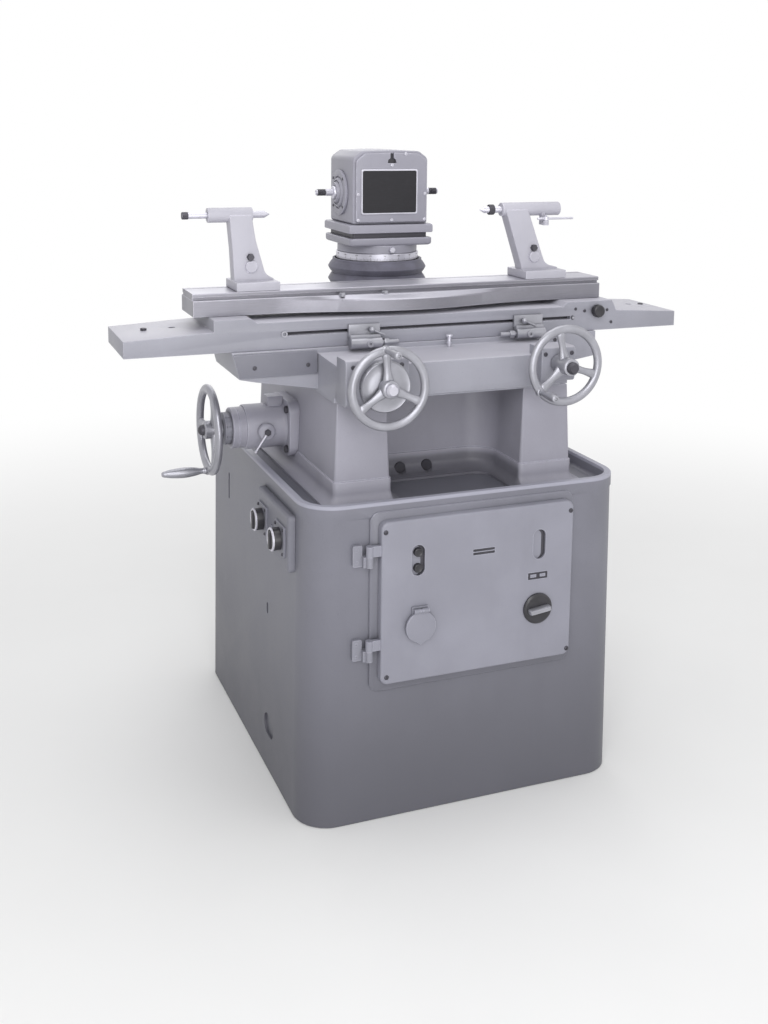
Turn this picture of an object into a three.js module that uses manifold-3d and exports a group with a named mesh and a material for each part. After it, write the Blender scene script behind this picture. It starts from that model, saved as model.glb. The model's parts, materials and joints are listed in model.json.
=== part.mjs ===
// Universal grinding machine, in millimetres. +X is to the right, +Y to the back, +Z up.
// The origin is the centre of the base's underside, on the floor.
import * as THREE from 'three';
import { mergeVertices } from 'three/addons/utils/BufferGeometryUtils.js';
import Module from 'manifold-3d';

const wasm = await Module();
wasm.setup();

// Clearances
const gap = 0.3; // between neighbours that seat on each other
const runGap = 0.3; // between a turning or sliding piece and its bore
const overrun = 3; // how far a cut runs past what it cuts
const weld = 0.001; // vertices closer than this are one

// Sides of round pieces
const fineSides = 24;
const barSides = 16;
const smallSides = 8;
const cornerSteps = 3;

// Base cabinet
const base = {
  height: 640, depth: 780, rimWidth: 668, footWidth: 686, cornerRadius: 70,
  wall: 9, floor: 12, deck: 10, trayDepth: 28, rim: 13,
  partitionDepth: 155, partition: 10,
};

// Heights of pieces over the cabinet's rim; what is below it is negative
const overRim = {
  sideHole: -289, sideSlot: -124, door: -192, panel: -91, screwBottom: -160, columnTop: 412,
  columnBottom: -135, sleeveTop: 330, headBoxTop: 639, spindleLine: 544, saddleApronBottom: 186,
  saddleDeckFront: 249, saddleDeckBack: 254, saddleBracketTop: 269, saddleBracketBottom: 181,
  saddleWingEdge: 211, saddleWingRoot: 183, dovetailTop: 284, wingCoverBottom: 214, wingCoverTop: 260,
  crossFeed: 218, traverse: 238, tableBottom: 264, tableTop: 318, tableWingRoot: 305,
  tableWingTip: 296, tableBlockTop: 327.5, tableSlotZ: 294, topTableBottom: 328, topTableTop: 360,
  topTableRailBottom: 365, topTableRailTop: 373, workLine: 519, swivelKnob: 307,
};
const deckHole = { left: -195, right: 105, front: -62, back: 235, radius: 20 };
const recessDepth = 5; // of the shallow recesses in the cabinet's sides
const sideHole = { y: -130, z: base.height + overRim.sideHole, length: 24, width: 12 };
const sideSlot = { y: 195, z: base.height + overRim.sideSlot, length: 62, width: 10 };
const liftRecess = { y: -146, z: 100, length: 67, width: 44 };

// Control door, its raised frame and what it carries
const door = {
  width: 406, height: 320, x: 5, z: base.height + overRim.door, thickness: 18, cornerRadius: 15,
  edge: 4, skin: 6, side: 7,
};
const frame = { left: 16, right: 8, bottom: 20, top: 15, proud: 6, radius: 20, inset: 22 };
// Heights of what the door carries over its middle
const overDoor = {
  hingeUpper: 95, hingeLower: -90, slotPlate: 79, mainSwitch: -52, socket: -55,
};
const hinge = {
  offset: 21, radius: 7, pinRadius: 3.4, height: 41, upperZ: door.z + overDoor.hingeUpper,
  lowerZ: door.z + overDoor.hingeLower, reach: 12, leaf: 8, leafLength: 18,
};
const slotPlate = { x: -124, z: door.z + overDoor.slotPlate, width: 27, height: 60, sink: 3 };
const lampSlot = { x: 133 };
const button = { radius: 8.5, proud: 5, flange: 2, flangeRadius: 11, spacing: 31, stem: 13 };
const mainSwitch = {
  x: 132, z: door.z + overDoor.mainSwitch, radius: 31, thickness: 6, barWidth: 12, barHeight: 18,
  shaft: 6,
};
const socket = {
  x: -120, z: door.z + overDoor.socket, width: 62, height: 62, flange: 5, bodyRadius: 24, depth: 12,
  wall: 3.5, radius: 6,
};
const flap = { thickness: 4, barrel: 4.5, tab: 10, width: 65, top: 35, bottom: 24, boss: 16 };

// Switch panel on the left side
const panel = {
  y: -208, z: base.height + overRim.panel, width: 216, height: 112, thickness: 13, bevel: 6, radius: 8,
};
const knob = {
  plate: 62, plateThickness: 4, radius: 22, height: 18, gripWidth: 9, gripHeight: 14, shaft: 5,
  spacing: 123,
  bore: 9, corner: 4, bevel: 3, lamp: 8,
};

// Pedestal
const pedestal = {
  halfWidth: 255, front: -310, back: 250, height: 203, wall: 12, top: 16, cornerRadius: 34, draft: 7,
  pocketHalf: 141, pocketBack: -155, pocketRadius: 55, pillarRadius: 22, flare: 20, lip: 5, ledge: 3,
  ledgeHeight: 48,
  drainRadius: 12, drainHeight: 18, drainSpacing: 60, drainX: -5,
};

// Elevation drive on the left of the pedestal
const lift = {
  y: -10, height: 93.7, // the shaft's place, its height over the tray
  stand: 2, flange: 16, flangeWidth: 133, flangeHeight: 118, flangeRadius: 25,
  body: 84, bodyRadius: 47, ring: 28, ringRadius: 43, dial: 15, dialRadius: 34, bore: 12,
  shaftRadius: 9, boltRadius: 8, boltHeight: 6, boltInset: 17,
  block: 34, blockHeight: 64,
};
const liftWheel = {
  radius: 95, rim: 8, hub: 19, hubFront: 12, hubBack: 26.4, spoke: 8, dish: 8, capRadius: 12,
  spokeAngle: 0.5,
};
const liftLever = {
  x: 46, radius: 18, thickness: 9, length: 44, ballRadius: 8, rod: 4.5, boss: 15, stand: 5, pin: 5,
  depth: 12, angle: -2.55,
};
const mitre = { pitchRadius: 24, teeth: 16, addend: 2, dedend: 2.8, face: 10, hub: 12 };
const screw = {
  x: -150, radius: 11, bottom: base.height + overRim.screwBottom, collar: 16, collarHeight: 8,
  journal: 8,
};
const web = { thickness: 18, width: 60, drop: 38, reach: 32 };

// Column, its sleeve, and the arm that the screw lifts
const column = {
  y: 140, radius: 65, bore: 50, top: base.height + overRim.columnTop,
  bottom: base.height + overRim.columnBottom, armHeight: 30, armWidth: 56,
};
const sleeve = {
  radius: 96, flange: 13, flangeRadius: 114, drop: 45, top: base.height + overRim.sleeveTop,
  capRadius: 105, cap: 5,
};
const nut = { radius: 21, flangeRadius: 27, flange: 7, length: 35 };
const bellows = {
  tipRadius: 111, valleyRadius: 101, folds: 2, foldSteps: 6, collar: 5, wall: 5, sharpShare: 0.7,
};
const ringHeight = 16;
const ring = { radius: 93, bottom: column.top - ringHeight };
const head = {
  neckRadius: 90, neck: 18, flangeHalf: 97, lower: 17, groove: 11, grooveInset: 10, upper: 19,
  upperHalf: 99, front: 50, back: 222, cut: 16,
  boxHalf: 88, boxFront: 60, boxBack: 216, boxTop: base.height + overRim.headBoxTop, topRadius: 26,
  boltRadius: 7,
  spigot: 30, edge: 4, footRadius: 5,
};
const spindleLine = { z: base.height + overRim.spindleLine };
const motor = {
  statorRadius: 62, statorBore: 39, statorLength: 100, rotorRadius: 38, rotorLength: 92,
  bearingRadius: 31, bearingLength: 22, shaftRadius: 15, shaftEnd: 146, noseRadius: 9, noseLength: 22,
  endSpace: 12,
};
const cap = { radius: 50, thickness: 24, neckRadius: 24, reach: 36, rim: 8 };
const cover = {
  margin: 5, thickness: 8, screwRadius: 2.8, screwHead: 2, screwInset: 10,
  notchWidth: 18, notchHeight: 16, bevel: 2, highShare: 0.8,
};
const nameplate = { x: -6, up: 5, width: 132, height: 98, thickness: 2.5, radius: 4 };

// Cross slide on the pedestal
const saddle = {
  left: -256, right: 228, front: -337, back: -22, wall: 14,
  apronBottom: base.height + overRim.saddleApronBottom,
  deckFront: base.height + overRim.saddleDeckFront, deckBack: base.height + overRim.saddleDeckBack,
  bracketFront: -375, bracketLeftInner: -132, bracketTop: base.height + overRim.saddleBracketTop,
  bracketRightFrom: 148, bracketRightTo: 222,
  bracketBottom: base.height + overRim.saddleBracketBottom, bracketEdge: 8, wingFront: -210,
  wingLeft: -427, wingRight: 367,
  wingEdge: base.height + overRim.saddleWingEdge, wingRoot: base.height + overRim.saddleWingRoot,
  wingRake: 14, wingStep: 46, nutSpace: 4, coreHalf: 128,
};
const dovetail = { front: -142, back: -84, top: base.height + overRim.dovetailTop };
const wingCover = {
  left: -425, right: -258, bottom: base.height + overRim.wingCoverBottom,
  top: base.height + overRim.wingCoverTop, rake: 12, thickness: 4,
};
const pin = { x: 19, y: -222, radius: 4, height: 24, headRadius: 7, headHeight: 4, depth: 8 };
const crossFeed = {
  x: -181, z: base.height + overRim.crossFeed, wheelY: -400, screwRadius: 9, nutWidth: 52,
  nutLength: 30, nutY: -262, nutRise: 22,
  travelFront: 100, travelBack: 40,
};
const traverse = {
  x: 184, z: base.height + overRim.traverse, wheelY: -404, shaftRadius: 10, hubFront: 26, module: 2.5,
  teeth: 14,
  rackFront: -190, rackBack: -165, rackRise: 4, travelLeft: 103, travelRight: 103, spare: 35,
};
const wheel = {
  radius: 80, rim: 7, hub: 17, hubFront: 14, spoke: 7, dish: 2, capRadius: 12, capLength: 10,
  crossHandleAngle: -0.09, crossSpokeAngle: -0.09, tableHandleAngle: -2.3, tableSpokeAngle: -2.3,
};
const dial = { radius: 49, thickness: 13 };
const handle = { radius: 8, length: 56, bore: 3 };
const liftHandle = { radius: 11, length: 92, bore: 3.5 };

// Tables
const table = {
  bottom: base.height + overRim.tableBottom, top: base.height + overRim.tableTop, front: -204,
  back: -22, left: -630, right: 569,
  wingRoot: base.height + overRim.tableWingRoot, wingTip: base.height + overRim.tableWingTip,
  blockTop: base.height + overRim.tableBlockTop,
  leftBlock: [-460, -387], rightBlock: [300, 409], chamfer: 11,
  slotLeft: -317, slotRight: 308, slotZ: base.height + overRim.tableSlotZ, slotHeight: 7, slotDepth: 12,
  holeRadius: 7, holeInset: 110, holeY: -105, pivotX: -38, spare: 5,
};
const dog = {
  leftX: -160, rightX: 204, width: 66, plate: 25, thickness: 8, cylinderRadius: 11, cylinderDrop: 24,
  screwRadius: 5,
  screwLength: 36, edge: 5, lever: 3, leverTop: 2,
};
const topTable = {
  x: -45, length: 890, bottom: base.height + overRim.topTableBottom,
  top: base.height + overRim.topTableTop, front: -165, bulge: 40, bulgeHalf: 290, ledge: 8,
  railFront: -160, railBack: -68, railBottom: base.height + overRim.topTableRailBottom,
  railTop: base.height + overRim.topTableRailTop, undercut: 5, back: -60,
  grooveY: -86, grooveWidth: 4, grooveDepth: 4,
};
const pivot = { radius: 20, height: 8, y: -115 };
const workLine = { z: base.height + overRim.workLine, y: -115 };
const controls = { width: 300, height: 250, plate: 3, units: 4, space: 10, unitDepth: 62, unitHeight: 78 };
const guide = { width: 28, undercut: 4, height: 14, front: -280, back: -42, left: -228, right: 176 };
const guidePlaces = [guide.left, guide.right];
const swivelKnob = {
  x: 369, z: base.height + overRim.swivelKnob, radius: 13.5, length: 18, shaft: 4, depth: 20,
};
const tail = {
  columnWidth: 32, footWidth: 88, footHeight: 17, boltRadius: 9, boltHeight: 9, boltZ: 54, kneeZ: 48,
  toe: 14, edge: 5,
};
const leftStock = {
  x: -360, footLeft: -43, footRight: 44, columnLeft: -41, columnRight: 18, neckRight: -6, barrelLeft: -90,
  barrelRadius: 14.5, bolt: -8, knobLeft: -139, tip: 36,
};
const rightStock = {
  x: 280, footLeft: -52, footRight: 56, columnLeft: -44, neckLeft: -88, neckRight: -42, kneeRight: 18,
  toeZ: 22,
  barrelLeft: -98, barrelRight: 40, barrelRadius: 14.5, bolt: -16, tip: -149, collarLeft: -127,
  collarRight: -115,
};
const spike = { radius: 7, rod: 4.5, knobRadius: 8, knobLength: 12, point: 22, collar: 11 };
const quill = {
  x: -2, forward: 24, bottom: 112, seat: 122, top: 134, lug: 6.5, pin: 2.6, hub: 8, rod: 2.5, tail: 20,
  reach: 66,
};

// Shares
const spokeTipShare = 0.8;
const bossShare = 1.15;
const addendShare = 0.85;
const dedendShare = 1.1;
const ledgeShare = 0.45;
const rimShare = 0.9;
const neckShare = 0.7;
const flapShares = { foot: 0.75, side: 0.55, top: 0.6 };
const capShares = { shoulder: 0.86, rise: 1.5, neck: 1.25, reach: 0.7 };
const dogShares = { nut: 1.7, lever: 0.4 };
// A revolving handle's outline: radius and length shares, from the wheel outwards, then turned about.
const gripShares = [[0.62, 1], [0.95, 0.95], [1, 0.75], [0.8, 0.3], [0.62, 0.1], [0.8, 0]];
const spindleShares = [[0.35, 1], [0.62, 0.96], [0.75, 0.85], [1, 0.55], [0.85, 0.25], [0.55, 0.08],
  [0.7, 0]];

// Finishes
const finishes = {
  paint: { color: '#9c9ba6', roughness: 0.55, metalness: 0.1 },
  castSteel: { color: '#86868e', roughness: 0.6, metalness: 0.4 },
  groundSteel: { color: '#c6c6cc', roughness: 0.3, metalness: 0.85 },
  brightSteel: { color: '#d4d4d8', roughness: 0.22, metalness: 0.9 },
  darkSteel: { color: '#4b4b50', roughness: 0.5, metalness: 0.6 },
  bronze: { color: '#a5814a', roughness: 0.45, metalness: 0.7 },
  copper: { color: '#8a5a3c', roughness: 0.5, metalness: 0.6 },
  rubber: { color: '#5d5c66', roughness: 0.75, metalness: 0 },
  blackPlastic: { color: '#1f1f22', roughness: 0.4, metalness: 0 },
  nameplate: { color: '#2a2a2e', roughness: 0.45, metalness: 0.3 },
};

// A closed geometry as a solid that can be joined and cut.
function solid(geometry) {
  const bare = geometry.index ? geometry.toNonIndexed() : geometry.clone();
  bare.deleteAttribute('normal');
  bare.deleteAttribute('uv');
  const merged = mergeVertices(bare, weld);
  const corners = merged.index.array;
  const kept = [];
  for (let i = 0; i < corners.length; i += 3) {
    const [a, b, c] = [corners[i], corners[i + 1], corners[i + 2]];
    if (a !== b && b !== c && c !== a) kept.push(a, b, c);
  }
  return new wasm.Manifold(new wasm.Mesh({
    numProp: 3,
    vertProperties: merged.attributes.position.array,
    triVerts: new Uint32Array(kept),
  }));
}

const join = (first, ...others) => others.reduce((whole, other) => whole.add(other), first);
const cut = (first, ...others) => others.reduce((whole, other) => whole.subtract(other), first);

function geometryOf(body) {
  const mesh = body.getMesh();
  const geometry = new THREE.BufferGeometry();
  geometry.setAttribute('position', new THREE.BufferAttribute(mesh.vertProperties, 3));
  geometry.setIndex(new THREE.BufferAttribute(mesh.triVerts, 1));
  return geometry;
}

// A copy of a body, turned about an axis through a point.
function turnedBy(body, axis, angle, at = [0, 0, 0]) {
  const direction = new THREE.Vector3(axis === 'x', axis === 'y', axis === 'z');
  const [x, y, z] = at;
  const geometry = geometryOf(body).translate(-x, -y, -z);
  geometry.applyMatrix4(new THREE.Matrix4().makeRotationAxis(direction, angle));
  return solid(geometry.translate(x, y, z));
}

// A named piece with its own material, in a group.
function add(group, name, body, finish) {
  const piece = new THREE.Mesh(geometryOf(body), new THREE.MeshStandardMaterial(finishes[finish]));
  piece.name = name;
  group.add(piece);
  return piece;
}

function groupAt(parent, x, y, z) {
  const group = new THREE.Group();
  group.position.set(x, y, z);
  parent.add(group);
  return group;
}

// A block between two corners.
function box(x0, x1, y0, y1, z0, z1) {
  const geometry = new THREE.BoxGeometry(x1 - x0, y1 - y0, z1 - z0);
  return solid(geometry.translate((x0 + x1) / 2, (y0 + y1) / 2, (z0 + z1) / 2));
}

// Turns a shape drawn along +Y to lie along another axis.
const layAlong = {
  x: (geometry) => geometry.rotateZ(-Math.PI / 2),
  y: (geometry) => geometry,
  z: (geometry) => geometry.rotateX(Math.PI / 2),
};

// A turned body: its profile is a list of [radius, place along the axis], drawn upwards from axis to axis.
function turned(axis, profile, at = [0, 0, 0], sides = barSides) {
  const points = profile.map(([radius, along]) => new THREE.Vector2(radius, along));
  const geometry = layAlong[axis](new THREE.LatheGeometry(points, sides));
  return solid(geometry.translate(...at));
}

const bar = (axis, radius, from, to, at, sides) =>
  turned(axis, [[0, from], [radius, from], [radius, to], [0, to]], at, sides);

const tube = (axis, outer, inner, from, to, at, sides) =>
  turned(axis, [[inner, from], [outer, from], [outer, to], [inner, to], [inner, from]], at, sides);

// A half circle as profile points, from the bottom pole to the top one.
function ballProfile(radius, centre, steps = 6) {
  return Array.from({ length: steps + 1 }, (_, i) => {
    const angle = Math.PI * (i / steps - 1 / 2);
    const onPole = i === 0 || i === steps;
    return [onPole ? 0 : radius * Math.cos(angle), centre + radius * Math.sin(angle)];
  });
}

const ball = (radius, at, sides = smallSides) => turned('z', ballProfile(radius, 0), at, sides);

// An outline whose corners [u, v, radius] are rounded, counterclockwise.
function filleted(corners, steps = cornerSteps) {
  return corners.flatMap(([u, v, radius = 0], i) => {
    if (!radius) return [[u, v]];
    const corner = new THREE.Vector2(u, v);
    const before = new THREE.Vector2(...corners.at(i - 1)).sub(corner).normalize();
    const after = new THREE.Vector2(...corners[(i + 1) % corners.length]).sub(corner).normalize();
    const half = before.angleTo(after) / 2;
    const centre = before.clone().add(after).setLength(radius / Math.sin(half)).add(corner);
    const back = radius / Math.tan(half);
    const start = corner.clone().addScaledVector(before, back).sub(centre).angle();
    const end = corner.clone().addScaledVector(after, back).sub(centre).angle();
    const sweep = THREE.MathUtils.euclideanModulo(end - start + Math.PI, 2 * Math.PI) - Math.PI;
    return Array.from({ length: steps + 1 }, (_, k) => {
      const angle = start + sweep * (k / steps);
      return [centre.x + radius * Math.cos(angle), centre.y + radius * Math.sin(angle)];
    });
  });
}

const roundedRing = (u0, u1, v0, v1, radius, steps) =>
  filleted([[u0, v0, radius], [u1, v0, radius], [u1, v1, radius], [u0, v1, radius]], steps);

const circleRing = (u, v, radius, sides = smallSides) => Array.from({ length: sides }, (_, i) => {
  const angle = (2 * Math.PI * i) / sides;
  return [u + radius * Math.cos(angle), v + radius * Math.sin(angle)];
});

// Where a point of an outline lies when the outline stands across an axis.
const across = {
  x: ([u, v], along) => [along, u, v],
  y: ([u, v], along) => [u, along, v],
  z: ([u, v], along) => [u, v, along],
};

// A body through a row of outlines, each with its place along the axis.
function stack(axis, sections) {
  const vertices = [];
  const count = sections[0][0].length;
  const place = (level, i) => across[axis](sections[level][0][i % count], sections[level][1]);
  // Looking along +Y the two outline axes turn the other way, so its faces are turned round.
  const face = (a, b, c) => vertices.push(...(axis === 'y' ? [...a, ...c, ...b] : [...a, ...b, ...c]));
  for (let level = 0; level + 1 < sections.length; level += 1) {
    for (let i = 0; i < count; i += 1) {
      const [a, b] = [place(level, i), place(level, i + 1)];
      const [c, d] = [place(level + 1, i), place(level + 1, i + 1)];
      face(a, b, d);
      face(a, d, c);
    }
  }
  [0, sections.length - 1].forEach((level) => {
    const outline = sections[level][0].map(([u, v]) => new THREE.Vector2(u, v));
    THREE.ShapeUtils.triangulateShape(outline, []).forEach(([i, j, k]) => {
      const turnedRound = level === 0;
      face(place(level, i), place(level, turnedRound ? k : j), place(level, turnedRound ? j : k));
    });
  });
  const geometry = new THREE.BufferGeometry();
  geometry.setAttribute('position', new THREE.Float32BufferAttribute(vertices, 3));
  return solid(geometry);
}

const plate = (axis, outline, from, to) => stack(axis, [[outline, from], [outline, to]]);

// Copies of a body, turned evenly about an axis through a point.
const spun = (body, axis, count, start = 0, at = [0, 0, 0]) =>
  Array.from({ length: count }, (_, i) => turnedBy(body, axis, start + (2 * Math.PI * i) / count, at));

// Where a tooth's corners lie, as shares of the tooth spacing.
const flankShares = [[-0.3, 'root'], [-0.11, 'tip'], [0.11, 'tip'], [0.3, 'root']];

// A gear's outline about its own centre, with a tooth at the given angle.
function gearRing(pitchRadius, teeth, addend, dedend, toothAngle) {
  const tooth = (2 * Math.PI) / teeth;
  return Array.from({ length: teeth }, (_, i) => i).flatMap((i) => flankShares.map(([share, side]) => {
    const radius = side === 'tip' ? pitchRadius + addend : pitchRadius - dedend;
    const angle = toothAngle + tooth * (i + share);
    return [radius * Math.cos(angle), radius * Math.sin(angle)];
  }));
}

const machine = new THREE.Group();

// Base cabinet: a tapered casting with a drip tray on top and a door opening in front.
const frontFace = -base.depth / 2;
const partitionFront = frontFace + base.partitionDepth;
const trayFloor = base.height - base.trayDepth;

// How far the sloping sides of the cabinet are from its middle at a height.
const sideAt = (z) => base.footWidth / 2 + ((base.rimWidth - base.footWidth) / 2) * (z / base.height);

function cabinetShape(grow, from, to) {
  const level = (z) => {
    const half = sideAt(z) + grow;
    const deep = base.depth / 2 + grow;
    return [roundedRing(-half, half, -deep, deep, base.cornerRadius + grow), z];
  };
  return stack('z', [level(from), level(to)]);
}

const doorEdges = {
  left: door.x - door.width / 2,
  right: door.x + door.width / 2,
  bottom: door.z - door.height / 2,
  top: door.z + door.height / 2,
};
const doorBack = frontFace - frame.proud - gap;
const doorFront = doorBack - door.thickness;
const hingeAt = [doorEdges.left - hinge.offset, (doorFront + doorBack) / 2 - hinge.leaf / 4];

// The outline of the door, the opening behind it or the frame round it.
const doorRing = (left, right, bottom, top, radius) =>
  roundedRing(doorEdges.left - left, doorEdges.right + right, doorEdges.bottom - bottom, doorEdges.top + top,
    radius);

function buildBase() {
  const deckBottom = trayFloor - base.deck;
  const hollow = cabinetShape(-base.wall, base.floor, deckBottom);
  const tray = cabinetShape(-base.rim, trayFloor, base.height + overrun);
  const raised = plate(
    'y', doorRing(frame.left, frame.right, frame.bottom, frame.top, frame.radius),
    frontFace - frame.proud, frontFace + base.wall / 2,
  );
  const shell = cut(join(cabinetShape(0, 0, base.height), raised), hollow, tray);
  const innerHalf = base.footWidth / 2 - base.wall;
  const wallAcross = box(
    -innerHalf, innerHalf, partitionFront, partitionFront + base.partition,
    base.floor / 2, trayFloor - base.deck / 2,
  );
  const opening = plate(
    'y', doorRing(-frame.inset, -frame.inset, -frame.inset, -frame.inset, door.cornerRadius),
    frontFace - frame.proud - overrun, frontFace + base.wall + overrun,
  );
  const deckOpening = plate(
    'z', roundedRing(deckHole.left, deckHole.right, deckHole.front, deckHole.back, deckHole.radius),
    deckBottom - overrun, trayFloor + overrun,
  );
  const recess = ({ y, z, length, width }, upright, side) => {
    const [wide, up] = upright ? [width / 2, length / 2] : [length / 2, width / 2];
    const outline = roundedRing(y - wide, y + wide, z - up, z + up, width / 2 - gap);
    const face = side * sideAt(z);
    return plate('x', outline, face - recessDepth, face + recessDepth);
  };
  return cut(
    join(shell, wallAcross.intersect(cabinetShape(-base.wall / 2, 0, base.height))),
    opening, deckOpening, recess(sideHole, true, -1), recess(sideSlot, true, -1),
    recess(liftRecess, false, -1), recess(liftRecess, false, 1),
  );
}
add(machine, 'base_cabinet', buildBase(), 'paint');

// Mounting plate with contactors and a fuse block, seated on the wall behind the door.
function buildControlPlate() {
  const back = partitionFront - gap;
  const front = back - controls.plate;
  const [x0, x1] = [door.x - controls.width / 2, door.x + controls.width / 2];
  const [z0, z1] = [door.z - controls.height / 2, door.z + controls.height / 2];
  const sheet = box(x0, x1, front, back, z0, z1);
  const pitch = controls.width / controls.units;
  const units = Array.from({ length: controls.units }, (_, i) => {
    const left = x0 + pitch * i + controls.space;
    const right = x0 + pitch * (i + 1) - controls.space;
    return box(left, right, front - controls.unitDepth, front + controls.plate / 2, door.z,
      door.z + controls.unitHeight);
  });
  const fuses = box(
    x0 + controls.space, x1 - controls.space, front - controls.unitDepth / 2, front + controls.plate / 2,
    z0 + controls.space, z0 + controls.space + controls.unitHeight / 2,
  );
  return join(sheet, ...units, fuses);
}
add(machine, 'control_plate', buildControlPlate(), 'castSteel');

// Door: a hollow panel with rounded edges that carries the switches, hung on two hinges.
const doorGroup = groupAt(machine, 0, 0, 0);
const skinBack = doorFront + door.skin;

function ovalRing({ x, z }, width, height) {
  const radius = width / 2 - gap;
  return roundedRing(x - width / 2, x + width / 2, z - height / 2, z + height / 2, radius);
}

const knuckle = (z0, z1) => tube(
  'z', hinge.radius, hinge.pinRadius + runGap, z0, z1, [...hingeAt, 0], smallSides,
);

function buildDoor() {
  const outline = (inset) => doorRing(-inset, -inset, -inset, -inset, door.cornerRadius - inset / 2);
  const panelBody = stack('y', [
    [outline(door.edge), doorFront], [outline(door.edge / 3), doorFront + door.edge / 3],
    [outline(0), doorFront + door.edge], [outline(0), doorBack],
  ]);
  const hollow = plate('y', outline(door.side), skinBack, doorBack + overrun);
  const recesses = [slotPlate, lampSlot].map((at) => plate(
    'y', ovalRing({ x: at.x, z: slotPlate.z }, slotPlate.width, slotPlate.height),
    doorFront - overrun, doorFront + slotPlate.sink,
  ));
  const bore = (x, z, radius) => bar('y', radius, doorFront - overrun, skinBack + overrun, [x, 0, z]);
  const buttons = [1, -1].map((side) =>
    bore(slotPlate.x, slotPlate.z + (side * button.spacing) / 2, button.radius + runGap));
  const socketHole = bore(socket.x, socket.z, socket.bodyRadius + gap);
  const switchHole = bore(mainSwitch.x, mainSwitch.z, mainSwitch.shaft + runGap);
  const half = hinge.height / 2;
  const leaves = [hinge.upperZ, hinge.lowerZ].flatMap((z) => [
    knuckle(z + gap / 2, z + half),
    cut(
      box(hingeAt[0], doorEdges.left + door.side / 2, hingeAt[1] - hinge.leaf / 2,
        hingeAt[1] + hinge.leaf / 2,
        z + gap / 2, z + half),
      bar('z', hinge.radius - gap, z - half, z + half + overrun, [...hingeAt, 0], smallSides),
    ),
  ]);
  return join(cut(panelBody, hollow, ...recesses, ...buttons, socketHole, switchHole), ...leaves);
}
add(doorGroup, 'door', buildDoor(), 'paint');

// A fixed hinge block with the pin that the door's knuckle turns on.
function buildHinge(z) {
  const half = hinge.height / 2;
  const [x, y] = hingeAt;
  const face = frontFace - gap;
  const lower = box(x - hinge.reach, doorEdges.left - frame.left - gap, y, face, z - half, z - gap / 2);
  const leaf = box(x - hinge.reach - hinge.leafLength, x - hinge.reach + gap, face - hinge.leaf, face,
    z - half, z + half);
  const barrel = bar('z', hinge.radius, z - half, z - gap / 2, [x, y, 0], smallSides);
  const pinBody = bar('z', hinge.pinRadius, z - half, z + half, [x, y, 0], smallSides);
  return join(barrel, lower, leaf, pinBody);
}
add(machine, 'hinge_upper', buildHinge(hinge.upperZ), 'castSteel');
add(machine, 'hinge_lower', buildHinge(hinge.lowerZ), 'castSteel');

// Push buttons, each with a flange behind the door's skin.
function buildButton() {
  return turned('y', [
    [0, doorFront - button.proud + slotPlate.sink],
    [button.radius, doorFront - button.proud + slotPlate.sink],
    [button.radius, skinBack + gap], [button.flangeRadius, skinBack + gap],
    [button.flangeRadius, skinBack + gap + button.flange], [button.stem / 4, skinBack + gap + button.flange],
    [button.stem / 4, skinBack + button.stem / 2], [0, skinBack + button.stem / 2],
  ], [0, 0, 0], smallSides * 2);
}
[['start_button', 1], ['stop_button', -1]].forEach(([name, side]) => {
  const at = groupAt(doorGroup, slotPlate.x, 0, slotPlate.z + (side * button.spacing) / 2);
  add(at, name, buildButton(), 'blackPlastic');
});

const switchGroup = groupAt(doorGroup, mainSwitch.x, 0, mainSwitch.z);
const switchBack = doorFront - gap;
const switchDisc = turned('y', [
  [0, switchBack - mainSwitch.thickness], [mainSwitch.radius * rimShare, switchBack - mainSwitch.thickness],
  [mainSwitch.radius, switchBack - mainSwitch.thickness / 2], [mainSwitch.radius, switchBack],
  [mainSwitch.shaft, switchBack], [mainSwitch.shaft, skinBack + door.skin / 2], [0, skinBack + door.skin / 2],
], [0, 0, 0], barSides);
const switchBar = box(
  -mainSwitch.barWidth / 2, mainSwitch.barWidth / 2, switchBack - mainSwitch.barHeight,
  switchBack - mainSwitch.thickness / 2, -mainSwitch.radius + gap, mainSwitch.radius - gap,
);
add(switchGroup, 'main_switch_knob', join(switchDisc, switchBar), 'blackPlastic');

// Socket and its hinged cover, whose tab points down.
const socketFront = doorFront - gap - socket.flange;
function buildSocket() {
  const half = socket.width / 2;
  const tall = socket.height / 2;
  const flange = plate(
    'y', roundedRing(-half, half, -tall, flap.top + 2 * flap.barrel, socket.radius), socketFront,
    doorFront - gap,
  );
  const body = bar('y', socket.bodyRadius, socketFront + socket.flange / 2,
    socketFront + socket.flange + socket.depth);
  const hollow = bar(
    'y', socket.bodyRadius - socket.wall, socketFront - overrun, socketFront + socket.depth,
  );
  return cut(join(flange, body), hollow);
}
const socketGroup = groupAt(doorGroup, socket.x, 0, socket.z);
add(socketGroup, 'door_socket', buildSocket(), 'castSteel');

function buildFlap() {
  const back = socketFront - gap;
  const half = flap.width / 2;
  const lid = stack('y', [0, 1].map((level) => [filleted([
    [0, -flap.bottom - flap.tab, flap.tab / 3], [half * flapShares.foot, -flap.bottom, flap.tab / 2],
    [half, -flap.bottom / 3, half / 4], [half, flap.top * flapShares.side, half / 3],
    [half * flapShares.top, flap.top, flap.tab / 2],
    [-half * flapShares.top, flap.top, flap.tab / 2], [-half, flap.top * flapShares.side, half / 3],
    [-half, -flap.bottom / 3, half / 4], [-half * flapShares.foot, -flap.bottom, flap.tab / 2],
  ], 3), back - flap.thickness * (1 - level)]));
  const barrel = bar(
    'x', flap.barrel, -flap.boss, flap.boss,
    [0, back - flap.barrel, flap.top + flap.barrel / 2], smallSides,
  );
  return join(lid, barrel);
}
add(socketGroup, 'socket_flap', buildFlap(), 'paint');

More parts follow.
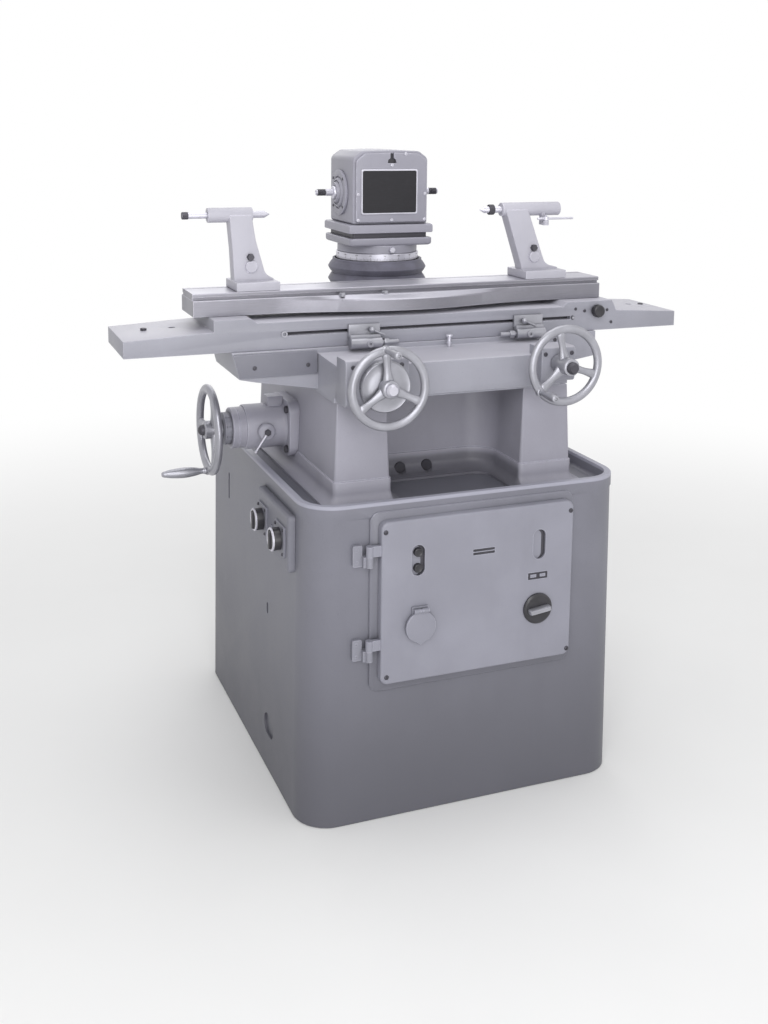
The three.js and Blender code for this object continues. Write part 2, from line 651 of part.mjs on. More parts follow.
// Switch panel on the cabinet's left side, its back cut to the side's slope.
const panelFront = -(sideAt(panel.z - panel.height / 2) + panel.thickness + gap);
const knobFace = panelFront - knob.plateThickness;
const knobPlaces = [panel.y + knob.spacing / 2, panel.y - knob.spacing / 2];
function buildSwitchPanel() {
  const outline = (inset) => roundedRing(
    panel.y - panel.width / 2 + inset, panel.y + panel.width / 2 - inset,
    panel.z - panel.height / 2 + inset, panel.z + panel.height / 2 - inset, panel.radius,
  );
  const block = stack('x', [
    [outline(panel.bevel), panelFront], [outline(0), panelFront + panel.bevel],
    [outline(0), -sideAt(base.height) + panel.bevel],
  ]);
  const half = knob.plate / 2;
  const plates = knobPlaces.map((y) => plate(
    'x', roundedRing(y - half, y + half, panel.z - half, panel.z + half, knob.corner),
    knobFace, panelFront + gap,
  ));
  const bores = knobPlaces.map((y) =>
    bar('x', knob.shaft + runGap, knobFace - overrun, knobFace + knob.bore, [0, y, panel.z]));
  const lamp = bar('x', knob.lamp, knobFace, panelFront + gap, [0, panel.y, panel.z], smallSides);
  return cut(join(block, lamp, ...plates), cabinetShape(gap, 0, base.height), ...bores);
}
add(machine, 'switch_panel', buildSwitchPanel(), 'paint');

['wheel_switch_knob', 'pump_switch_knob'].forEach((name, i) => {
  const at = groupAt(machine, knobFace, knobPlaces[i], panel.z);
  const disc = turned('x', [
    [0, -knob.height], [knob.radius - knob.bevel, -knob.height], [knob.radius, -knob.height + knob.bevel],
    [knob.radius, -gap], [knob.shaft, -gap], [knob.shaft, knob.bore - gap], [0, knob.bore - gap],
  ]);
  const grip = box(
    -knob.height - knob.gripHeight, -knob.height + gap, -knob.gripWidth / 2, knob.gripWidth / 2,
    -knob.radius + knob.bevel, knob.radius - knob.bevel,
  );
  add(at, name, join(disc, grip), 'blackPlastic');
});

// Pedestal: a hollow U-shaped casting on the tray; its height is measured from its foot.
const pedestalFoot = trayFloor + gap;
const pedestalTop = pedestalFoot + pedestal.height;
const pedestalGroup = groupAt(machine, 0, 0, pedestalFoot);
const liftUp = lift.height - gap;

function pedestalRing(grow) {
  const { halfWidth, front, back, pocketHalf, pocketBack, cornerRadius, pocketRadius,
    pillarRadius } = pedestal;
  const [half, near, far] = [halfWidth + grow, front - grow, back + grow];
  const [inner, wallBack] = [pocketHalf - grow, pocketBack - grow];
  const outer = cornerRadius + grow;
  const pocket = pocketRadius - grow;
  const edge = pillarRadius + grow;
  return filleted([
    [-half, near, outer], [-inner, near, edge], [-inner, wallBack, pocket], [inner, wallBack, pocket],
    [inner, near, edge], [half, near, outer], [half, far, outer], [-half, far, outer],
  ]);
}

function guideRing(middle, floor, grow) {
  const [wide, narrow] = [guide.width / 2 + grow, guide.width / 2 - guide.undercut + grow];
  return [
    [middle - narrow, floor - grow], [middle + narrow, floor - grow],
    [middle + wide, floor + guide.height + grow], [middle - wide, floor + guide.height + grow],
  ];
}

function buildPedestal() {
  const flare = Array.from({ length: cornerSteps }, (_, i) => {
    const angle = (Math.PI / 2) * (i / (cornerSteps - 1));
    return [pedestalRing(pedestal.ledge + pedestal.flare * (1 - Math.sin(angle))),
      pedestal.lip + pedestal.flare * (1 - Math.cos(angle))];
  });
  const outside = stack('z', [
    [pedestalRing(pedestal.ledge + pedestal.flare), 0], ...flare,
    [pedestalRing(pedestal.ledge), pedestal.ledgeHeight],
    [pedestalRing(0), pedestal.ledgeHeight], [pedestalRing(-pedestal.draft), pedestal.height],
  ]);
  const inside = stack('z', [
    [pedestalRing(-pedestal.wall), -overrun], [pedestalRing(-pedestal.wall - pedestal.draft),
    pedestal.height - pedestal.top],
  ]);
  const webTop = liftUp - web.drop;
  const webBack = lift.y + web.width / 2;
  const bearingWeb = box(
    -pedestal.halfWidth + pedestal.wall / 2, screw.x + web.reach, lift.y - web.width / 2, webBack,
    webTop - web.thickness, webTop,
  );
  const rails = guidePlaces.map((x) => plate('y', guideRing(x, pedestal.height, 0), guide.front, guide.back));
  const drains = [-1, 1].map((side) => bar(
    'y', pedestal.drainRadius, pedestal.pocketBack - pedestal.flare - overrun * 2,
    pedestal.pocketBack + pedestal.wall * 2,
    [pedestal.drainX + (side * pedestal.drainSpacing) / 2, 0, pedestal.drainHeight], smallSides,
  ));
  const shaftHole = bar(
    'x', lift.bore, -pedestal.halfWidth - overrun, -pedestal.halfWidth + pedestal.wall * 3,
    [0, lift.y, liftUp],
  );
  const screwHole = bar('z', screw.journal + runGap, webTop - web.thickness - overrun, webTop + overrun,
    [screw.x, lift.y, 0]);
  const sleeveHole = bar(
    'z', sleeve.radius + gap, pedestal.height - sleeve.drop - overrun, pedestal.height + overrun,
    [0, column.y, 0], fineSides,
  );
  const body = cut(join(cut(outside, inside), bearingWeb), ...drains, shaftHole, screwHole, sleeveHole);
  return join(body, ...rails);
}
add(pedestalGroup, 'pedestal', buildPedestal(), 'paint');

// Handwheel about the Y axis, its rim's plane at 0 and its handle's pin pointing to -Y.
function buildWheel(size, shaftRadius, grip, handleAngle, spokeAngle) {
  const middle = size.radius - size.rim;
  const rimProfile = circleRing(middle, 0, size.rim, smallSides - 2);
  const rim = turned('y', [...rimProfile, rimProfile[0]], [0, 0, 0], fineSides);
  const hub = turned('y', [
    [shaftRadius + gap, -size.hubFront], [size.hub - size.rim / 4, -size.hubFront],
    [size.hub, -size.hubFront + size.rim / 4], [size.hub, size.hubBack],
    [shaftRadius + gap, size.hubBack], [shaftRadius + gap, -size.hubFront],
  ]);
  const spoke = stack('z', [
    [circleRing(0, size.dish, size.spoke), size.hub - size.spoke / 2],
    [circleRing(0, 0, size.spoke * spokeTipShare), middle],
  ]);
  const boss = bar('y', size.rim * bossShare, -size.rim, size.rim / 2, [0, 0, middle], smallSides);
  const pinBody = bar('y', grip.bore - gap, -grip.length - size.rim, 0, [0, 0, middle], smallSides);
  const knobBody = turnedBy(join(boss, pinBody), 'y', handleAngle);
  return join(rim, hub, ...spun(spoke, 'y', 3, spokeAngle), knobBody);
}

// Revolving handle on a wheel's pin.
function buildHandle(grip, start, swellShares) {
  const outline = swellShares.map(([radiusShare, lengthShare]) =>
    [grip.radius * radiusShare, -start - grip.length * lengthShare]);
  return turned('y', [[grip.bore, outline[0][1]], ...outline, [grip.bore, outline.at(-1)[1]],
    [grip.bore, outline[0][1]]],
    [0, 0, 0], smallSides + 4);
}

function addHandle(parent, name, size, grip, angle, swellShares) {
  const middle = size.radius - size.rim;
  const at = groupAt(parent, middle * Math.sin(angle), 0, middle * Math.cos(angle));
  add(at, name, buildHandle(grip, size.rim + gap, swellShares), 'brightSteel');
}

// Elevation drive: flange, round housing, dial, wheel and shaft in one line along X.
const liftFace = -pedestal.halfWidth - lift.stand;
const bodyFace = liftFace - lift.flange;
const ringFace = bodyFace - lift.body;
const dialFace = ringFace - lift.ring;
const liftGroup = groupAt(machine, 0, lift.y, trayFloor + lift.height);

function buildGearbox() {
  const [half, tall] = [lift.flangeWidth / 2, lift.flangeHeight / 2];
  const flange = plate('x', roundedRing(-half, half, -tall, tall, lift.flangeRadius), bodyFace,
    -pedestal.halfWidth + pedestal.wall);
  const body = bar('x', lift.bodyRadius, ringFace, bodyFace + gap, [0, 0, 0], fineSides);
  const nose = bar('x', lift.ringRadius, dialFace, ringFace + gap, [0, 0, 0], fineSides);
  const block = box(bodyFace - lift.block, bodyFace + gap, -lift.block / 2, lift.block / 2, 0,
    lift.blockHeight);
  const bolts = [[1, 1], [1, -1], [-1, -1], [-1, 1]].map(([wide, up]) => bar(
    'x', lift.boltRadius, bodyFace - lift.boltHeight, bodyFace + gap,
    [0, wide * (half - lift.boltInset), up * (tall - lift.boltInset)], 6,
  ));
  const leverBoss = bar('y', liftLever.boss, -lift.bodyRadius - liftLever.stand, 0,
    [bodyFace - liftLever.x, 0, 0], smallSides);
  const leverBore = bar(
    'y', liftLever.pin + runGap, -lift.bodyRadius - liftLever.stand - overrun,
    -lift.bodyRadius + liftLever.depth,
    [bodyFace - liftLever.x, 0, 0],
  );
  const bore = bar('x', lift.shaftRadius + runGap, dialFace - overrun, 0);
  const wall = pedestalShape(gap).translate([0, -lift.y, -liftUp]);
  return cut(join(flange, body, nose, block, leverBoss, ...bolts), wall, bore, leverBore);
}

function pedestalShape(grow) {
  return stack('z', [
    [pedestalRing(pedestal.ledge + grow), 0], [pedestalRing(pedestal.ledge + grow), pedestal.ledgeHeight],
    [pedestalRing(grow), pedestal.ledgeHeight], [pedestalRing(grow - pedestal.draft), pedestal.height],
  ]);
}
add(liftGroup, 'gearbox_housing', buildGearbox(), 'paint');

const leverGroup = groupAt(liftGroup, bodyFace - liftLever.x, -lift.bodyRadius - liftLever.stand - gap, 0);
const leverDisc = turned('y', [
  [0, -liftLever.thickness], [liftLever.radius * rimShare, -liftLever.thickness],
  [liftLever.radius, -liftLever.thickness / 2], [liftLever.radius, 0], [liftLever.pin, 0],
  [liftLever.pin, liftLever.depth], [0, liftLever.depth],
]);
const leverArm = join(
  bar('z', liftLever.rod, 0, liftLever.length, [0, -liftLever.thickness / 2, 0], smallSides),
  ball(liftLever.ballRadius, [0, -liftLever.thickness / 2, liftLever.length]),
);
add(leverGroup, 'gearbox_clamp_lever', join(leverDisc, turnedBy(leverArm, 'y', liftLever.angle)),
  'brightSteel');

add(liftGroup, 'elevation_dial', tube(
  'x', lift.dialRadius, lift.shaftRadius + gap, dialFace - gap - lift.dial, dialFace - gap, [0, 0, 0],
  fineSides,
), 'brightSteel');

const liftWheelX = dialFace - gap * 2 - lift.dial - liftWheel.hubBack;
const liftWheelGroup = groupAt(liftGroup, liftWheelX, 0, 0);
liftWheelGroup.rotation.z = -Math.PI / 2;
add(liftWheelGroup, 'elevation_handwheel',
  buildWheel(liftWheel, lift.shaftRadius, liftHandle, Math.PI, liftWheel.spokeAngle), 'brightSteel');
addHandle(liftWheelGroup, 'elevation_handle', liftWheel, liftHandle, Math.PI, spindleShares);

function mitreSections(toothAngle, apexSide) {
  const small = (mitre.pitchRadius - mitre.face) / mitre.pitchRadius;
  return [1, small].map((share) => [
    gearRing(mitre.pitchRadius * share, mitre.teeth, mitre.addend * share, mitre.dedend * share, toothAngle),
    apexSide - mitre.pitchRadius * share,
  ]);
}
const shaftPinion = stack('x', mitreSections(-Math.PI / 2, screw.x));
const shaftStart = liftWheelX - liftWheel.hubFront;
const liftShaft = join(
  bar('x', lift.shaftRadius, shaftStart - gap, screw.x - mitre.pitchRadius + gap),
  turned('x', ballProfile(liftWheel.capRadius, shaftStart - gap).slice(0, 4).concat([[0, shaftStart - gap]])),
  shaftPinion,
);
add(liftGroup, 'elevation_shaft', liftShaft, 'darkSteel');

// Vertical screw with its bevel gear, hung in the pedestal's web, its flanged nut in the column's arm.
const screwGroup = groupAt(liftGroup, screw.x, 0, 0);
const webTop = -web.drop;
const screwBottom = screw.bottom - trayFloor - lift.height;
const liftScrew = join(
  stack('z', mitreSections(Math.PI + Math.PI / mitre.teeth, 0)),
  bar('z', mitre.hub, webTop + gap, -mitre.pitchRadius + gap),
  bar('z', screw.journal, webTop - web.thickness - gap * 2, webTop + gap * 2),
  bar('z', screw.collar, webTop - web.thickness - gap - screw.collarHeight, webTop - web.thickness - gap),
  bar('z', screw.radius, screwBottom, webTop - web.thickness - screw.collarHeight),
);
add(screwGroup, 'elevation_screw', liftScrew, 'darkSteel');

const columnGroup = groupAt(machine, 0, column.y, 0);
const nutPlace = [screw.x, lift.y - column.y, 0];
function buildRam() {
  const [nutX, nutY] = nutPlace;
  const length = Math.hypot(nutX, nutY);
  const strip = box(0, length + column.armWidth / 2, -column.armWidth / 2, column.armWidth / 2,
    column.bottom, column.bottom + column.armHeight);
  const arm = turnedBy(strip, 'z', Math.atan2(nutY, nutX));
  return cut(
    join(bar('z', column.radius, column.bottom, column.top, [0, 0, 0], fineSides), arm),
    bar('z', column.bore, column.bottom - overrun, column.top + overrun, [0, 0, 0], fineSides),
    bar('z', nut.radius + gap, column.bottom - overrun, column.bottom + column.armHeight + overrun, nutPlace),
  );
}
add(columnGroup, 'ram', buildRam(), 'groundSteel');

add(columnGroup, 'elevation_nut', turned('z', [
  [screw.radius + runGap, column.bottom - gap - nut.flange],
  [nut.flangeRadius, column.bottom - gap - nut.flange],
  [nut.flangeRadius, column.bottom - gap], [nut.radius, column.bottom - gap],
  [nut.radius, column.bottom + nut.length], [screw.radius + runGap, column.bottom + nut.length],
  [screw.radius + runGap, column.bottom - gap - nut.flange],
], nutPlace), 'bronze');

const sleeveBore = column.radius + runGap;
add(columnGroup, 'guide_sleeve', turned('z', [
  [sleeveBore, pedestalTop - sleeve.drop], [sleeve.radius, pedestalTop - sleeve.drop],
  [sleeve.radius, pedestalTop + gap], [sleeve.flangeRadius, pedestalTop + gap],
  [sleeve.flangeRadius, pedestalTop + gap + sleeve.flange],
  [sleeve.radius, pedestalTop + gap + sleeve.flange * 2],
  [sleeve.radius, sleeve.top - sleeve.cap * 2], [sleeve.capRadius, sleeve.top - sleeve.cap],
  [sleeve.capRadius, sleeve.top], [sleeveBore, sleeve.top], [sleeveBore, pedestalTop - sleeve.drop],
], [0, 0, 0], fineSides), 'paint');

// Ribbed rubber bellows between the sleeve and the graduated ring.
function buildBellows() {
  const bottom = sleeve.top + gap;
  const top = ring.bottom - gap;
  const steps = bellows.folds * bellows.foldSteps;
  const wave = Array.from({ length: steps + 1 }, (_, i) => {
    const swell = Math.abs(Math.sin((Math.PI * bellows.folds * i) / steps)) ** bellows.sharpShare;
    const z = bottom + bellows.collar + (top - bottom - 2 * bellows.collar) * (i / steps);
    return [bellows.valleyRadius + (bellows.tipRadius - bellows.valleyRadius) * swell, z];
  });
  const outside = [[bellows.valleyRadius, bottom], ...wave, [bellows.valleyRadius, top]];
  const inside = outside.map(([radius, z]) => [radius - bellows.wall, z]).reverse();
  return turned('z', [...outside, ...inside, outside[0]], [0, 0, 0], fineSides);
}
add(columnGroup, 'bellows', buildBellows(), 'rubber');

add(columnGroup, 'graduated_ring', tube(
  'z', ring.radius, column.radius + gap, ring.bottom, column.top, [0, 0, 0], fineSides,
), 'brightSteel');

// Wheelhead: a base that turns on the column, a motor housing and its covers; drawn from the column's top.
const headGroup = groupAt(columnGroup, 0, 0, column.top + gap);
const bandBottom = head.neck;
const grooveBottom = bandBottom + head.lower;
const upperBottom = grooveBottom + head.groove;
const headTop = upperBottom + head.upper;

function bandRing(half, inset, corner) {
  return filleted([
    [-half + inset, head.front - column.y + inset, corner],
    [half - inset, head.front - column.y + inset, corner],
    [half - inset, head.back - column.y - inset, corner],
    [-half + inset, head.back - column.y - inset, corner],
  ], 3);
}

function buildHeadBase() {
  const neck = bar('z', head.neckRadius, 0, bandBottom + gap, [0, 0, 0], fineSides);
  const spigot = bar('z', column.bore - 2 * runGap, -head.spigot, gap, [0, 0, 0], fineSides);
  const clampBolt = bar('y', head.boltRadius, -head.neckRadius - head.boltRadius, 0, [0, 0, bandBottom / 2],
    smallSides);
  const bands = [
    stack('z', [[bandRing(head.flangeHalf, head.lower / 3, head.cut), bandBottom],
      [bandRing(head.flangeHalf, 0, head.cut), bandBottom + head.lower / 3],
      [bandRing(head.flangeHalf, 0, head.cut), grooveBottom]]),
    plate('z', bandRing(head.flangeHalf, head.grooveInset, head.cut / 2), grooveBottom - gap,
      upperBottom + gap),
    stack('z', [[bandRing(head.upperHalf, 0, head.cut / 2), upperBottom],
      [bandRing(head.upperHalf, 0, head.cut / 2), headTop - head.upper / 3],
      [bandRing(head.upperHalf, head.upper / 4, head.cut / 2), headTop]]),
  ];
  return join(neck, spigot, clampBolt, ...bands);
}
add(headGroup, 'wheelhead_base', buildHeadBase(), 'paint');

const spindleUp = spindleLine.z - column.top - gap;
const spindleGroup = groupAt(headGroup, 0, 0, spindleUp);
const boxFront = head.boxFront - column.y;
const boxBack = head.boxBack - column.y;
const boxBottom = headTop + gap - spindleUp;
const boxTop = head.boxTop - spindleLine.z;

function headRing(inset) {
  const [half, low, high] = [head.boxHalf - inset, boxBottom + inset, boxTop - inset];
  const foot = head.footRadius;
  return filleted([
    [-half, low, foot], [half, low, foot], [half, high, head.topRadius - inset],
    [-half, high, head.topRadius - inset],
  ]);
}

function buildHousing() {
  const body = stack('y', [
    [headRing(head.edge), boxFront], [headRing(0), boxFront + head.edge],
    [headRing(0), boxBack - head.edge * 3], [headRing(head.edge * 3), boxBack],
  ]);
  const length = motor.statorLength / 2 + motor.endSpace;
  const statorBore = bar('x', motor.statorRadius + gap, -length, length, [0, 0, 0], fineSides);
  const bearingBore = bar('x', motor.bearingRadius + gap, -head.boxHalf - overrun, head.boxHalf + overrun);
  const terminalRoom = box(-length, length, boxFront - overrun, 0, -motor.statorRadius + motor.endSpace,
    motor.statorRadius - motor.endSpace);
  return cut(body, statorBore, bearingBore, terminalRoom);
}
add(spindleGroup, 'spindle_housing', buildHousing(), 'paint');

const coverBack = boxFront - gap;
const coverFront = coverBack - cover.thickness;
function buildFrontCover() {
  const sheet = stack('y', [
    [headRing(cover.margin + cover.bevel), coverFront], [headRing(cover.margin), coverFront + cover.bevel],
    [headRing(cover.margin), coverBack],
  ]);
  const top = boxTop - cover.margin;
  const [wide, narrow] = [cover.notchWidth / 2, cover.notchWidth / 3];
  const notch = plate('y', [
    [-narrow, top - cover.notchHeight], [narrow, top - cover.notchHeight], [wide, top + overrun],
    [-wide, top + overrun],
  ], coverFront - overrun, coverBack - cover.thickness / 3);
  const [side, low, high] = [head.boxHalf - cover.screwInset, boxBottom + cover.screwInset,
    boxTop - cover.screwInset];
  const screws = [
    [-side, low], [0, low], [side, low], [-side, 0], [side, 0], [-side * cover.highShare, high], [side * cover.highShare, high],
  ].map(([x, z]) => bar('y', cover.screwRadius, coverFront - cover.screwHead, coverFront + gap, [x, 0, z],
  8));
  return join(cut(sheet, notch), ...screws);
}
add(spindleGroup, 'front_cover', buildFrontCover(), 'paint');

const [plateHalf, plateTall] = [nameplate.width / 2, nameplate.height / 2];
add(spindleGroup, 'nameplate', plate('y', roundedRing(
  nameplate.x - plateHalf, nameplate.x + plateHalf, nameplate.up - plateTall, nameplate.up + plateTall,
  nameplate.radius,
), coverFront - gap - nameplate.thickness, coverFront - gap), 'nameplate');

// Bearing caps, bearings, stator, rotor and spindle on one line.
[['left', -1], ['right', 1]].forEach(([side, way]) => {
  const face = head.boxHalf + gap;
  const bore = motor.shaftRadius + runGap;
  const profile = [
    [bore, face], [cap.radius, face], [cap.radius, face + cap.rim],
    [cap.radius * capShares.shoulder, face + cap.rim * capShares.rise], [cap.neckRadius * capShares.neck, face + cap.reach * capShares.reach],
    [cap.neckRadius, face + cap.reach], [bore, face + cap.reach], [bore, face],
  ];
  const facing = way > 0 ? profile : profile.map(([radius, along]) => [radius, -along]).reverse();
  add(spindleGroup, `${side}_bearing_cap`, turned('x', facing, [0, 0, 0], fineSides), 'paint');
  const middle = way * (head.boxHalf - motor.bearingLength / 2);
  add(spindleGroup, `${side}_bearing`, tube(
    'x', motor.bearingRadius, motor.shaftRadius + gap, middle - motor.bearingLength / 2 + gap,
    middle + motor.bearingLength / 2,
  ), 'brightSteel');
});
add(spindleGroup, 'stator', tube(
  'x', motor.statorRadius, motor.statorBore, -motor.statorLength / 2, motor.statorLength / 2, [0, 0, 0],
  fineSides,
), 'copper');
add(spindleGroup, 'rotor', tube(
  'x', motor.rotorRadius, motor.shaftRadius + gap, -motor.rotorLength / 2, motor.rotorLength / 2,
), 'castSteel');
add(spindleGroup, 'spindle', turned('x', [
  [0, -motor.shaftEnd], [motor.noseRadius, -motor.shaftEnd],
  [motor.noseRadius, motor.noseLength - motor.shaftEnd],
  [motor.shaftRadius, motor.noseLength - motor.shaftEnd],
  [motor.shaftRadius, motor.shaftEnd - motor.noseLength],
  [motor.noseRadius, motor.shaftEnd - motor.noseLength], [motor.noseRadius, motor.shaftEnd],
  [0, motor.shaftEnd],
]), 'brightSteel');

// Cross slide: apron, two brackets for the front wheels, two wings and a rib that guides the table.
const saddleBottom = pedestalTop + gap;
const runway = table.bottom - gap;
const rackPitchLine = traverse.z + (traverse.module * traverse.teeth) / 2;
const addend = traverse.module * addendShare;
const dedend = traverse.module * dedendShare;
const saddleGroup = groupAt(machine, 0, 0, 0);
const rackRun = {
  left: traverse.x - traverse.travelRight - traverse.spare,
  right: traverse.x + traverse.travelLeft + traverse.spare,
};

function bracket(x0, x1, bottom) {
  return plate('x', filleted([
    [saddle.bracketFront, bottom, saddle.bracketEdge], [saddle.front + saddle.wall, bottom],
    [saddle.front + saddle.wall, saddle.bracketTop],
    [saddle.bracketFront, saddle.bracketTop, saddle.bracketEdge],
  ]), x0, x1);
}

function buildCrossSlide() {
  const main = plate('x', [
    [saddle.front, saddle.apronBottom], [pedestal.front, saddle.apronBottom], [pedestal.front, saddleBottom],
    [saddle.back, saddleBottom], [saddle.back, runway], [saddle.wingFront, runway],
    [saddle.wingFront, saddle.deckBack], [saddle.front, saddle.deckFront],
  ], saddle.left, saddle.right);
  const wings = plate('y', [
    [saddle.wingLeft + saddle.wingRake, saddle.wingEdge],
    [saddle.wingLeft + saddle.wingStep, saddle.wingEdge - saddle.wingRake / 2],
    [saddle.left, saddle.wingRoot], [saddle.right, saddle.wingRoot],
    [saddle.wingRight - saddle.wingStep, saddle.wingEdge - saddle.wingRake / 2],
    [saddle.wingRight, saddle.wingEdge],
    [saddle.wingRight, runway], [saddle.wingLeft, runway],
  ], saddle.wingFront, saddle.back);
  const brackets = join(
    bracket(saddle.left, saddle.bracketLeftInner, saddle.bracketBottom),
    bracket(saddle.bracketRightFrom, saddle.bracketRightTo, saddle.apronBottom + saddle.wall),
  );
  const rib = box(saddle.left, saddle.right, dovetail.front, dovetail.back, runway - gap, dovetail.top);
  const grooves = guidePlaces.map((x) => plate(
    'y', guideRing(x, pedestalTop, gap), saddle.front + saddle.wall, saddle.back + overrun,
  ));
  const half = crossFeed.nutWidth / 2 + saddle.nutSpace;
  const nutRoom = box(
    crossFeed.x - half, crossFeed.x + half, crossFeed.nutY - crossFeed.nutLength / 2 - crossFeed.travelBack - saddle.nutSpace,
    crossFeed.nutY + crossFeed.nutLength / 2 + crossFeed.travelFront + saddle.nutSpace,
    saddleBottom - overrun, crossFeed.z + crossFeed.nutRise + saddle.nutSpace,
  );
  const core = box(
    -saddle.coreHalf, saddle.coreHalf, saddle.front + saddle.wall * 2, saddle.back - saddle.wall,
    saddleBottom - overrun, saddle.deckFront - saddle.wall,
  );
  const screwBore = bar('y', crossFeed.screwRadius + runGap, saddle.bracketFront - overrun,
    saddle.back + overrun,
    [crossFeed.x, 0, crossFeed.z]);
  const shaftBore = bar('y', traverse.shaftRadius + runGap, saddle.bracketFront - overrun,
    traverse.rackBack + saddle.wall * 2,
    [traverse.x, 0, traverse.z]);
  const pinionHalf = (traverse.module * traverse.teeth) / 2 + addend + saddle.nutSpace;
  const pinionRoom = box(
    traverse.x - pinionHalf, traverse.x + pinionHalf, traverse.rackFront - gap * 2,
    traverse.rackBack + gap * 2,
    traverse.z - pinionHalf, runway + overrun,
  );
  const rackRoom = box(
    rackRun.left - traverse.travelLeft - saddle.nutSpace, saddle.wingRight + overrun,
    traverse.rackFront - gap * 2, traverse.rackBack + gap * 2, rackPitchLine - addend - gap * 2,
    runway + overrun,
  );
  const pinBore = bar('z', pin.radius + gap, saddle.deckFront - pin.depth, runway + overrun,
    [pin.x, pin.y, 0], smallSides);
  return cut(
    join(main, wings, brackets, rib), ...grooves, nutRoom, core, screwBore, shaftBore, pinionRoom, rackRoom,
      pinBore,
  );
}
add(saddleGroup, 'cross_slide', buildCrossSlide(), 'paint');

add(saddleGroup, 'saddle_cover', plate('y', [
  [wingCover.left + wingCover.rake, wingCover.bottom], [wingCover.right, wingCover.bottom],
  [wingCover.right, wingCover.top], [wingCover.left, wingCover.top],
], saddle.wingFront - gap - wingCover.thickness, saddle.wingFront - gap), 'paint');

const pinFoot = saddle.deckFront + ((pin.y - saddle.front) / (saddle.wingFront - saddle.front)) * (saddle.deckBack - saddle.deckFront);
add(saddleGroup, 'stop_pin', turned('z', [
  [0, saddle.deckFront - pin.depth + gap], [pin.radius, saddle.deckFront - pin.depth + gap],
  [pin.radius, pinFoot + pin.height - pin.headHeight],
  [pin.headRadius, pinFoot + pin.height - pin.headHeight],
  [pin.headRadius, pinFoot + pin.height], [0, pinFoot + pin.height],
], [pin.x, pin.y, 0], smallSides), 'brightSteel');

// Cross feed: screw with wheel and dial, and its nut on the left pillar.
const dialFront = saddle.bracketFront - gap - dial.thickness;
const feedHubBack = dialFront - gap - crossFeed.wheelY;
const crossWheel = { ...wheel, hubBack: feedHubBack };
const crossGroup = groupAt(saddleGroup, crossFeed.x, crossFeed.wheelY, crossFeed.z);
add(crossGroup, 'cross_handwheel',
  buildWheel(crossWheel, crossFeed.screwRadius, handle, wheel.crossHandleAngle, wheel.crossSpokeAngle),
    'brightSteel');
addHandle(crossGroup, 'cross_handle', crossWheel, handle, wheel.crossHandleAngle, gripShares);
add(crossGroup, 'cross_dial', turned('y', [
  [crossFeed.screwRadius + gap, feedHubBack + gap], [dial.radius * rimShare, feedHubBack + gap],
  [dial.radius, feedHubBack + gap + dial.thickness / 2], [dial.radius, feedHubBack + gap + dial.thickness],
  [crossFeed.screwRadius + gap, feedHubBack + gap + dial.thickness],
  [crossFeed.screwRadius + gap, feedHubBack + gap],
], [0, 0, 0], fineSides), 'brightSteel');

function buildFeedShaft(radius, back, hubFront) {
  return join(
    bar('y', radius, -hubFront - gap * 2, back),
    turned('y', [[0, -hubFront - gap - wheel.capLength],
      [wheel.capRadius * neckShare, -hubFront - gap - wheel.capLength],
      [wheel.capRadius, -hubFront - gap - wheel.capLength / 2], [wheel.capRadius, -hubFront - gap],
      [0, -hubFront - gap]]),
  );
}
add(crossGroup, 'cross_screw',
  buildFeedShaft(crossFeed.screwRadius, saddle.back - crossFeed.wheelY - saddle.wall, wheel.hubFront),
    'darkSteel');

const nutHalf = crossFeed.nutWidth / 2;
add(machine, 'cross_feed_nut', cut(
  join(
    box(crossFeed.x - nutHalf, crossFeed.x + nutHalf, crossFeed.nutY - crossFeed.nutLength / 2,
      crossFeed.nutY + crossFeed.nutLength / 2, pedestalTop + gap, crossFeed.z),
    bar('y', crossFeed.nutRise, crossFeed.nutY - crossFeed.nutLength / 2,
      crossFeed.nutY + crossFeed.nutLength / 2,
      [crossFeed.x, 0, crossFeed.z]),
  ),
  bar('y', crossFeed.screwRadius + runGap, crossFeed.nutY - crossFeed.nutLength,
    crossFeed.nutY + crossFeed.nutLength,
    [crossFeed.x, 0, crossFeed.z]),
), 'bronze');

// Table traverse: wheel, shaft with pinion, and the rack under the table.
const traverseHubBack = saddle.bracketFront - gap - traverse.wheelY;
const traverseWheel = { ...wheel, hubBack: traverseHubBack, hubFront: traverse.hubFront };
const traverseGroup = groupAt(saddleGroup, traverse.x, traverse.wheelY, traverse.z);
add(traverseGroup, 'table_handwheel',
  buildWheel(traverseWheel, traverse.shaftRadius, handle, wheel.tableHandleAngle, wheel.tableSpokeAngle),
    'brightSteel');
addHandle(traverseGroup, 'table_handle', traverseWheel, handle, wheel.tableHandleAngle, gripShares);
const pinionFront = traverse.rackFront - traverse.wheelY;
const pinionBack = traverse.rackBack - traverse.wheelY;
const pinionRing = gearRing((traverse.module * traverse.teeth) / 2, traverse.teeth, addend, dedend,
  Math.PI / 2);
add(traverseGroup, 'table_pinion', join(
  buildFeedShaft(traverse.shaftRadius, pinionBack + saddle.wall, traverse.hubFront),
  plate('y', pinionRing, pinionFront, pinionBack),
), 'darkSteel');

// Lower table, drawn where it stands in the photograph.
const tableGroup = groupAt(saddleGroup, 0, 0, 0);
const [leftBlockFrom, leftBlockTo] = table.leftBlock;
const [rightBlockFrom, rightBlockTo] = table.rightBlock;
const rackTop = table.bottom + traverse.rackRise;

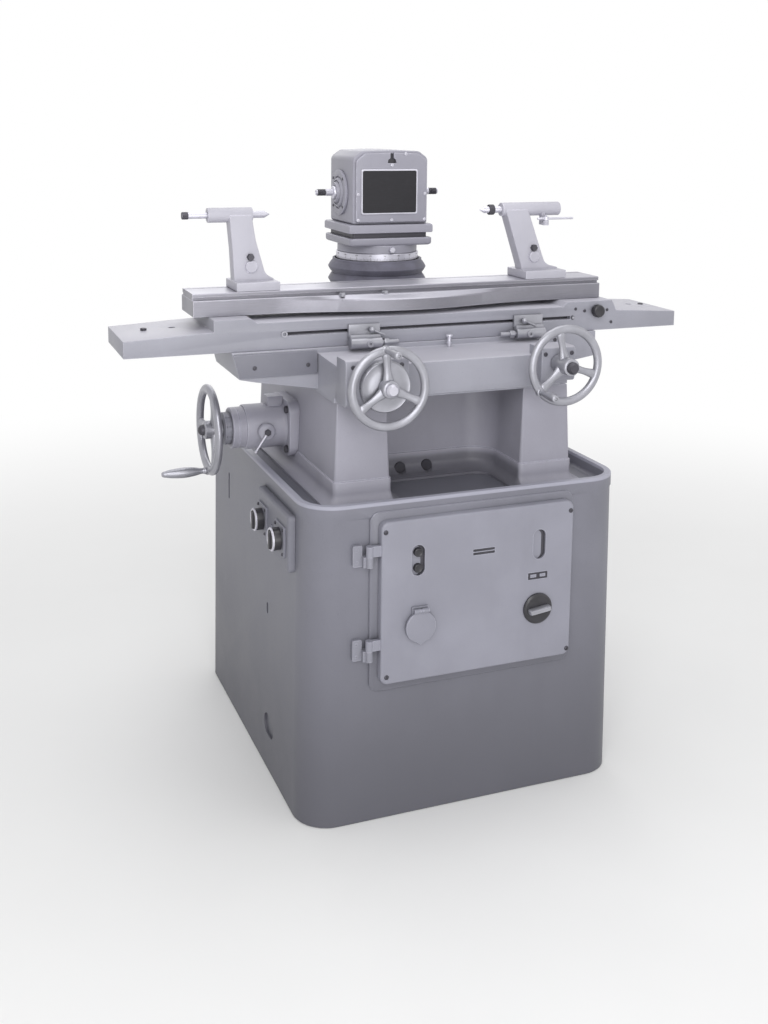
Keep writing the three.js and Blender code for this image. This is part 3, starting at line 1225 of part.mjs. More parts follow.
function buildLowerTable() {
  const body = plate('y', [
    [table.left, table.bottom], [table.right, table.bottom], [table.right, table.wingTip],
    [rightBlockTo + table.chamfer, table.wingRoot], [rightBlockTo, table.blockTop],
    [rightBlockFrom, table.blockTop],
    [rightBlockFrom - table.chamfer, table.top], [leftBlockTo + table.chamfer, table.top],
    [leftBlockTo, table.blockTop], [leftBlockFrom, table.blockTop], [leftBlockFrom, table.wingRoot],
    [table.left, table.wingTip],
  ], table.front, table.back);
  const frontSlot = box(
    table.slotLeft, table.slotRight, table.front - overrun, table.front + table.slotDepth,
    table.slotZ - table.slotHeight / 2, table.slotZ + table.slotHeight / 2,
  );
  const ribRoom = box(
    saddle.left - traverse.travelRight - table.spare, saddle.right + traverse.travelLeft + table.spare,
    dovetail.front - gap, dovetail.back + gap, table.bottom - overrun, dovetail.top + gap,
  );
  const rackSeat = box(rackRun.left - gap, rackRun.right + gap, traverse.rackFront - gap,
    traverse.rackBack + gap,
    table.bottom - overrun, rackTop);
  const holes = [table.left + table.holeInset, table.right - table.holeInset / 2].map((x) =>
    bar('z', table.holeRadius, table.bottom - overrun, table.top, [x, table.holeY, 0], smallSides));
  const stub = bar('z', pivot.radius, table.top - gap, topTable.bottom + pivot.height,
    [table.pivotX, pivot.y, 0]);
  const knobBore = bar('y', swivelKnob.shaft + runGap, table.front - overrun, table.front + swivelKnob.depth,
    [swivelKnob.x, 0, swivelKnob.z]);
  return cut(join(body, stub), frontSlot, ribRoom, rackSeat, knobBore, ...holes);
}
add(tableGroup, 'lower_table', buildLowerTable(), 'paint');

function buildRack() {
  const pitch = Math.PI * traverse.module;
  const first = Math.ceil((rackRun.left - traverse.x) / pitch);
  const last = Math.floor((rackRun.right - traverse.x) / pitch);
  const teeth = Array.from({ length: last - first }, (_, i) => traverse.x + pitch * (first + i + 1 / 2));
  const [[rootShare], [tipShare]] = flankShares;
  const outline = [
    [rackRun.right, rackTop - gap], [rackRun.left, rackTop - gap], [rackRun.left, rackPitchLine + dedend],
    ...teeth.flatMap((x) => [
      [x + pitch * rootShare, rackPitchLine + dedend], [x + pitch * tipShare, rackPitchLine - addend],
      [x - pitch * tipShare, rackPitchLine - addend], [x - pitch * rootShare, rackPitchLine + dedend],
    ]),
    [rackRun.right, rackPitchLine + dedend],
  ];
  return plate('y', outline, traverse.rackFront, traverse.rackBack);
}
add(tableGroup, 'table_rack', buildRack(), 'darkSteel');

// Stop dogs in the table's front slot, their screws facing the stop pin.
[['left_stop_dog', dog.leftX, 1], ['right_stop_dog', dog.rightX, -1]].forEach(([name, x, way]) => {
  const at = groupAt(tableGroup, x, table.front - gap, table.slotZ);
  const half = dog.width / 2;
  const face = box(-half, half, -dog.thickness, 0, -dog.plate / 2, dog.plate / 2);
  const key = box(-half + dog.edge, half - dog.edge, -dog.thickness / 2, table.slotDepth - gap,
    -table.slotHeight / 2 + gap, table.slotHeight / 2 - gap);
  const centre = [0, -dog.cylinderRadius - dog.edge, -dog.cylinderDrop];
  const cylinder = bar('x', dog.cylinderRadius, -half, half, centre, barSides);
  const bridge = box(-half, half, -dog.cylinderRadius - dog.edge, -dog.thickness / 2, -dog.cylinderDrop,
    -dog.plate / 2 + dog.edge);
  const [from, to] = way > 0 ? [half - gap, half + dog.screwLength] : [-half - dog.screwLength, -half + gap];
  const [nutFrom, nutTo] = way > 0 ? [half + dog.edge, half + dog.edge * 3] : [-half - dog.edge * 3,
    -half - dog.edge];
  const leverRod = bar('z', dog.lever, -dog.cylinderDrop, dog.leverTop, [way * half * dogShares.lever, centre[1], 0],
    smallSides);
  add(at, name, join(
    face, key, cylinder, bridge, bar('x', dog.screwRadius, from, to, centre, smallSides),
    bar('x', dog.screwRadius * dogShares.nut, nutFrom, nutTo, centre, smallSides),
    leverRod, ball(dog.lever * 2, [way * half * dogShares.lever, centre[1], dog.leverTop]),
  ), 'groundSteel');
});

const knobGroup = groupAt(tableGroup, swivelKnob.x, table.front - gap, swivelKnob.z);
add(knobGroup, 'swivel_knob', turned('y', [
  [0, -swivelKnob.length], [swivelKnob.radius * rimShare, -swivelKnob.length],
  [swivelKnob.radius, -swivelKnob.length * rimShare], [swivelKnob.radius, -swivelKnob.length / 4],
  [swivelKnob.radius * neckShare, 0], [swivelKnob.shaft, 0], [swivelKnob.shaft, swivelKnob.depth - gap],
  [0, swivelKnob.depth - gap],
]), 'blackPlastic');

// Upper table, which swivels on the lower table's stub; drawn from its own underside at the pivot.
const topTableBottom = table.blockTop + gap;
const swivelGroup = groupAt(tableGroup, 0, 0, 0);
function buildUpperTable() {
  const [left, right] = [topTable.x - topTable.length / 2, topTable.x + topTable.length / 2];
  const outline = (bulge) => {
    const steps = cornerSteps * 3;
    const front = Array.from({ length: steps + 1 }, (_, i) => {
      const share = (2 * i) / steps - 1;
      return [topTable.x + topTable.bulgeHalf * share,
        topTable.front - bulge * (1 + Math.cos(Math.PI * share)) / 2];
    });
    return [[left, topTable.front], ...front, [right, topTable.front], [right, topTable.back],
      [left, topTable.back]];
  };
  const body = stack('z', [
    [outline(topTable.bulge), topTableBottom], [outline(topTable.bulge), topTable.top - topTable.ledge],
    [outline(topTable.bulge * ledgeShare), topTable.top],
  ]);
  const neck = box(left, right, topTable.railFront + topTable.undercut,
    topTable.railBack - topTable.undercut, topTable.top - gap, topTable.railBottom + gap);
  const rail = box(left, right, topTable.railFront, topTable.railBack, topTable.railBottom, topTable.railTop);
  const groove = box(left - overrun, right + overrun, topTable.grooveY,
    topTable.grooveY + topTable.grooveWidth,
    topTable.railTop - topTable.grooveDepth, topTable.railTop + overrun);
  const bore = bar('z', pivot.radius + 2 * runGap, topTableBottom - overrun,
    topTable.bottom + pivot.height + gap * 2, [table.pivotX, pivot.y, 0]);
  return cut(join(body, neck, rail), groove, bore);
}
add(swivelGroup, 'swivel_table', buildUpperTable(), 'groundSteel');

// Left tailstock with its sliding centre.
const railTop = topTable.railTop + gap;
const rise = workLine.z - railTop;

function tailColumn(corners) {
  return plate('y', filleted(corners, 3), -tail.columnWidth / 2, tail.columnWidth / 2);
}

function tailFoot(x0, x1, bolt) {
  const foot = box(x0, x1, -tail.footWidth / 2, tail.footWidth / 2, 0, tail.footHeight);
  const boltHead = bar('y', tail.boltRadius, -tail.columnWidth / 2 - tail.boltHeight, -gap,
    [bolt, 0, tail.boltZ], 6);
  return join(foot, boltHead);
}
const leftTail = groupAt(swivelGroup, leftStock.x, workLine.y, railTop);
function buildLeftTailstock() {
  const { footLeft, footRight, columnLeft, columnRight, neckRight, barrelLeft, barrelRadius,
    bolt } = leftStock;
  const body = tailColumn([
    [columnLeft, tail.footHeight / 2], [footRight - tail.toe, tail.footHeight / 2],
    [footRight - tail.toe, tail.footHeight, tail.toe / 2],
    [columnRight, tail.kneeZ, tail.toe], [neckRight, rise, tail.edge], [columnLeft, rise, tail.edge],
  ]);
  const barrel = bar('x', barrelRadius, barrelLeft, neckRight + tail.edge, [0, 0, rise]);
  const bore = bar('x', spike.radius + runGap, barrelLeft - overrun, neckRight + tail.edge + overrun,
    [0, 0, rise], smallSides);
  return cut(join(tailFoot(footLeft, footRight, bolt), body, barrel), bore);
}
add(leftTail, 'left_tailstock', buildLeftTailstock(), 'paint');
const leftCentreGroup = groupAt(leftTail, 0, 0, rise);
add(leftCentreGroup, 'left_centre', turned('x', [
  [0, leftStock.knobLeft], [spike.knobRadius, leftStock.knobLeft],
  [spike.knobRadius, leftStock.knobLeft + spike.knobLength],
  [spike.rod, leftStock.knobLeft + spike.knobLength], [spike.rod, leftStock.barrelLeft + gap],
  [spike.radius, leftStock.barrelLeft + gap], [spike.radius, leftStock.tip - spike.point],
  [0, leftStock.tip],
], [0, 0, 0], smallSides), 'brightSteel');

// Right tailstock with its sprung centre and the small lever that draws it back.
const rightTail = groupAt(swivelGroup, rightStock.x, workLine.y, railTop);
function buildRightTailstock() {
  const { footLeft, footRight, columnLeft, neckLeft, neckRight, kneeRight, toeZ, barrelLeft, barrelRight,
    barrelRadius, bolt } = rightStock;
  const body = tailColumn([
    [columnLeft, tail.footHeight / 2], [footRight - tail.edge, tail.footHeight / 2],
    [footRight - tail.edge, toeZ, tail.toe / 2],
    [kneeRight, tail.kneeZ, tail.toe], [neckRight, rise, tail.edge], [neckLeft, rise, tail.edge],
    [columnLeft, tail.footHeight, tail.toe],
  ]);
  const barrel = bar('x', barrelRadius, barrelLeft, barrelRight, [0, 0, rise]);
  const lug = join(
    bar('z', quill.lug, quill.bottom, quill.seat, [quill.x, -quill.forward, 0], smallSides),
    box(quill.x - quill.lug / 2, quill.x + quill.lug / 2, -quill.forward, 0, quill.bottom, quill.seat),
    box(quill.x - quill.lug / 2, quill.x + quill.lug / 2, -quill.lug * 2, 0, quill.bottom, rise),
    bar('z', quill.pin, quill.bottom, quill.top, [quill.x, -quill.forward, 0], smallSides),
  );
  const bore = bar('x', spike.radius + runGap, barrelLeft - overrun, barrelRight + overrun, [0, 0, rise],
    smallSides);
  return cut(join(tailFoot(footLeft, footRight, bolt), body, barrel, lug), bore);
}
add(rightTail, 'right_tailstock', buildRightTailstock(), 'paint');
const rightCentreGroup = groupAt(rightTail, 0, 0, rise);
add(rightCentreGroup, 'right_centre', turned('x', [
  [0, rightStock.tip], [spike.radius, rightStock.tip + spike.point], [spike.radius, rightStock.collarLeft],
  [spike.collar, rightStock.collarLeft], [spike.collar, rightStock.collarRight],
  [spike.radius, rightStock.collarRight], [spike.radius, rightStock.barrelRight - tail.edge],
  [0, rightStock.barrelRight - tail.edge],
], [0, 0, 0], smallSides), 'brightSteel');

const quillGroup = groupAt(rightTail, quill.x, -quill.forward, quill.seat + gap);
add(quillGroup, 'right_quill_lever', cut(
  join(
    bar('z', quill.lug, 0, quill.hub, [0, 0, 0], smallSides),
    bar('x', quill.rod, -quill.tail, quill.reach, [0, 0, quill.hub / 2], smallSides),
  ),
  bar('z', quill.pin + runGap, -overrun, quill.hub + overrun, [0, 0, 0], smallSides),
), 'brightSteel');

export default machine;
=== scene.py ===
import json
import math
from functools import cache
from types import SimpleNamespace as Size

import bmesh
import bpy
from mathutils import Matrix, Vector

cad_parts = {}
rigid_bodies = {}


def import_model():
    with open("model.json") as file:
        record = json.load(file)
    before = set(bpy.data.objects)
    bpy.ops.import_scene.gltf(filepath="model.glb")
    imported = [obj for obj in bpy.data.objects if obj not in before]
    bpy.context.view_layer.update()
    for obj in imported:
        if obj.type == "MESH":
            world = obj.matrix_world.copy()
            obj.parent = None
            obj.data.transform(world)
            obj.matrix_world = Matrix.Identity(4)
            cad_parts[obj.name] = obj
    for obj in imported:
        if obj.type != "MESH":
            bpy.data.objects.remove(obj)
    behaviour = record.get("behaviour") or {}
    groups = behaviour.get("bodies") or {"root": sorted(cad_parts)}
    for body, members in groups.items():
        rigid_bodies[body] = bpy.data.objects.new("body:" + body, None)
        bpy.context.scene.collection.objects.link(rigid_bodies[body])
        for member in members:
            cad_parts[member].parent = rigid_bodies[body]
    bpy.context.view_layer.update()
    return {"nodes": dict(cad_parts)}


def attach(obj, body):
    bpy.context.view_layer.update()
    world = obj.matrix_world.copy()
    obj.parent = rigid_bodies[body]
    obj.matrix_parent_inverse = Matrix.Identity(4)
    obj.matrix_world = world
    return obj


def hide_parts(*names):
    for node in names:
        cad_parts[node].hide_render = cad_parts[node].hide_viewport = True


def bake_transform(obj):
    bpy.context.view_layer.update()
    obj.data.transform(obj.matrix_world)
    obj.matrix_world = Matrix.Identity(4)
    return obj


bl_info = {
    "name": "Universal grinding machine",
    "version": (1, 0, 0),
    "blender": (4, 5, 0),
    "location": "3D Viewport > Sidebar > Grinder",
    "description": "Dresses the packed grinding machine with rounded castings, dials, screws and finishes",
    "category": "Object",
}

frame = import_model()

# All sizes below are in millimetres, as the machine's drawing has them.
MM = 0.001
GAP = 0.3
OVERRUN = 3.0
WELD = 0.004
FINE = 96
ROUND = 48
SMALL = 24
CORNER = 10
ORIGIN = (0, 0, 0)

BASE = Size(
    height=640, depth=780, rim_width=668, foot_width=686, radius=70, wall=9, floor=12, deck=10,
    tray=28, rim=13, partition_front=-235, partition=10, lip=2,
)
DECK_HOLE = Size(left=-195, right=105, front=-62, back=235, radius=20)
# The cabinet's shallow side recesses: side, y, z, width and height.
RECESSES = ((-1, -130, 351, 12, 24), (-1, 195, 516, 10, 62), (-1, -146, 100, 67, 44), (1, -146, 100, 67, 44))
RECESS_DEPTH = 5
DOOR = Size(width=406, height=320, x=5, z=448, thickness=18, radius=15, edge=4, skin=6, side=7)
SURROUND = Size(reach=(16, 8, 20, 15), proud=6, radius=20, inset=22, edge=2)
HINGE = Size(offset=21, radius=7, pin=3.4, height=41, upper_z=543, lower_z=358, leaf=8)
SLOT = Size(x=-124, z=527, width=27, height=60, sink=5, lamp_x=133)
BUTTON = Size(radius=8.5, proud=5, flange=2, flange_radius=11, spacing=31, stem=13)
MAIN_SWITCH = Size(x=132, z=396, radius=31, thickness=6, bar_width=12, bar_height=18, shaft=6)
SOCKET = Size(x=-120, z=393, width=62, flange=5, body_radius=24, depth=12, wall=3.5)
FLAP = Size(thickness=4, barrel=4.5, tab=5, width=62, radius=30.5, centre=4.5, top=35, boss=15)
PANEL = Size(y=-208, z=549, width=216, height=112, thickness=13, bevel=6, radius=8)
GUIDE = Size(width=28, undercut=4, height=14, front=-280, back=-42, left=-228, right=176)
KNOB = Size(
    plate=62, plate_thickness=4, radius=22, height=18, grip_width=9, grip_height=3.5, shaft=5,
    spacing=123, bore=9, corner=4, bevel=3, lamp=8,
)
PEDESTAL = Size(
    half_width=255, front=-310, back=250, height=203, wall=12, top=16, radius=34, draft=7,
    pocket_half=141, pocket_back=-155, pocket_radius=55, flare=20, lip=5, ledge=3,
    ledge_height=48, drain_radius=12, drain_height=18, drain_spacing=60, drain_x=-30,
)
LIFT = Size(
    y=-10, height=93.7, stand=2, flange=16, flange_width=133, flange_height=118, flange_radius=25,
    body=84, body_radius=47, ring=28, ring_radius=43, dial=15, dial_radius=34, bore=12, shaft=9,
    bolt_radius=8, bolt_height=6, bolt_inset=17, block=34, block_height=64,
)
LIFT_WHEEL = Size(radius=95, rim=8, hub=19, hub_front=12, hub_back=26.4, spoke=8, dish=8, spoke_angle=0.5)
LIFT_LEVER = Size(
    x=46, radius=18, thickness=9, length=46.2, rod=4.5, boss=15, stand=5, pin=5, depth=12, angle=-2.55,
)
SCREW = Size(x=-150, journal=8)
WEB = Size(thickness=18, width=60, drop=38, reach=32)
COLUMN = Size(y=140, radius=65, bore=50, top=1052)
SLEEVE = Size(radius=96, flange=13, flange_radius=114, drop=45, top=970, cap_radius=105, cap=5)
BELLOWS = Size(tip=111, valley=101, folds=2, fold_steps=24, collar=5, wall=5, sharp=0.7)
RING = Size(radius=93, height=16, bottom=1036)
HEAD = Size(
    neck_radius=90, neck=18, flange_half=97, lower=17, groove=11, groove_inset=10, upper=19,
    upper_half=99, front=50, back=222, cut=7, box_half=88, box_front=60, box_back=216, box_top=1279,
    shoulder=21, bolt_radius=7, spigot=30, edge=4, foot=5,
)
SPINDLE_Z = 1184
MOTOR = Size(
    stator_radius=62, stator_length=100, bearing_radius=31, shaft=15, shaft_end=146, nose=9,
    nose_length=22, end_space=12,
)
CAP = Size(radius=50, neck=24, reach=15.12, screws=43.5, screw_face=6)
COVER = Size(margin=5, thickness=8, screw_inset=10, notch_width=22, notch_height=23, bevel=2)
PLATE = Size(left=-72, right=60, bottom=1140, top=1238, thickness=2.5, radius=4)
PIN = Size(x=19, y=-222, radius=4, height=24, head_radius=7, head_height=4, depth=8)
SADDLE = Size(front=-337, wing_front=-210, bracket_front=-375, deck_front=889, deck_back=894)
FEED = Size(x=-181, z=858, wheel_y=-400, screw=9)
TRAVERSE = Size(x=184, z=878, wheel_y=-404, shaft=10, hub_front=26)
WHEEL = Size(radius=80, rim=7, hub=17, hub_front=14, spoke=7, dish=2, cross_angle=-0.09, table_angle=-2.3)
DIAL = Size(radius=49, thickness=13)
HANDLE = Size(radius=8, length=56, bore=3)
LIFT_HANDLE = Size(radius=11, length=92, bore=3.5)
TABLE = Size(
    front=-204, slot_left=-317, slot_right=308, slot_z=934, slot_height=7, slot_depth=12, block_top=967.5,
    hole_y=-105, pivot_x=-38,
)
DOG = Size(
    left_x=-160, right_x=204, width=66, plate=25, thickness=8, cylinder=11, drop=24, screw=5,
    screw_length=36, edge=5, lever=3, lever_top=2,
)
UPPER = Size(
    x=-45, length=890, bottom=968, top=1000, front=-165, bulge=40, bulge_half=290, ledge=8,
    rail_front=-160, rail_back=-68, rail_bottom=1005, rail_top=1013, undercut=5, back=-60,
    groove_y=-86, groove_width=4, groove_depth=4, bulge_share=0.45,
)
PIVOT = Size(radius=20, height=8, y=-115)
CENTRE_LINE = Size(z=1159, y=-115)
SWIVEL_KNOB = Size(x=369, z=947, radius=13.5, length=18, shaft=4, depth=20)
TAIL = Size(column_width=32, foot_width=88, foot_height=17, bolt_radius=9, bolt_height=9, bolt_z=54, edge=5)
LEFT_STOCK = Size(
    x=-360, foot_left=-43, foot_right=44, column_left=-41, column_right=18, neck_right=-6,
    barrel_left=-90, barrel=14.5, bolt=-7, knob_left=-139, tip=36,
)
RIGHT_STOCK = Size(
    x=280, foot_left=-56, foot_right=40, column_left=-52, neck_left=-93, neck_right=-41, knee_right=4,
    barrel_left=-98, barrel_right=40, barrel=14.5, bolt=-24, tip=-149, collar_left=-127,
    collar_right=-115,
)
CENTRE = Size(radius=7, rod=6.2, knob_radius=7.2, knob_length=12, point=12, collar=11)
QUILL = Size(
    x=-2, forward=24, bottom=112, seat=122, top=134, lug=6.5, pin=2.6, hub=8, rod=2.5, tail=20, reach=66,
)

# Outlines of the revolving handles: radius and length shares, from the wheel outwards.
GRIP_SHARES = [
    (0.62, 0), (0.8, 0), (0.76, 0.05), (0.66, 0.12), (0.72, 0.22), (0.82, 0.36), (0.92, 0.52),
    (0.99, 0.68), (1, 0.8), (0.94, 0.92), (0.8, 0.98), (0.5, 1),
]
SPINDLE_SHARES = [
    (0.55, 0), (0.7, 0), (0.68, 0.03), (0.55, 0.07), (0.6, 0.14), (0.78, 0.24), (0.94, 0.38), (1, 0.5),
    (0.96, 0.62), (0.85, 0.76), (0.72, 0.86), (0.6, 0.92), (0.55, 0.96), (0.35, 1),
]

TRAY_FLOOR = BASE.height - BASE.tray
FRONT = -BASE.depth / 2
DOOR_BACK = FRONT - SURROUND.proud - GAP
DOOR_FRONT = DOOR_BACK - DOOR.thickness
SKIN_BACK = DOOR_FRONT + DOOR.skin
PEDESTAL_FOOT = TRAY_FLOOR + GAP
PEDESTAL_TOP = PEDESTAL_FOOT + PEDESTAL.height
LIFT_Z = TRAY_FLOOR + LIFT.height
DOOR_SCREWS = [(x, DOOR_FRONT, z) for x, z in ((-190, 589), (201, 588), (-186, 303), (201, 301))]
# The door's rounded front edge: inset and depth, as shares of its size.
CROWN_SHARES = ((1, 0), (0.62, 0.08), (0.3, 0.275), (0.08, 0.6), (0, 1))
# The strokes of the door's label slots: left, right, bottom and top.
LABEL_SLOTS = (
    (-10, 36, 528.6, 533.6), (-10, 36, 522, 527), (110, 153, 466, 470), (110, 153, 456, 460),
    (110, 115, 459, 467), (148, 153, 459, 467), (128, 136, 459, 467),
)


# Meshes


def closed(vertices, faces):
    """A closed mesh with its doubles merged and its faces outwards."""
    mesh = bpy.data.meshes.new("shape")
    mesh.from_pydata([tuple(map(float, v)) for v in vertices], [], faces)
    return cleaned(mesh)


def cleaned(mesh, flat=None):
    """The mesh with its doubles merged, its flat faces made whole if asked and its faces outwards."""
    work = bmesh.new()
    work.from_mesh(mesh)
    bmesh.ops.remove_doubles(work, verts=work.verts, dist=WELD)
    if flat is None:
        bmesh.ops.dissolve_degenerate(work, edges=work.edges, dist=WELD)
    else:
        bmesh.ops.dissolve_limit(work, angle_limit=flat, verts=work.verts, edges=work.edges)
    bmesh.ops.recalc_face_normals(work, faces=work.faces)
    work.to_mesh(mesh)
    work.free()
    return mesh


ACROSS = {
    "x": lambda u, v, along: (along, u, v),
    "y": lambda u, v, along: (u, along, v),
    "z": lambda u, v, along: (u, v, along),
}


def stack(axis, sections):
    """A body through a row of outlines, each with its place along the axis."""
    count = len(sections[0][0])
    vertices = [ACROSS[axis](u, v, along) for ring, along in sections for u, v in ring]
    faces = [list(range(count))[::-1], [len(vertices) - count + i for i in range(count)]]
    for level in range(len(sections) - 1):
        for i in range(count):
            a, b = level * count + i, level * count + (i + 1) % count
            faces.append([a, b, b + count, a + count])
    return closed(vertices, faces)


def slab(axis, outline, levels):
    """A body through one outline at several levels of (inset, place along the axis)."""
    return stack(axis, [(outline(inset), along) for inset, along in levels])


def plate(axis, ring, start, end):
    return stack(axis, [(ring, start), (ring, end)])


def turned(axis, profile, at=ORIGIN, sides=ROUND):
    """A turned body: its profile is a row of (radius, place along the axis) and may close on itself."""
    ring_profile = profile[0] == profile[-1]
    points = profile[:-1] if ring_profile else profile
    vertices = []
    for i in range(sides):
        angle = 2 * math.pi * i / sides
        for radius, along in points:
            corner = ACROSS[axis](radius * math.cos(angle), radius * math.sin(angle), along)
            vertices.append(tuple(c + a for c, a in zip(corner, at)))
    count = len(points)
    faces = [
        [i * count + j, i * count + (j + 1) % count, (i + 1) % sides * count + (j + 1) % count,
         (i + 1) % sides * count + j]
        for i in range(sides) for j in range(count if ring_profile else count - 1)
    ]
    return closed(vertices, faces)


def eased(radius, start, end, ease):
    """A bar's side from end to end, each rim eased by its own amount or left sharp."""
    first, last = ease
    side = [(radius - first, start), (radius, start + first), (radius, end - last), (radius - last, end)]
    return side[not first:4 - (not last)]


def bar(axis, radius, start, end, at=ORIGIN, sides=ROUND, ease=(0, 0)):
    return turned(axis, [(0, start), *eased(radius, start, end, ease), (0, end)], at, sides)


def tube(axis, outer, inner, start, end, at=ORIGIN, sides=ROUND, ease=(0, 0)):
    side = eased(outer, start, end, ease)
    return turned(axis, [(inner, start), *side, (inner, end), (inner, start)], at, sides)


def block(x0, x1, y0, y1, z0, z1):
    return plate("z", [(x0, y0), (x1, y0), (x1, y1), (x0, y1)], z0, z1)


def ball(radius, at, sides=SMALL):
    steps = sides // 2
    angles = [math.pi * i / steps for i in range(steps + 1)]
    profile = [(radius * math.sin(a), -radius * math.cos(a)) for a in angles[1:-1]]
    return turned("z", [(0, -radius), *profile, (0, radius)], at, sides)


def filleted(corners, steps=CORNER):
    """An outline whose corners (u, v, radius) are rounded."""
    points = []
    for i, (u, v, *radius) in enumerate(corners):
        if not radius or not radius[0]:
            points.append((u, v))
            continue
        corner = Vector((u, v))
        before = (Vector(corners[i - 1][:2]) - corner).normalized()
        after = (Vector(corners[(i + 1) % len(corners)][:2]) - corner).normalized()
        half = before.angle(after) / 2
        middle = corner + (before + after).normalized() * (radius[0] / math.sin(half))
        back = radius[0] / math.tan(half)
        start, end = corner + before * back - middle, corner + after * back - middle
        first = math.atan2(start.y, start.x)
        sweep = (math.atan2(end.y, end.x) - first + math.pi) % (2 * math.pi) - math.pi
        for k in range(steps + 1):
            angle = first + sweep * k / steps
            points.append((middle.x + radius[0] * math.cos(angle), middle.y + radius[0] * math.sin(angle)))
    return points


def rounded(u0, u1, v0, v1, radius):
    return filleted([(u0, v0, radius), (u1, v0, radius), (u1, v1, radius), (u0, v1, radius)])


def boxed(u, v, wide, high, radius, share=0):
    """A rounded box round (u, v) at any inset, of which its corners lose a share."""
    def outline(inset=0):
        a, b = wide / 2 - inset, high / 2 - inset
        return rounded(u - a, u + a, v - b, v + b, radius - share * inset)

    return outline


def circle(u, v, radius, sides=SMALL, squeeze=1.0):
    angles = [2 * math.pi * i / sides for i in range(sides)]
    return [(u + radius * math.cos(a), v + squeeze * radius * math.sin(a)) for a in angles]


def hung(data):
    """A mesh or a curve as an object in the scene, to work on."""
    thing = bpy.data.objects.new("work", data)
    bpy.context.scene.collection.objects.link(thing)
    return thing


def settled(thing):
    """The mesh of an object with its modifiers applied; the object goes."""
    graph = bpy.context.evaluated_depsgraph_get()
    mesh = bpy.data.meshes.new_from_object(thing.evaluated_get(graph))
    bpy.data.objects.remove(thing)
    return mesh


def combined(operation, first, others):
    body = hung(first)
    tools = [hung(other) for other in others]
    for tool in tools:
        modifier = body.modifiers.new("combine", "BOOLEAN")
        modifier.operation = operation
        modifier.solver = "MANIFOLD"
        modifier.object = tool
    mesh = settled(body)
    for tool in tools:
        bpy.data.objects.remove(tool)
    return mesh


def join(first, *others):
    return combined("UNION", first, others)


def cut(first, *others):
    return combined("DIFFERENCE", first, others)


def moved(mesh, *steps):
    """A copy of a mesh, moved by each matrix in turn."""
    copy = mesh.copy()
    for step in steps:
        copy.transform(step)
    return copy


def shift(x, y, z):
    return Matrix.Translation((x, y, z))


def turn(axis, angle):
    return Matrix.Rotation(angle, 4, axis.upper())


FACING = turn("x", math.pi / 2)


def gathered(*meshes):
    """Several meshes in one, each left as it is."""
    work = bmesh.new()
    for mesh in meshes:
        work.from_mesh(mesh)
    whole = bpy.data.meshes.new("shape")
    work.to_mesh(whole)
    work.free()
    return whole


def bevelled(mesh, width, segments=3, angle=32):
    """A mesh whose sharp edges are rounded."""
    thing = hung(mesh)
    modifier = thing.modifiers.new("round edges", "BEVEL")
    modifier.width = width
    modifier.segments = segments
    modifier.limit_method = "ANGLE"
    modifier.angle_limit = math.radians(angle)
    modifier.miter_outer = "MITER_ARC"
    return settled(thing)


def piece(name, mesh, body, finish, node=None, edge=0, smooth=35):
    """A finished piece: sized to metres, shaded, painted, riding on its body and in its node's place."""
    if edge:
        mesh = bevelled(mesh, edge)
    mesh.transform(Matrix.Scale(MM, 4))
    mesh.shade_smooth()
    mesh.set_sharp_from_angle(angle=math.radians(smooth))
    mesh.name = name
    mesh.materials.clear()
    mesh.materials.append(material(finish))
    thing = bpy.data.objects.new(name, mesh)
    bpy.context.scene.collection.objects.link(thing)
    if node:
        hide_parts(node)
    if body:
        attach(thing, body)
    return thing


def drawn(node):
    """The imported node's own mesh as a merged copy, in millimetres, with its flat faces made whole."""
    mesh = frame["nodes"][node].data.copy()
    mesh.transform(Matrix.Scale(1 / MM, 4))
    return cleaned(mesh, math.radians(0.5))


# Materials


class Value:
    """A node socket whose Python arithmetic adds Math nodes."""

    def __init__(self, owner, socket):
        self.owner = owner
        self.socket = socket

    def maths(self, operation, *values):
        return self.owner.node("ShaderNodeMath", {"operation": operation}, dict(enumerate(values)))

    def __add__(self, other):
        return self.maths("ADD", self, other)

    __radd__ = __add__

    def __sub__(self, other):
        return self.maths("SUBTRACT", self, other)

    def __rsub__(self, other):
        return self.maths("SUBTRACT", other, self)

    def __mul__(self, other):
        return self.maths("MULTIPLY", self, other)

    __rmul__ = __mul__

    def __truediv__(self, other):
        return self.maths("DIVIDE", self, other)

    def __abs__(self):
        return self.maths("ABSOLUTE", self)

    def clear_of(self, low, high):
        """0 below low, 1 above high and a smooth step between."""
        inputs = {"Value": self, "From Min": low, "From Max": high}
        return self.owner.node("ShaderNodeMapRange", {"interpolation_type": "SMOOTHSTEP"}, inputs)


class Nodes:
    """A node tree and the one method that adds its nodes."""

    def __init__(self, tree):
        self.tree = tree

    def put(self, socket, value):
        """Links a value to a socket, or sets it there; a colour gets its alpha."""
        if isinstance(value, Value):
            self.tree.links.new(value.socket, socket)
        else:
            colour = socket.type == "RGBA" and len(value) == 3
            socket.default_value = (*value, 1) if colour else value

    def node(self, kind, settings=None, inputs=None, output=0):
        made = self.tree.nodes.new(kind)
        for name, setting in (settings or {}).items():
            setattr(made, name, setting)
        for name, value in (inputs or {}).items():
            self.put(made.inputs[name], value)
        return Value(self, made.outputs[output]) if made.outputs else None

    def seen_directly(self):
        """1 for what the camera, metal or glass see, 0 for what lights the machine."""
        seen = self.node("ShaderNodeLightPath", output="Is Camera Ray")
        for name in ("Is Glossy Ray", "Is Transmission Ray"):
            seen = seen.maths("MAXIMUM", seen, self.node("ShaderNodeLightPath", output=name))
        return seen


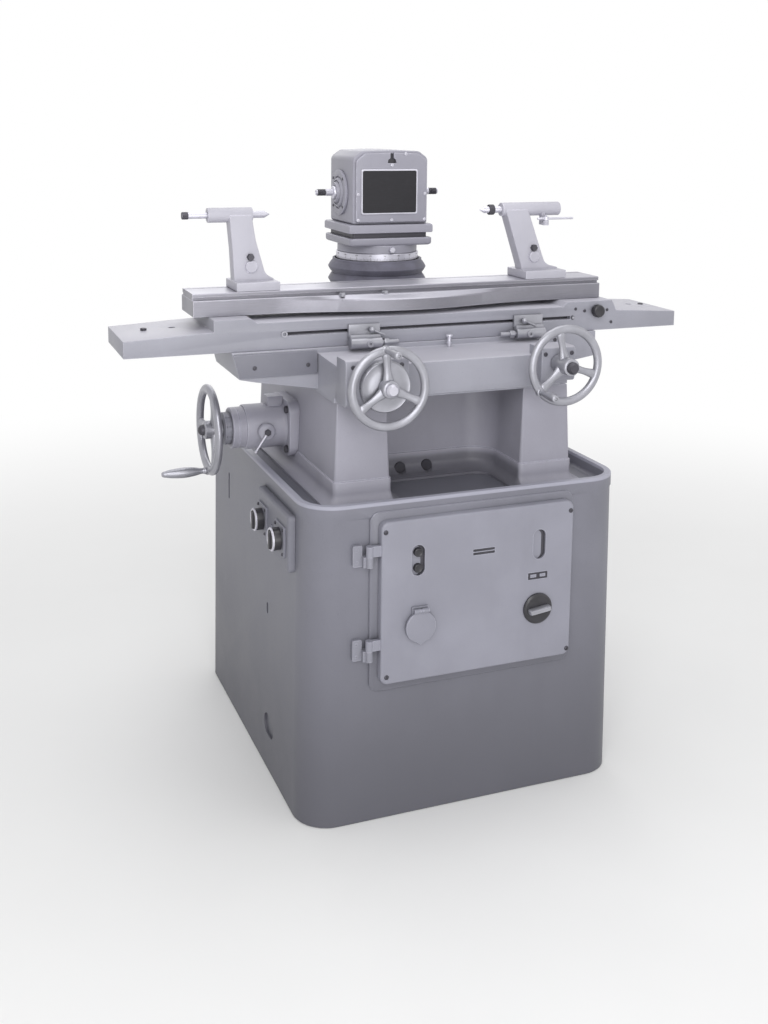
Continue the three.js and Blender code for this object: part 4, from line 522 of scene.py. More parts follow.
class Finish(Nodes):
    """A material and its basic colour."""

    def __init__(self, name, colour):
        self.material = bpy.data.materials.new(name)
        self.material.use_nodes = True
        super().__init__(self.material.node_tree)
        self.shader = self.tree.nodes["Principled BSDF"]
        self.base = linear(colour)

    def place(self, scale=(1, 1, 1)):
        """Object coordinates, stretched."""
        coordinates = self.node("ShaderNodeTexCoord", output="Object")
        if scale == (1, 1, 1):
            return coordinates
        return self.node("ShaderNodeMapping", inputs={"Vector": coordinates, "Scale": scale})

    def axis(self, vector, name):
        return self.node("ShaderNodeSeparateXYZ", inputs={0: vector}, output=name)

    def normal(self):
        return self.node("ShaderNodeNewGeometry", output="Normal")

    def noise(self, scale, detail=3, rough=0.5, stretch=(1, 1, 1)):
        inputs = {"Vector": self.place(stretch), "Scale": scale, "Detail": detail, "Roughness": rough}
        return self.node("ShaderNodeTexNoise", inputs=inputs)

    def mixed(self, share, first, second, blend="MIX"):
        """A colour between two, each a colour or a socket."""
        settings = {"data_type": "RGBA", "blend_type": blend}
        return self.node("ShaderNodeMix", settings, {0: share, 6: first, 7: second}, 2)

    def tone(self, factor):
        return tinted(self.base, factor)

    def between(self, share, low, high, *layers):
        """The basic colour between two tones, with a share of another tone laid over it for each layer."""
        face = self.mixed(share, self.tone(low), self.tone(high))
        return self.layered(face, *layers)

    def layered(self, face, *layers):
        for share, factor in layers:
            face = self.mixed(share, face, self.tone(factor))
        return face

    def edges(self, radius):
        """1 on rounded and sharp edges, 0 on flat faces."""
        soft = self.node("ShaderNodeBevel", {"samples": 4}, {"Radius": radius})
        product = {"operation": "DOT_PRODUCT"}
        alike = self.node("ShaderNodeVectorMath", product, {0: soft, 1: self.normal()}, "Value")
        return (1 - alike).clear_of(0.015, 0.12)

    def crevices(self, distance):
        """A mask for painted shade: 1 deep in corners and gaps, 0 on open faces."""
        open_share = self.node("ShaderNodeAmbientOcclusion", {"samples": 6}, {"Distance": distance}, "AO")
        return (1 - open_share).clear_of(0.3, 0.8)

    def upward(self):
        """1 on faces that look up, 0 on walls and undersides."""
        return self.axis(self.normal(), "Z").clear_of(0.6, 0.95)

    def bump(self, height, strength, distance):
        inputs = {"Height": height, "Strength": strength, "Distance": distance}
        return self.node("ShaderNodeBump", inputs=inputs)

    def shade(self, **inputs):
        """Sets the shader's own sockets."""
        for name, value in inputs.items():
            self.put(self.shader.inputs[name.replace("_", " ")], value)
        return self.material


def linear(colour):
    """A colour as written, in the renderer's own scale."""
    return tuple(c / 12.92 if c <= 0.04045 else ((c + 0.055) / 1.055) ** 2.4 for c in colour)


def tinted(colour, factor):
    return tuple(min(1, c * factor) for c in colour)


def enamel(name, colour, roughness=0.42, cast=1.0, top=None, rim=None, stain=False):
    """Machine enamel over a casting: mottling, a fine skin, painted highlights along the edges with rubbed wear
    in patches, painted shade in corners, any painted shade in the pedestal's pocket or towards the cabinet's
    foot with a painted highlight on its rim, and any bare top.
    """
    finish = Finish(name, colour)
    patches = finish.noise(5, 4, 0.6).clear_of(0.3, 0.72)
    specks = finish.noise(420, 2).clear_of(0.62, 0.74)
    streaks = finish.noise(14, 4, 0.65, (1, 1, 0.18)).clear_of(0.5, 0.8)
    edge = finish.edges(0.003)
    rubbed = edge * finish.noise(70, 4, 0.6).clear_of(0.38, 0.6)
    # Painted highlights lighten every edge, with rubbed wear in patches on top of them; painted shade darkens
    # corners and gaps.
    coat = finish.between(
        patches, 0.92, 1.05, (streaks * 0.22, 0.72), (specks * 0.3, 0.7), (edge * 0.4 + rubbed * 0.25, 1.9),
        (finish.crevices(0.014) * 0.55, 0.35),
    )
    # Painted shade: the front of the pocket below the pedestal's ledge is painted darker, mottled.
    if stain:
        x, y, z = (finish.axis(finish.place(), axis) for axis in "XYZ")
        low, inside = (PEDESTAL_FOOT + PEDESTAL.ledge_height) * MM, PEDESTAL.pocket_half * MM
        share = (1 - z.clear_of(low - 0.016, low)) * (1 - abs(x).clear_of(inside - 0.004, inside))
        share = share * (1 - y.clear_of(-0.14, -0.12))
        coat = finish.layered(coat, (share * (0.7 + finish.noise(14, 4, 0.6) * 0.3), 0.4))
    # Painted shade darkens the cabinet towards its foot, and a painted highlight lightens the top of its rim.
    if rim:
        height = finish.axis(finish.place(), "Z")
        foot = 1 - height.clear_of(0.03, rim * 0.85)
        coat = finish.layered(coat, (foot * 0.85, 0.5), (height.clear_of(rim, rim + 0.002) * 0.9, 2.0))
    if top:
        bare = finish.upward()
        rubbed = rubbed * (1 - bare)
        coat = finish.mixed(bare, coat, linear(getattr(bpy.context.scene.grinder_colours, top)))
    skin = finish.noise(260, 3) * 0.6 + finish.noise(90, 2) * (0.7 * cast)
    return finish.shade(
        Base_Color=coat,
        Roughness=roughness + patches * 0.08 + specks * 0.12 - rubbed * 0.12,
        Metallic=rubbed * 0.35,
        Normal=finish.bump(skin, 0.35, 0.00035 * cast),
        Specular_IOR_Level=0.5,
    )


def ground(name, colour):
    """Ground steel: fine lines along X, upright faces painted darker than the tops as painted shade, and small
    scratches.
    """
    finish = Finish(name, colour)
    lines = finish.noise(28, 5, 0.7, (1, 60, 60))
    cloud = finish.noise(9, 4, 0.6).clear_of(0.3, 0.75)
    scratch = finish.noise(120, 2, 0.5, (1, 60 ** 0.5, 60 ** 0.5)).clear_of(0.66, 0.74)
    face = finish.between(lines.clear_of(0.3, 0.7), 0.86, 1.05, (cloud * 0.35, 0.78))
    # Painted shade: upright faces take a darker copy of the colour, the tops keep it.
    upright = finish.mixed(1.0, face, (0.56, 0.56, 0.56), "MULTIPLY")
    worn = finish.edges(0.0024)
    face = finish.mixed(finish.upward(), upright, face)
    # Painted shade darkens corners and gaps.
    return finish.shade(
        Base_Color=finish.layered(face, (worn * 0.7, 1.3), (finish.crevices(0.01) * 0.5, 0.3)),
        Metallic=0.75,
        Roughness=0.3 + lines * 0.12 + cloud * 0.1 - worn * 0.06,
        Normal=finish.bump(lines + scratch * 0.6, 0.25, 0.0001),
    )


def polished(name, colour, roughness, metal):
    """Turned and polished steel with handling marks."""
    finish = Finish(name, colour)
    cloud = finish.noise(24, 4, 0.6).clear_of(0.3, 0.75)
    marks = finish.noise(240, 3, 0.6).clear_of(0.6, 0.72)
    # Painted shade darkens corners and gaps, and the edges are made lighter.
    layers = (marks * 0.3, 0.72), (finish.crevices(0.012) * 0.7, 0.22), (finish.edges(0.0012) * 0.5, 1.4)
    return finish.shade(
        Base_Color=finish.between(cloud, 0.9, 1.06, *layers),
        Metallic=metal,
        Roughness=roughness + cloud * 0.12 + marks * 0.15,
        Normal=finish.bump(finish.noise(320, 2) + cloud, 0.12, 0.00012),
    )


def moulded(name, colour, lift=1.0):
    """Black moulded plastic, dulled where hands touch it."""
    finish = Finish(name, tinted(colour, lift))
    rubbed = finish.edges(0.0015)
    cloud = finish.noise(60, 4, 0.6).clear_of(0.35, 0.7)
    dust = finish.noise(600, 2).clear_of(0.64, 0.72)
    return finish.shade(
        Base_Color=finish.between(cloud, 1.0, 1.5, (rubbed * 0.6, 3.4), (dust * 0.25, 4)),
        Roughness=0.34 + cloud * 0.14 + rubbed * 0.1,
        Coat_Weight=0.15,
        Normal=finish.bump(finish.noise(900, 2), 0.15, 0.0001),
    )


def rubbery(name, colour):
    """Matt rubber, dusty in the valleys and rubbed grey on the ridges."""
    finish = Finish(name, colour)
    dust = finish.noise(30, 5, 0.65).clear_of(0.35, 0.7)
    return finish.shade(
        Base_Color=finish.between(dust, 0.8, 1.15, (finish.edges(0.006) * 0.5, 1.5)),
        Roughness=0.62 + dust * 0.16,
        Normal=finish.bump(finish.noise(500, 3) + dust * 0.5, 0.3, 0.0003),
        Sheen_Weight=0.15,
    )


def wound(name, colour):
    """Varnished windings between laminations."""
    finish = Finish(name, colour)
    wave = {"Vector": finish.place(), "Scale": 180, "Distortion": 0.3}
    rings = finish.node("ShaderNodeTexWave", {"bands_direction": "X"}, wave, 1)
    return finish.shade(
        Base_Color=finish.between(rings, 0.5, 1.2),
        Metallic=0.5,
        Roughness=0.42 + rings * 0.1,
        Normal=finish.bump(rings, 0.5, 0.0004),
    )


def etched(name, colour):
    """The bare dark nameplate, with a faint brushed sheen."""
    finish = Finish(name, colour)
    brush = finish.noise(30, 4, 0.6, (2, 60, 60)).clear_of(0.25, 0.75)
    worn = finish.noise(40, 4, 0.7).clear_of(0.55, 0.75)
    return finish.shade(
        Base_Color=finish.between(brush, 0.8, 1.25, (worn * 0.3, 2.2)),
        Metallic=0.25,
        Roughness=0.3 + brush * 0.12 + worn * 0.1,
        Normal=finish.bump(brush, 0.12, 0.0001),
    )


def tone(label, use, colour):
    """A property for the colour of one finish."""
    return bpy.props.FloatVectorProperty(
        name=label, description=f"Colour of {use}", subtype="COLOR_GAMMA",
        size=3, min=0, max=1, default=colour,
    )


class GrinderColours(bpy.types.PropertyGroup):
    """The colours of the machine's finishes."""

    # The enamel tones are lit and shaded copies of one grey enamel: darker low on the machine as painted shade,
    # lighter higher up as painted light.
    paint: tone("Enamel", "the painted cabinet and panels", (0.465, 0.465, 0.505))
    door_paint: tone("Door enamel", "the painted door and its lid", (0.545, 0.545, 0.59))
    upper_paint: tone("Upper enamel", "the painted castings above the cabinet", (0.605, 0.60, 0.645))
    light_paint: tone("Light enamel", "the painted work heads", (0.70, 0.695, 0.735))
    table_paint: tone("Table enamel", "the lower table's painted sides", (0.58, 0.58, 0.62))
    wheel_steel: tone("Wheel steel", "the handwheels, dogs and bolts", (0.63, 0.63, 0.66))
    casting: tone("Plain casting", "unpainted cast pieces", (0.52, 0.52, 0.56))
    ground: tone("Ground steel", "the ground tables", (0.70, 0.695, 0.735))
    bright: tone("Bright steel", "centres, the spindle and the graduated ring", (0.80, 0.795, 0.835))
    dark_steel: tone("Oiled steel", "screws, shafts and gears", (0.32, 0.315, 0.34))
    bronze: tone("Bronze", "the feed nuts", (0.65, 0.51, 0.29))
    copper: tone("Windings", "the motor's windings", (0.54, 0.35, 0.24))
    rubber: tone("Rubber", "the bellows", (0.40, 0.395, 0.45))
    plastic: tone("Plastic", "knobs and buttons", (0.13, 0.125, 0.145))
    nameplate: tone("Nameplate", "the bare nameplate", (0.12, 0.115, 0.135))
    floor: tone("Floor", "the floor and backdrop", (0.93, 0.93, 0.93))


class GrinderSizes(bpy.types.PropertyGroup):
    """The sizes that shape the machine's finish rather than its parts."""

    casting_edge: bpy.props.FloatProperty(
        name="Casting edge", description="Rounding of cast edges, in millimetres", default=2.2, min=0.2, max=6,
    )
    machined_edge: bpy.props.FloatProperty(
        name="Machined edge", description="Rounding of machined edges, in millimetres", default=0.8, min=0.1,
        max=3,
    )
    dial_lines: bpy.props.IntProperty(
        name="Dial lines", description="Graduations round a feed dial", default=100, min=10, max=200,
    )
    knurls: bpy.props.IntProperty(
        name="Knurls", description="Ridges round a knurled knob", default=28, min=8, max=60,
    )


# For each finish: its slot, its maker, the colour's property and the maker's settings.
FINISHES = {
    "paint": ("paint", enamel, "paint", {}),
    "cabinet paint": ("paint", enamel, "paint", {"rim": (BASE.height - 7) * MM}),
    "door paint": ("paint", enamel, "door_paint", {}),
    "table paint": ("paint", enamel, "table_paint", {"roughness": 0.4, "cast": 0.6, "top": "ground"}),
    "pocket paint": ("paint", enamel, "upper_paint", {"roughness": 0.45, "stain": True}),
    "upper paint": ("paint", enamel, "upper_paint", {"roughness": 0.4, "cast": 0.9}),
    "light paint": ("paint", enamel, "light_paint", {"roughness": 0.38, "cast": 0.7}),
    "cast steel": ("cast_steel", enamel, "casting", {"roughness": 0.5}),
    "ground steel": ("ground_steel", ground, "ground", {}),
    "wheel steel": ("bright_steel", polished, "wheel_steel", {"roughness": 0.3, "metal": 0.6}),
    "bright steel": ("bright_steel", polished, "bright", {"roughness": 0.3, "metal": 0.55}),
    "dark steel": ("dark_steel", polished, "dark_steel", {"roughness": 0.4, "metal": 0.7}),
    "bronze": ("bronze", polished, "bronze", {"roughness": 0.34, "metal": 0.8}),
    "copper": ("copper", wound, "copper", {}),
    "rubber": ("rubber", rubbery, "rubber", {}),
    "black plastic": ("black_plastic", moulded, "plastic", {}),
    "mark": ("black_plastic", moulded, "plastic", {"lift": 1.3}),
    "nameplate": ("nameplate", etched, "nameplate", {}),
}


def material(finish):
    """The material of a finish, made when it's first asked for."""
    name = f"{finish} finish"
    _, maker, colour, settings = FINISHES[finish]
    found = bpy.data.materials.get(name)
    return found or maker(name, getattr(bpy.context.scene.grinder_colours, colour), **settings)


# Geometry Nodes


class Pattern(Nodes):
    """A node tree that repeats a small shape, with named inputs for what changes."""

    def __init__(self, name, **inputs):
        super().__init__(bpy.data.node_groups.new(name, "GeometryNodeTree"))
        sockets = {"Geometry": "Geometry", "Shape": "Object", **inputs, "Finish": "Material"}
        for label, kind in sockets.items():
            self.tree.interface.new_socket(label, in_out="INPUT", socket_type=f"NodeSocket{kind}")
        self.tree.interface.new_socket("Geometry", in_out="OUTPUT", socket_type="NodeSocketGeometry")
        start = self.tree.nodes.new("NodeGroupInput").outputs
        self.inputs = {label: Value(self, start[label]) for label in sockets}

    def spread(self, points, turning):
        """Puts the shape at every point, makes the copies real and paints them."""
        shape = self.node("GeometryNodeObjectInfo", inputs={"Object": self.inputs["Shape"]}, output="Geometry")
        places = {"Points": points, "Instance": shape, "Rotation": turning}
        real = self.node("GeometryNodeRealizeInstances", inputs={
            "Geometry": self.node("GeometryNodeInstanceOnPoints", inputs=places),
        })
        painted = {"Geometry": real, "Material": self.inputs["Finish"]}
        self.node("NodeGroupOutput", inputs={0: self.node("GeometryNodeSetMaterial", inputs=painted)})
        return self.tree


@cache
def scatter_pattern():
    """Puts one small shape at every point of a mesh, turned as the point says."""
    pattern = Pattern("Scatter")
    way = pattern.node(
        "GeometryNodeInputNamedAttribute", {"data_type": "FLOAT_VECTOR"}, {"Name": "turned"}, "Attribute",
    )
    return pattern.spread(pattern.inputs["Geometry"], way)


@cache
def ring_pattern():
    """Repeats one small shape evenly round the Z axis of its object, over an arc."""
    pattern = Pattern("Ring", Count="Int", Start="Float", Arc="Float")
    count, start, arc = (pattern.inputs[label] for label in ("Count", "Start", "Arc"))
    points = pattern.node("GeometryNodePoints", inputs={"Count": count})
    share = pattern.node("GeometryNodeInputIndex") / count
    angle = share.maths("MULTIPLY_ADD", share, arc, start)
    return pattern.spread(points, pattern.node("ShaderNodeCombineXYZ", inputs={"Z": angle}))


def repeated(tree, holder, shape, finish, **values):
    """A shape repeated by a pattern over a mesh of points, as one plain mesh."""
    tool, thing = hung(shape), hung(holder)
    modifier = thing.modifiers.new(tree.name, "NODES")
    modifier.node_group = tree
    values.update(Shape=tool, Finish=material(finish))
    for item in tree.interface.items_tree:
        if item.in_out == "INPUT" and item.name in values:
            modifier[item.identifier] = values[item.name]
    mesh = settled(thing)
    bpy.data.objects.remove(tool)
    return mesh


def scattered(shape, places, finish):
    """One shape at each place (x, y, z, turn about X, turn about Y, turn about Z), as one mesh."""
    points = bpy.data.meshes.new("places")
    points.from_pydata([place[:3] for place in places], [], [])
    points.attributes.new("turned", "FLOAT_VECTOR", "POINT")
    points.attributes["turned"].data.foreach_set("vector", [a for place in places for a in place[3:]])
    return repeated(scatter_pattern(), points, shape, finish)


def ringed(shape, count, finish):
    """One shape, drawn off the Z axis, repeated all round it."""
    holder = bpy.data.meshes.new("ring")
    holder.from_pydata([ORIGIN], [], [])
    return repeated(ring_pattern(), holder, shape, finish, Count=count, Start=0.0, Arc=2 * math.pi)


# Small shapes


def screw_head(radius, height):
    """A raised screw head on the XY plane, its slot along X."""
    head = turned("z", [
        (0, -height), (radius, -height), (radius, height * 0.45), (radius * 0.86, height * 0.8),
        (radius * 0.5, height * 0.97), (0, height),
    ], sides=16)
    long, half = radius * 1.2, radius * 0.14
    return cut(head, block(-long, long, -half, half, height * 0.35, height * 2))


def hex_head(radius, height):
    profile = [(0.93, -height / 2), (1, 0), (1, height * 0.8), (0.9, height)]
    return stack("z", [(circle(0, 0, radius * share, 6), z) for share, z in profile])


def screws(name, body, size, places, finish="dark steel", smooth=35):
    """Screw heads of one size, each at its place, as a piece."""
    piece(name, scattered(screw_head(*size), places, finish), body, finish, smooth=smooth)


def facing(places, spin, first=0):
    """Places (x, y, z) whose screws face forwards, each turned a little further than the last."""
    return [(*place, math.pi / 2, first + spin * i, 0) for i, place in enumerate(places)]


def numbered(text, size, depth):
    """Raised figures on the XY plane, centred, facing +Z."""
    curve = bpy.data.curves.new("figures", "FONT")
    curve.body = text
    curve.size = size
    curve.extrude = depth
    curve.align_x = "CENTER"
    curve.align_y = "CENTER"
    return settled(hung(curve))


# Pieces


def side_at(z):
    """How far the sloping sides of the cabinet are from its middle at a height."""
    return BASE.foot_width / 2 + (BASE.rim_width - BASE.foot_width) / 2 * z / BASE.height


def cabinet_shape(grow, levels):
    """The tapered cabinet through (height, extra outset) levels."""
    return stack("z", [
        (boxed(0, 0, 2 * side_at(z), BASE.depth, BASE.radius, 1)(-grow - extra), z) for z, extra in levels
    ])


def door_ring(inset, radius, reach=(0, 0, 0, 0)):
    """The door's outline at an inset, or its frame's, which reaches further left, right, down and up."""
    left, right, down, up = (inset - way for way in reach)
    x, z, wide, high = DOOR.x, DOOR.z, DOOR.width / 2, DOOR.height / 2
    return rounded(x - wide + left, x + wide - right, z - high + down, z + high - up, radius)


HINGE_AT = (DOOR.x - DOOR.width / 2 - HINGE.offset, (DOOR_FRONT + DOOR_BACK) / 2 - HINGE.leaf / 4)


def cabinet_mesh():
    edge = bpy.context.scene.grinder_sizes.casting_edge
    deck_bottom, rim, front = TRAY_FLOOR - BASE.deck, BASE.height, FRONT - SURROUND.proud
    outside = cabinet_shape(0, [
        (0, -edge), (edge, 0), (TRAY_FLOOR - 1, 0), (TRAY_FLOOR + 2, BASE.lip), (rim - edge, BASE.lip),
        (rim, BASE.lip - edge),
    ])
    hollow = cabinet_shape(-BASE.wall, [(BASE.floor, 0), (deck_bottom, 0)])
    tray = cabinet_shape(-BASE.rim, [
        (TRAY_FLOOR, -edge * 3), (TRAY_FLOOR + edge, -edge), (TRAY_FLOOR + edge * 3, 0), (rim - edge, 0),
        (rim + OVERRUN, edge * 1.6),
    ])
    raised = slab("y", lambda inset: door_ring(inset, SURROUND.radius, SURROUND.reach), [
        (SURROUND.edge, front), (0, front + SURROUND.edge), (0, FRONT + BASE.wall / 2),
    ])
    inner, near = BASE.foot_width / 2 - BASE.wall - 1, BASE.partition_front
    wall = block(-inner, inner, near, near + BASE.partition, BASE.floor / 2, TRAY_FLOOR - BASE.deck / 2)
    opening = plate(
        "y", door_ring(SURROUND.inset, DOOR.radius), front - OVERRUN, FRONT + BASE.wall + OVERRUN,
    )
    hole = rounded(DECK_HOLE.left, DECK_HOLE.right, DECK_HOLE.front, DECK_HOLE.back, DECK_HOLE.radius)
    deck = plate("z", hole, deck_bottom - OVERRUN, TRAY_FLOOR + OVERRUN)
    recesses = []
    for side, y, z, wide, high in RECESSES:
        face = side * side_at(z)
        outline = boxed(y, z, wide, high, min(wide, high) / 2 - GAP)()
        recesses.append(plate("x", outline, face - RECESS_DEPTH, face + RECESS_DEPTH))
    return cut(join(cut(join(outside, raised), hollow, tray), wall), opening, deck, *recesses)


class GRINDER_OT_cabinet(bpy.types.Operator):
    """Builds the tapered cabinet with its drip tray and door frame"""

    bl_idname = "grinder.cabinet"
    bl_label = "Cabinet"

    def execute(self, context):
        piece("cabinet", cabinet_mesh(), "root", "cabinet paint", "base_cabinet", smooth=40)
        return {"FINISHED"}


def slot_ring(x, z=SLOT.z):
    return boxed(x, z, SLOT.width, SLOT.height, SLOT.width / 2 - GAP, 1)


def door_mesh():
    def outline(inset):
        return door_ring(inset, DOOR.radius - inset / 2)

    crown = [(DOOR.edge * a, DOOR_FRONT + DOOR.edge * b) for a, b in CROWN_SHARES]
    body = slab("y", outline, [*crown, (0, DOOR_BACK - 1), (1, DOOR_BACK)])
    hollow = plate("y", outline(DOOR.side), SKIN_BACK, DOOR_BACK + OVERRUN)
    front = DOOR_FRONT - OVERRUN
    recesses = [plate("y", slot_ring(x)(), front, DOOR_FRONT + SLOT.sink) for x in (SLOT.x, SLOT.lamp_x)]
    apart = BUTTON.spacing / 2
    holes = (
        (SLOT.x, SLOT.z + apart, BUTTON.radius), (SLOT.x, SLOT.z - apart, BUTTON.radius),
        (SOCKET.x, SOCKET.z, SOCKET.body_radius), (MAIN_SWITCH.x, MAIN_SWITCH.z, MAIN_SWITCH.shaft),
    )
    bores = [bar("y", radius + GAP, front, SKIN_BACK + OVERRUN, (x, 0, z)) for x, z, radius in holes]
    marks = [plate("y", rounded(*place, 1.2), front, DOOR_FRONT + 1.4) for place in LABEL_SLOTS]
    leaves = []
    x, y = HINGE_AT
    for z in (HINGE.upper_z, HINGE.lower_z):
        low, high, thick = z + GAP / 2, z + HINGE.height / 2, HINGE.leaf / 2
        leaves.append(tube("z", HINGE.radius, HINGE.pin + GAP, low, high, (x, y, 0)))
        leaf = block(x, DOOR.x - DOOR.width / 2 + DOOR.side / 2, y - thick, y + thick, low, high)
        leaves.append(cut(leaf, bar("z", HINGE.radius - GAP, low - 9, high + OVERRUN, (x, y, 0))))
    return join(cut(body, hollow, *recesses, *bores, *marks), *leaves)


def hinge_mesh(z):
    half, face = HINGE.height / 2, FRONT - GAP
    x, y = HINGE_AT
    foot = block(
        x - 12, DOOR.x - DOOR.width / 2 - SURROUND.reach[0] - GAP, y, face, z - half, z - GAP / 2,
    )
    leaf = plate("y", rounded(x - 30, x - 12 + GAP, z - half, z + half, 3), face - HINGE.leaf, face)
    barrel = bar("z", HINGE.radius, z - half, z - GAP / 2, (x, y, 0), 32)
    pin = bar("z", HINGE.pin, z - half, z + half, (x, y, 0), SMALL)
    heads = [
        moved(screw_head(2.8, 1.2), FACING, shift(x - 22, face - HINGE.leaf, z + up)) for up in (-12, 12)
    ]
    return join(barrel, foot, leaf, pin, *heads)


def switch_mesh():
    back, deep, shaft = DOOR_FRONT - GAP, SKIN_BACK + DOOR.skin / 2, MAIN_SWITCH.shaft
    radius, thick = MAIN_SWITCH.radius, MAIN_SWITCH.thickness
    disc = turned("y", [
        (0, back - thick), (radius * 0.86, back - thick), (radius * 0.93, back - thick + 0.6),
        (radius, back - thick * 0.55), (radius, back), (shaft, back), (shaft, deep), (0, deep),
    ], sides=64)
    top = back - MAIN_SWITCH.bar_height
    grip = slab("y", boxed(0, 0, 2 * (radius - GAP - 1), MAIN_SWITCH.bar_width, 4, 0.5), [
        (2, top), (0, top + 3), (0, back - thick - GAP),
    ])
    place = shift(MAIN_SWITCH.x, 0, MAIN_SWITCH.z)
    return moved(disc, place), moved(grip, Matrix.Diagonal((0.78, 1, 0.9, 1)), turn("y", -0.12), place)


def socket_mesh():
    back, front = DOOR_FRONT - GAP, DOOR_FRONT - GAP - SOCKET.flange
    middle, wide, deep, radius = FLAP.centre, FLAP.boss + 2, front + SOCKET.depth, SOCKET.body_radius
    flange = join(
        bar("y", SOCKET.width / 2 - 3, front, back, (0, 0, middle), 64, (1, 0)),
        plate("y", rounded(-wide, wide, middle, FLAP.top + 2 * FLAP.barrel, 2), front + 0.6, back),
    )
    body = bar("y", radius, front + SOCKET.flange / 2, deep + SOCKET.flange)
    hollow = bar("y", radius - SOCKET.wall, front - OVERRUN, deep)
    pins = [
        bar("y", 2.4, front + 2, deep + 0.5, (9 * math.cos(a), 0, 9 * math.sin(a)), 12)
        for a in (0.5, 1.57, 2.64, 4.0, 5.4)
    ]
    return moved(join(cut(join(flange, body), hollow), *pins), shift(SOCKET.x, 0, SOCKET.z))


def flap_mesh():
    """The socket's round lid, its outline drawn out to a point at the bottom."""
    back, half, steps = DOOR_FRONT - 2 * GAP - SOCKET.flange, FLAP.width / 2, 96
    front = back - FLAP.thickness

    def outline(inset):
        ring = []
        for k in range(steps):
            angle = 2 * math.pi * k / steps
            tip = max(0, 1 - abs(angle - 1.5 * math.pi) / 0.26)
            radius = FLAP.radius + FLAP.tab * tip ** 1.3 - inset
            ring.append((radius * math.cos(angle), FLAP.centre + radius * math.sin(angle)))
        return ring

    lid = slab("y", outline, [(1.2, front), (0.35, front + 0.4), (0, front + 1.3), (0, back)])
    boss = turned("y", [
        (0, front - 1), (half * 0.7, front - 1), (half * 0.8, front), (half * 0.8, back - 1), (0, back - 1),
    ], (0, 0, FLAP.centre), 64)
    r, end = FLAP.barrel, FLAP.boss
    barrel = turned("x", [
        (0, -end), (r, -end), (r, -3), (r - 1, -2), (r - 1, 2), (r, 3), (r, end), (0, end),
    ], (0, back - r, FLAP.top + r / 2), 32)
    return moved(join(lid, boss, barrel), shift(SOCKET.x, 0, SOCKET.z))


def button_mesh(side):
    face, radius, back = DOOR_FRONT - BUTTON.proud / 2, BUTTON.radius, SKIN_BACK + GAP
    stem, end = BUTTON.stem / 4, SKIN_BACK + BUTTON.stem / 2
    cap = turned("y", [
        (0, face + 0.9), (radius * 0.62, face + 0.8), (radius * 0.84, face), (radius * 0.95, face + 0.5),
        (radius, face + 1.6), (radius, back), (BUTTON.flange_radius, back),
        (BUTTON.flange_radius, back + BUTTON.flange), (stem, back + BUTTON.flange), (stem, end), (0, end),
    ])
    return moved(cap, shift(SLOT.x, 0, SLOT.z + side * BUTTON.spacing / 2))


class GRINDER_OT_door(bpy.types.Operator):
    """Builds the control door with its hinges, buttons, switch, socket and screws"""

    bl_idname = "grinder.door"
    bl_label = "Door"

    def execute(self, context):
        edge = context.scene.grinder_sizes.machined_edge / 2
        piece("door_panel", door_mesh(), "door", "door paint", "door", smooth=30)
        for name, z in (("hinge_upper", HINGE.upper_z), ("hinge_lower", HINGE.lower_z)):
            piece(f"{name}_block", hinge_mesh(z), "root", "cast steel", name, edge)
        for name, side in (("start_button", 1), ("stop_button", -1)):
            piece(f"{name}_cap", button_mesh(side), name, "black plastic", name, smooth=50)
        disc, grip = switch_mesh()
        piece("main_switch_disc", disc, "main_switch", "black plastic", "main_switch_knob")
        piece("main_switch_grip", grip, "main_switch", "wheel steel", smooth=40)
        piece("socket_body", socket_mesh(), "door", "cast steel", "door_socket")
        piece("socket_lid", flap_mesh(), "socket_flap", "door paint", "socket_flap")
        fills = [
            plate("y", rounded(a + 0.4, b - 0.4, c + 0.4, d - 0.4, 0.9), DOOR_FRONT + 0.5, DOOR_FRONT + 1.6)
            for a, b, c, d in LABEL_SLOTS
        ]
        piece("label_slot_fills", gathered(*fills), "door", "mark")
        deep = DOOR_FRONT + SLOT.sink
        shades = [
            cut(plate("y", slot_ring(x)(GAP), deep - 0.8, deep + 0.2),
                plate("y", slot_ring(x - 7, SLOT.z - 1)(), DOOR_FRONT, deep + OVERRUN))
            for x in (SLOT.x, SLOT.lamp_x)
        ]
        piece("slot_shades", gathered(*shades), "door", "dark steel")
        screws("door_screws", "door", (4.6, 2.2), facing(DOOR_SCREWS, 0.7), smooth=40)
        return {"FINISHED"}


PANEL_FRONT = -(side_at(PANEL.z - PANEL.height / 2) + PANEL.thickness + GAP)
KNOB_FACE = PANEL_FRONT - KNOB.plate_thickness
KNOB_PLACES = (PANEL.y + KNOB.spacing / 2, PANEL.y - KNOB.spacing / 2)


def edge_curve(depth, start, angles):
    """Levels (inset, place) of an edge rounded through the angles."""
    return [(depth * (1 - math.sin(a)), start + depth * (1 - math.cos(a))) for a in angles]


def panel_mesh():
    steps = 6
    bend = edge_curve(PANEL.bevel, PANEL_FRONT, [math.pi / 2 * i / steps for i in range(steps + 1)])
    outline = boxed(PANEL.y, PANEL.z, PANEL.width, PANEL.height, PANEL.radius)
    body = slab("x", outline, [*bend, (0, -side_at(BASE.height) + PANEL.bevel)])
    face, back, lamp = KNOB_FACE, PANEL_FRONT + GAP, KNOB.lamp
    plates = [
        slab("x", boxed(y, PANEL.z, KNOB.plate, KNOB.plate, KNOB.corner), [
            (1, face), (0, face + 1), (0, back),
        ]) for y in KNOB_PLACES
    ]
    bores = [
        bar("x", KNOB.shaft + GAP, face - OVERRUN, face + KNOB.bore, (0, y, PANEL.z)) for y in KNOB_PLACES
    ]
    lens = [(0, face), (lamp * 0.6, face), (lamp, face + 1.5), (lamp, back), (0, back)]
    wall = cabinet_shape(GAP, [(0, 0), (BASE.height, 0)])
    return cut(join(body, turned("x", lens, (0, PANEL.y, PANEL.z)), *plates), wall, *bores)


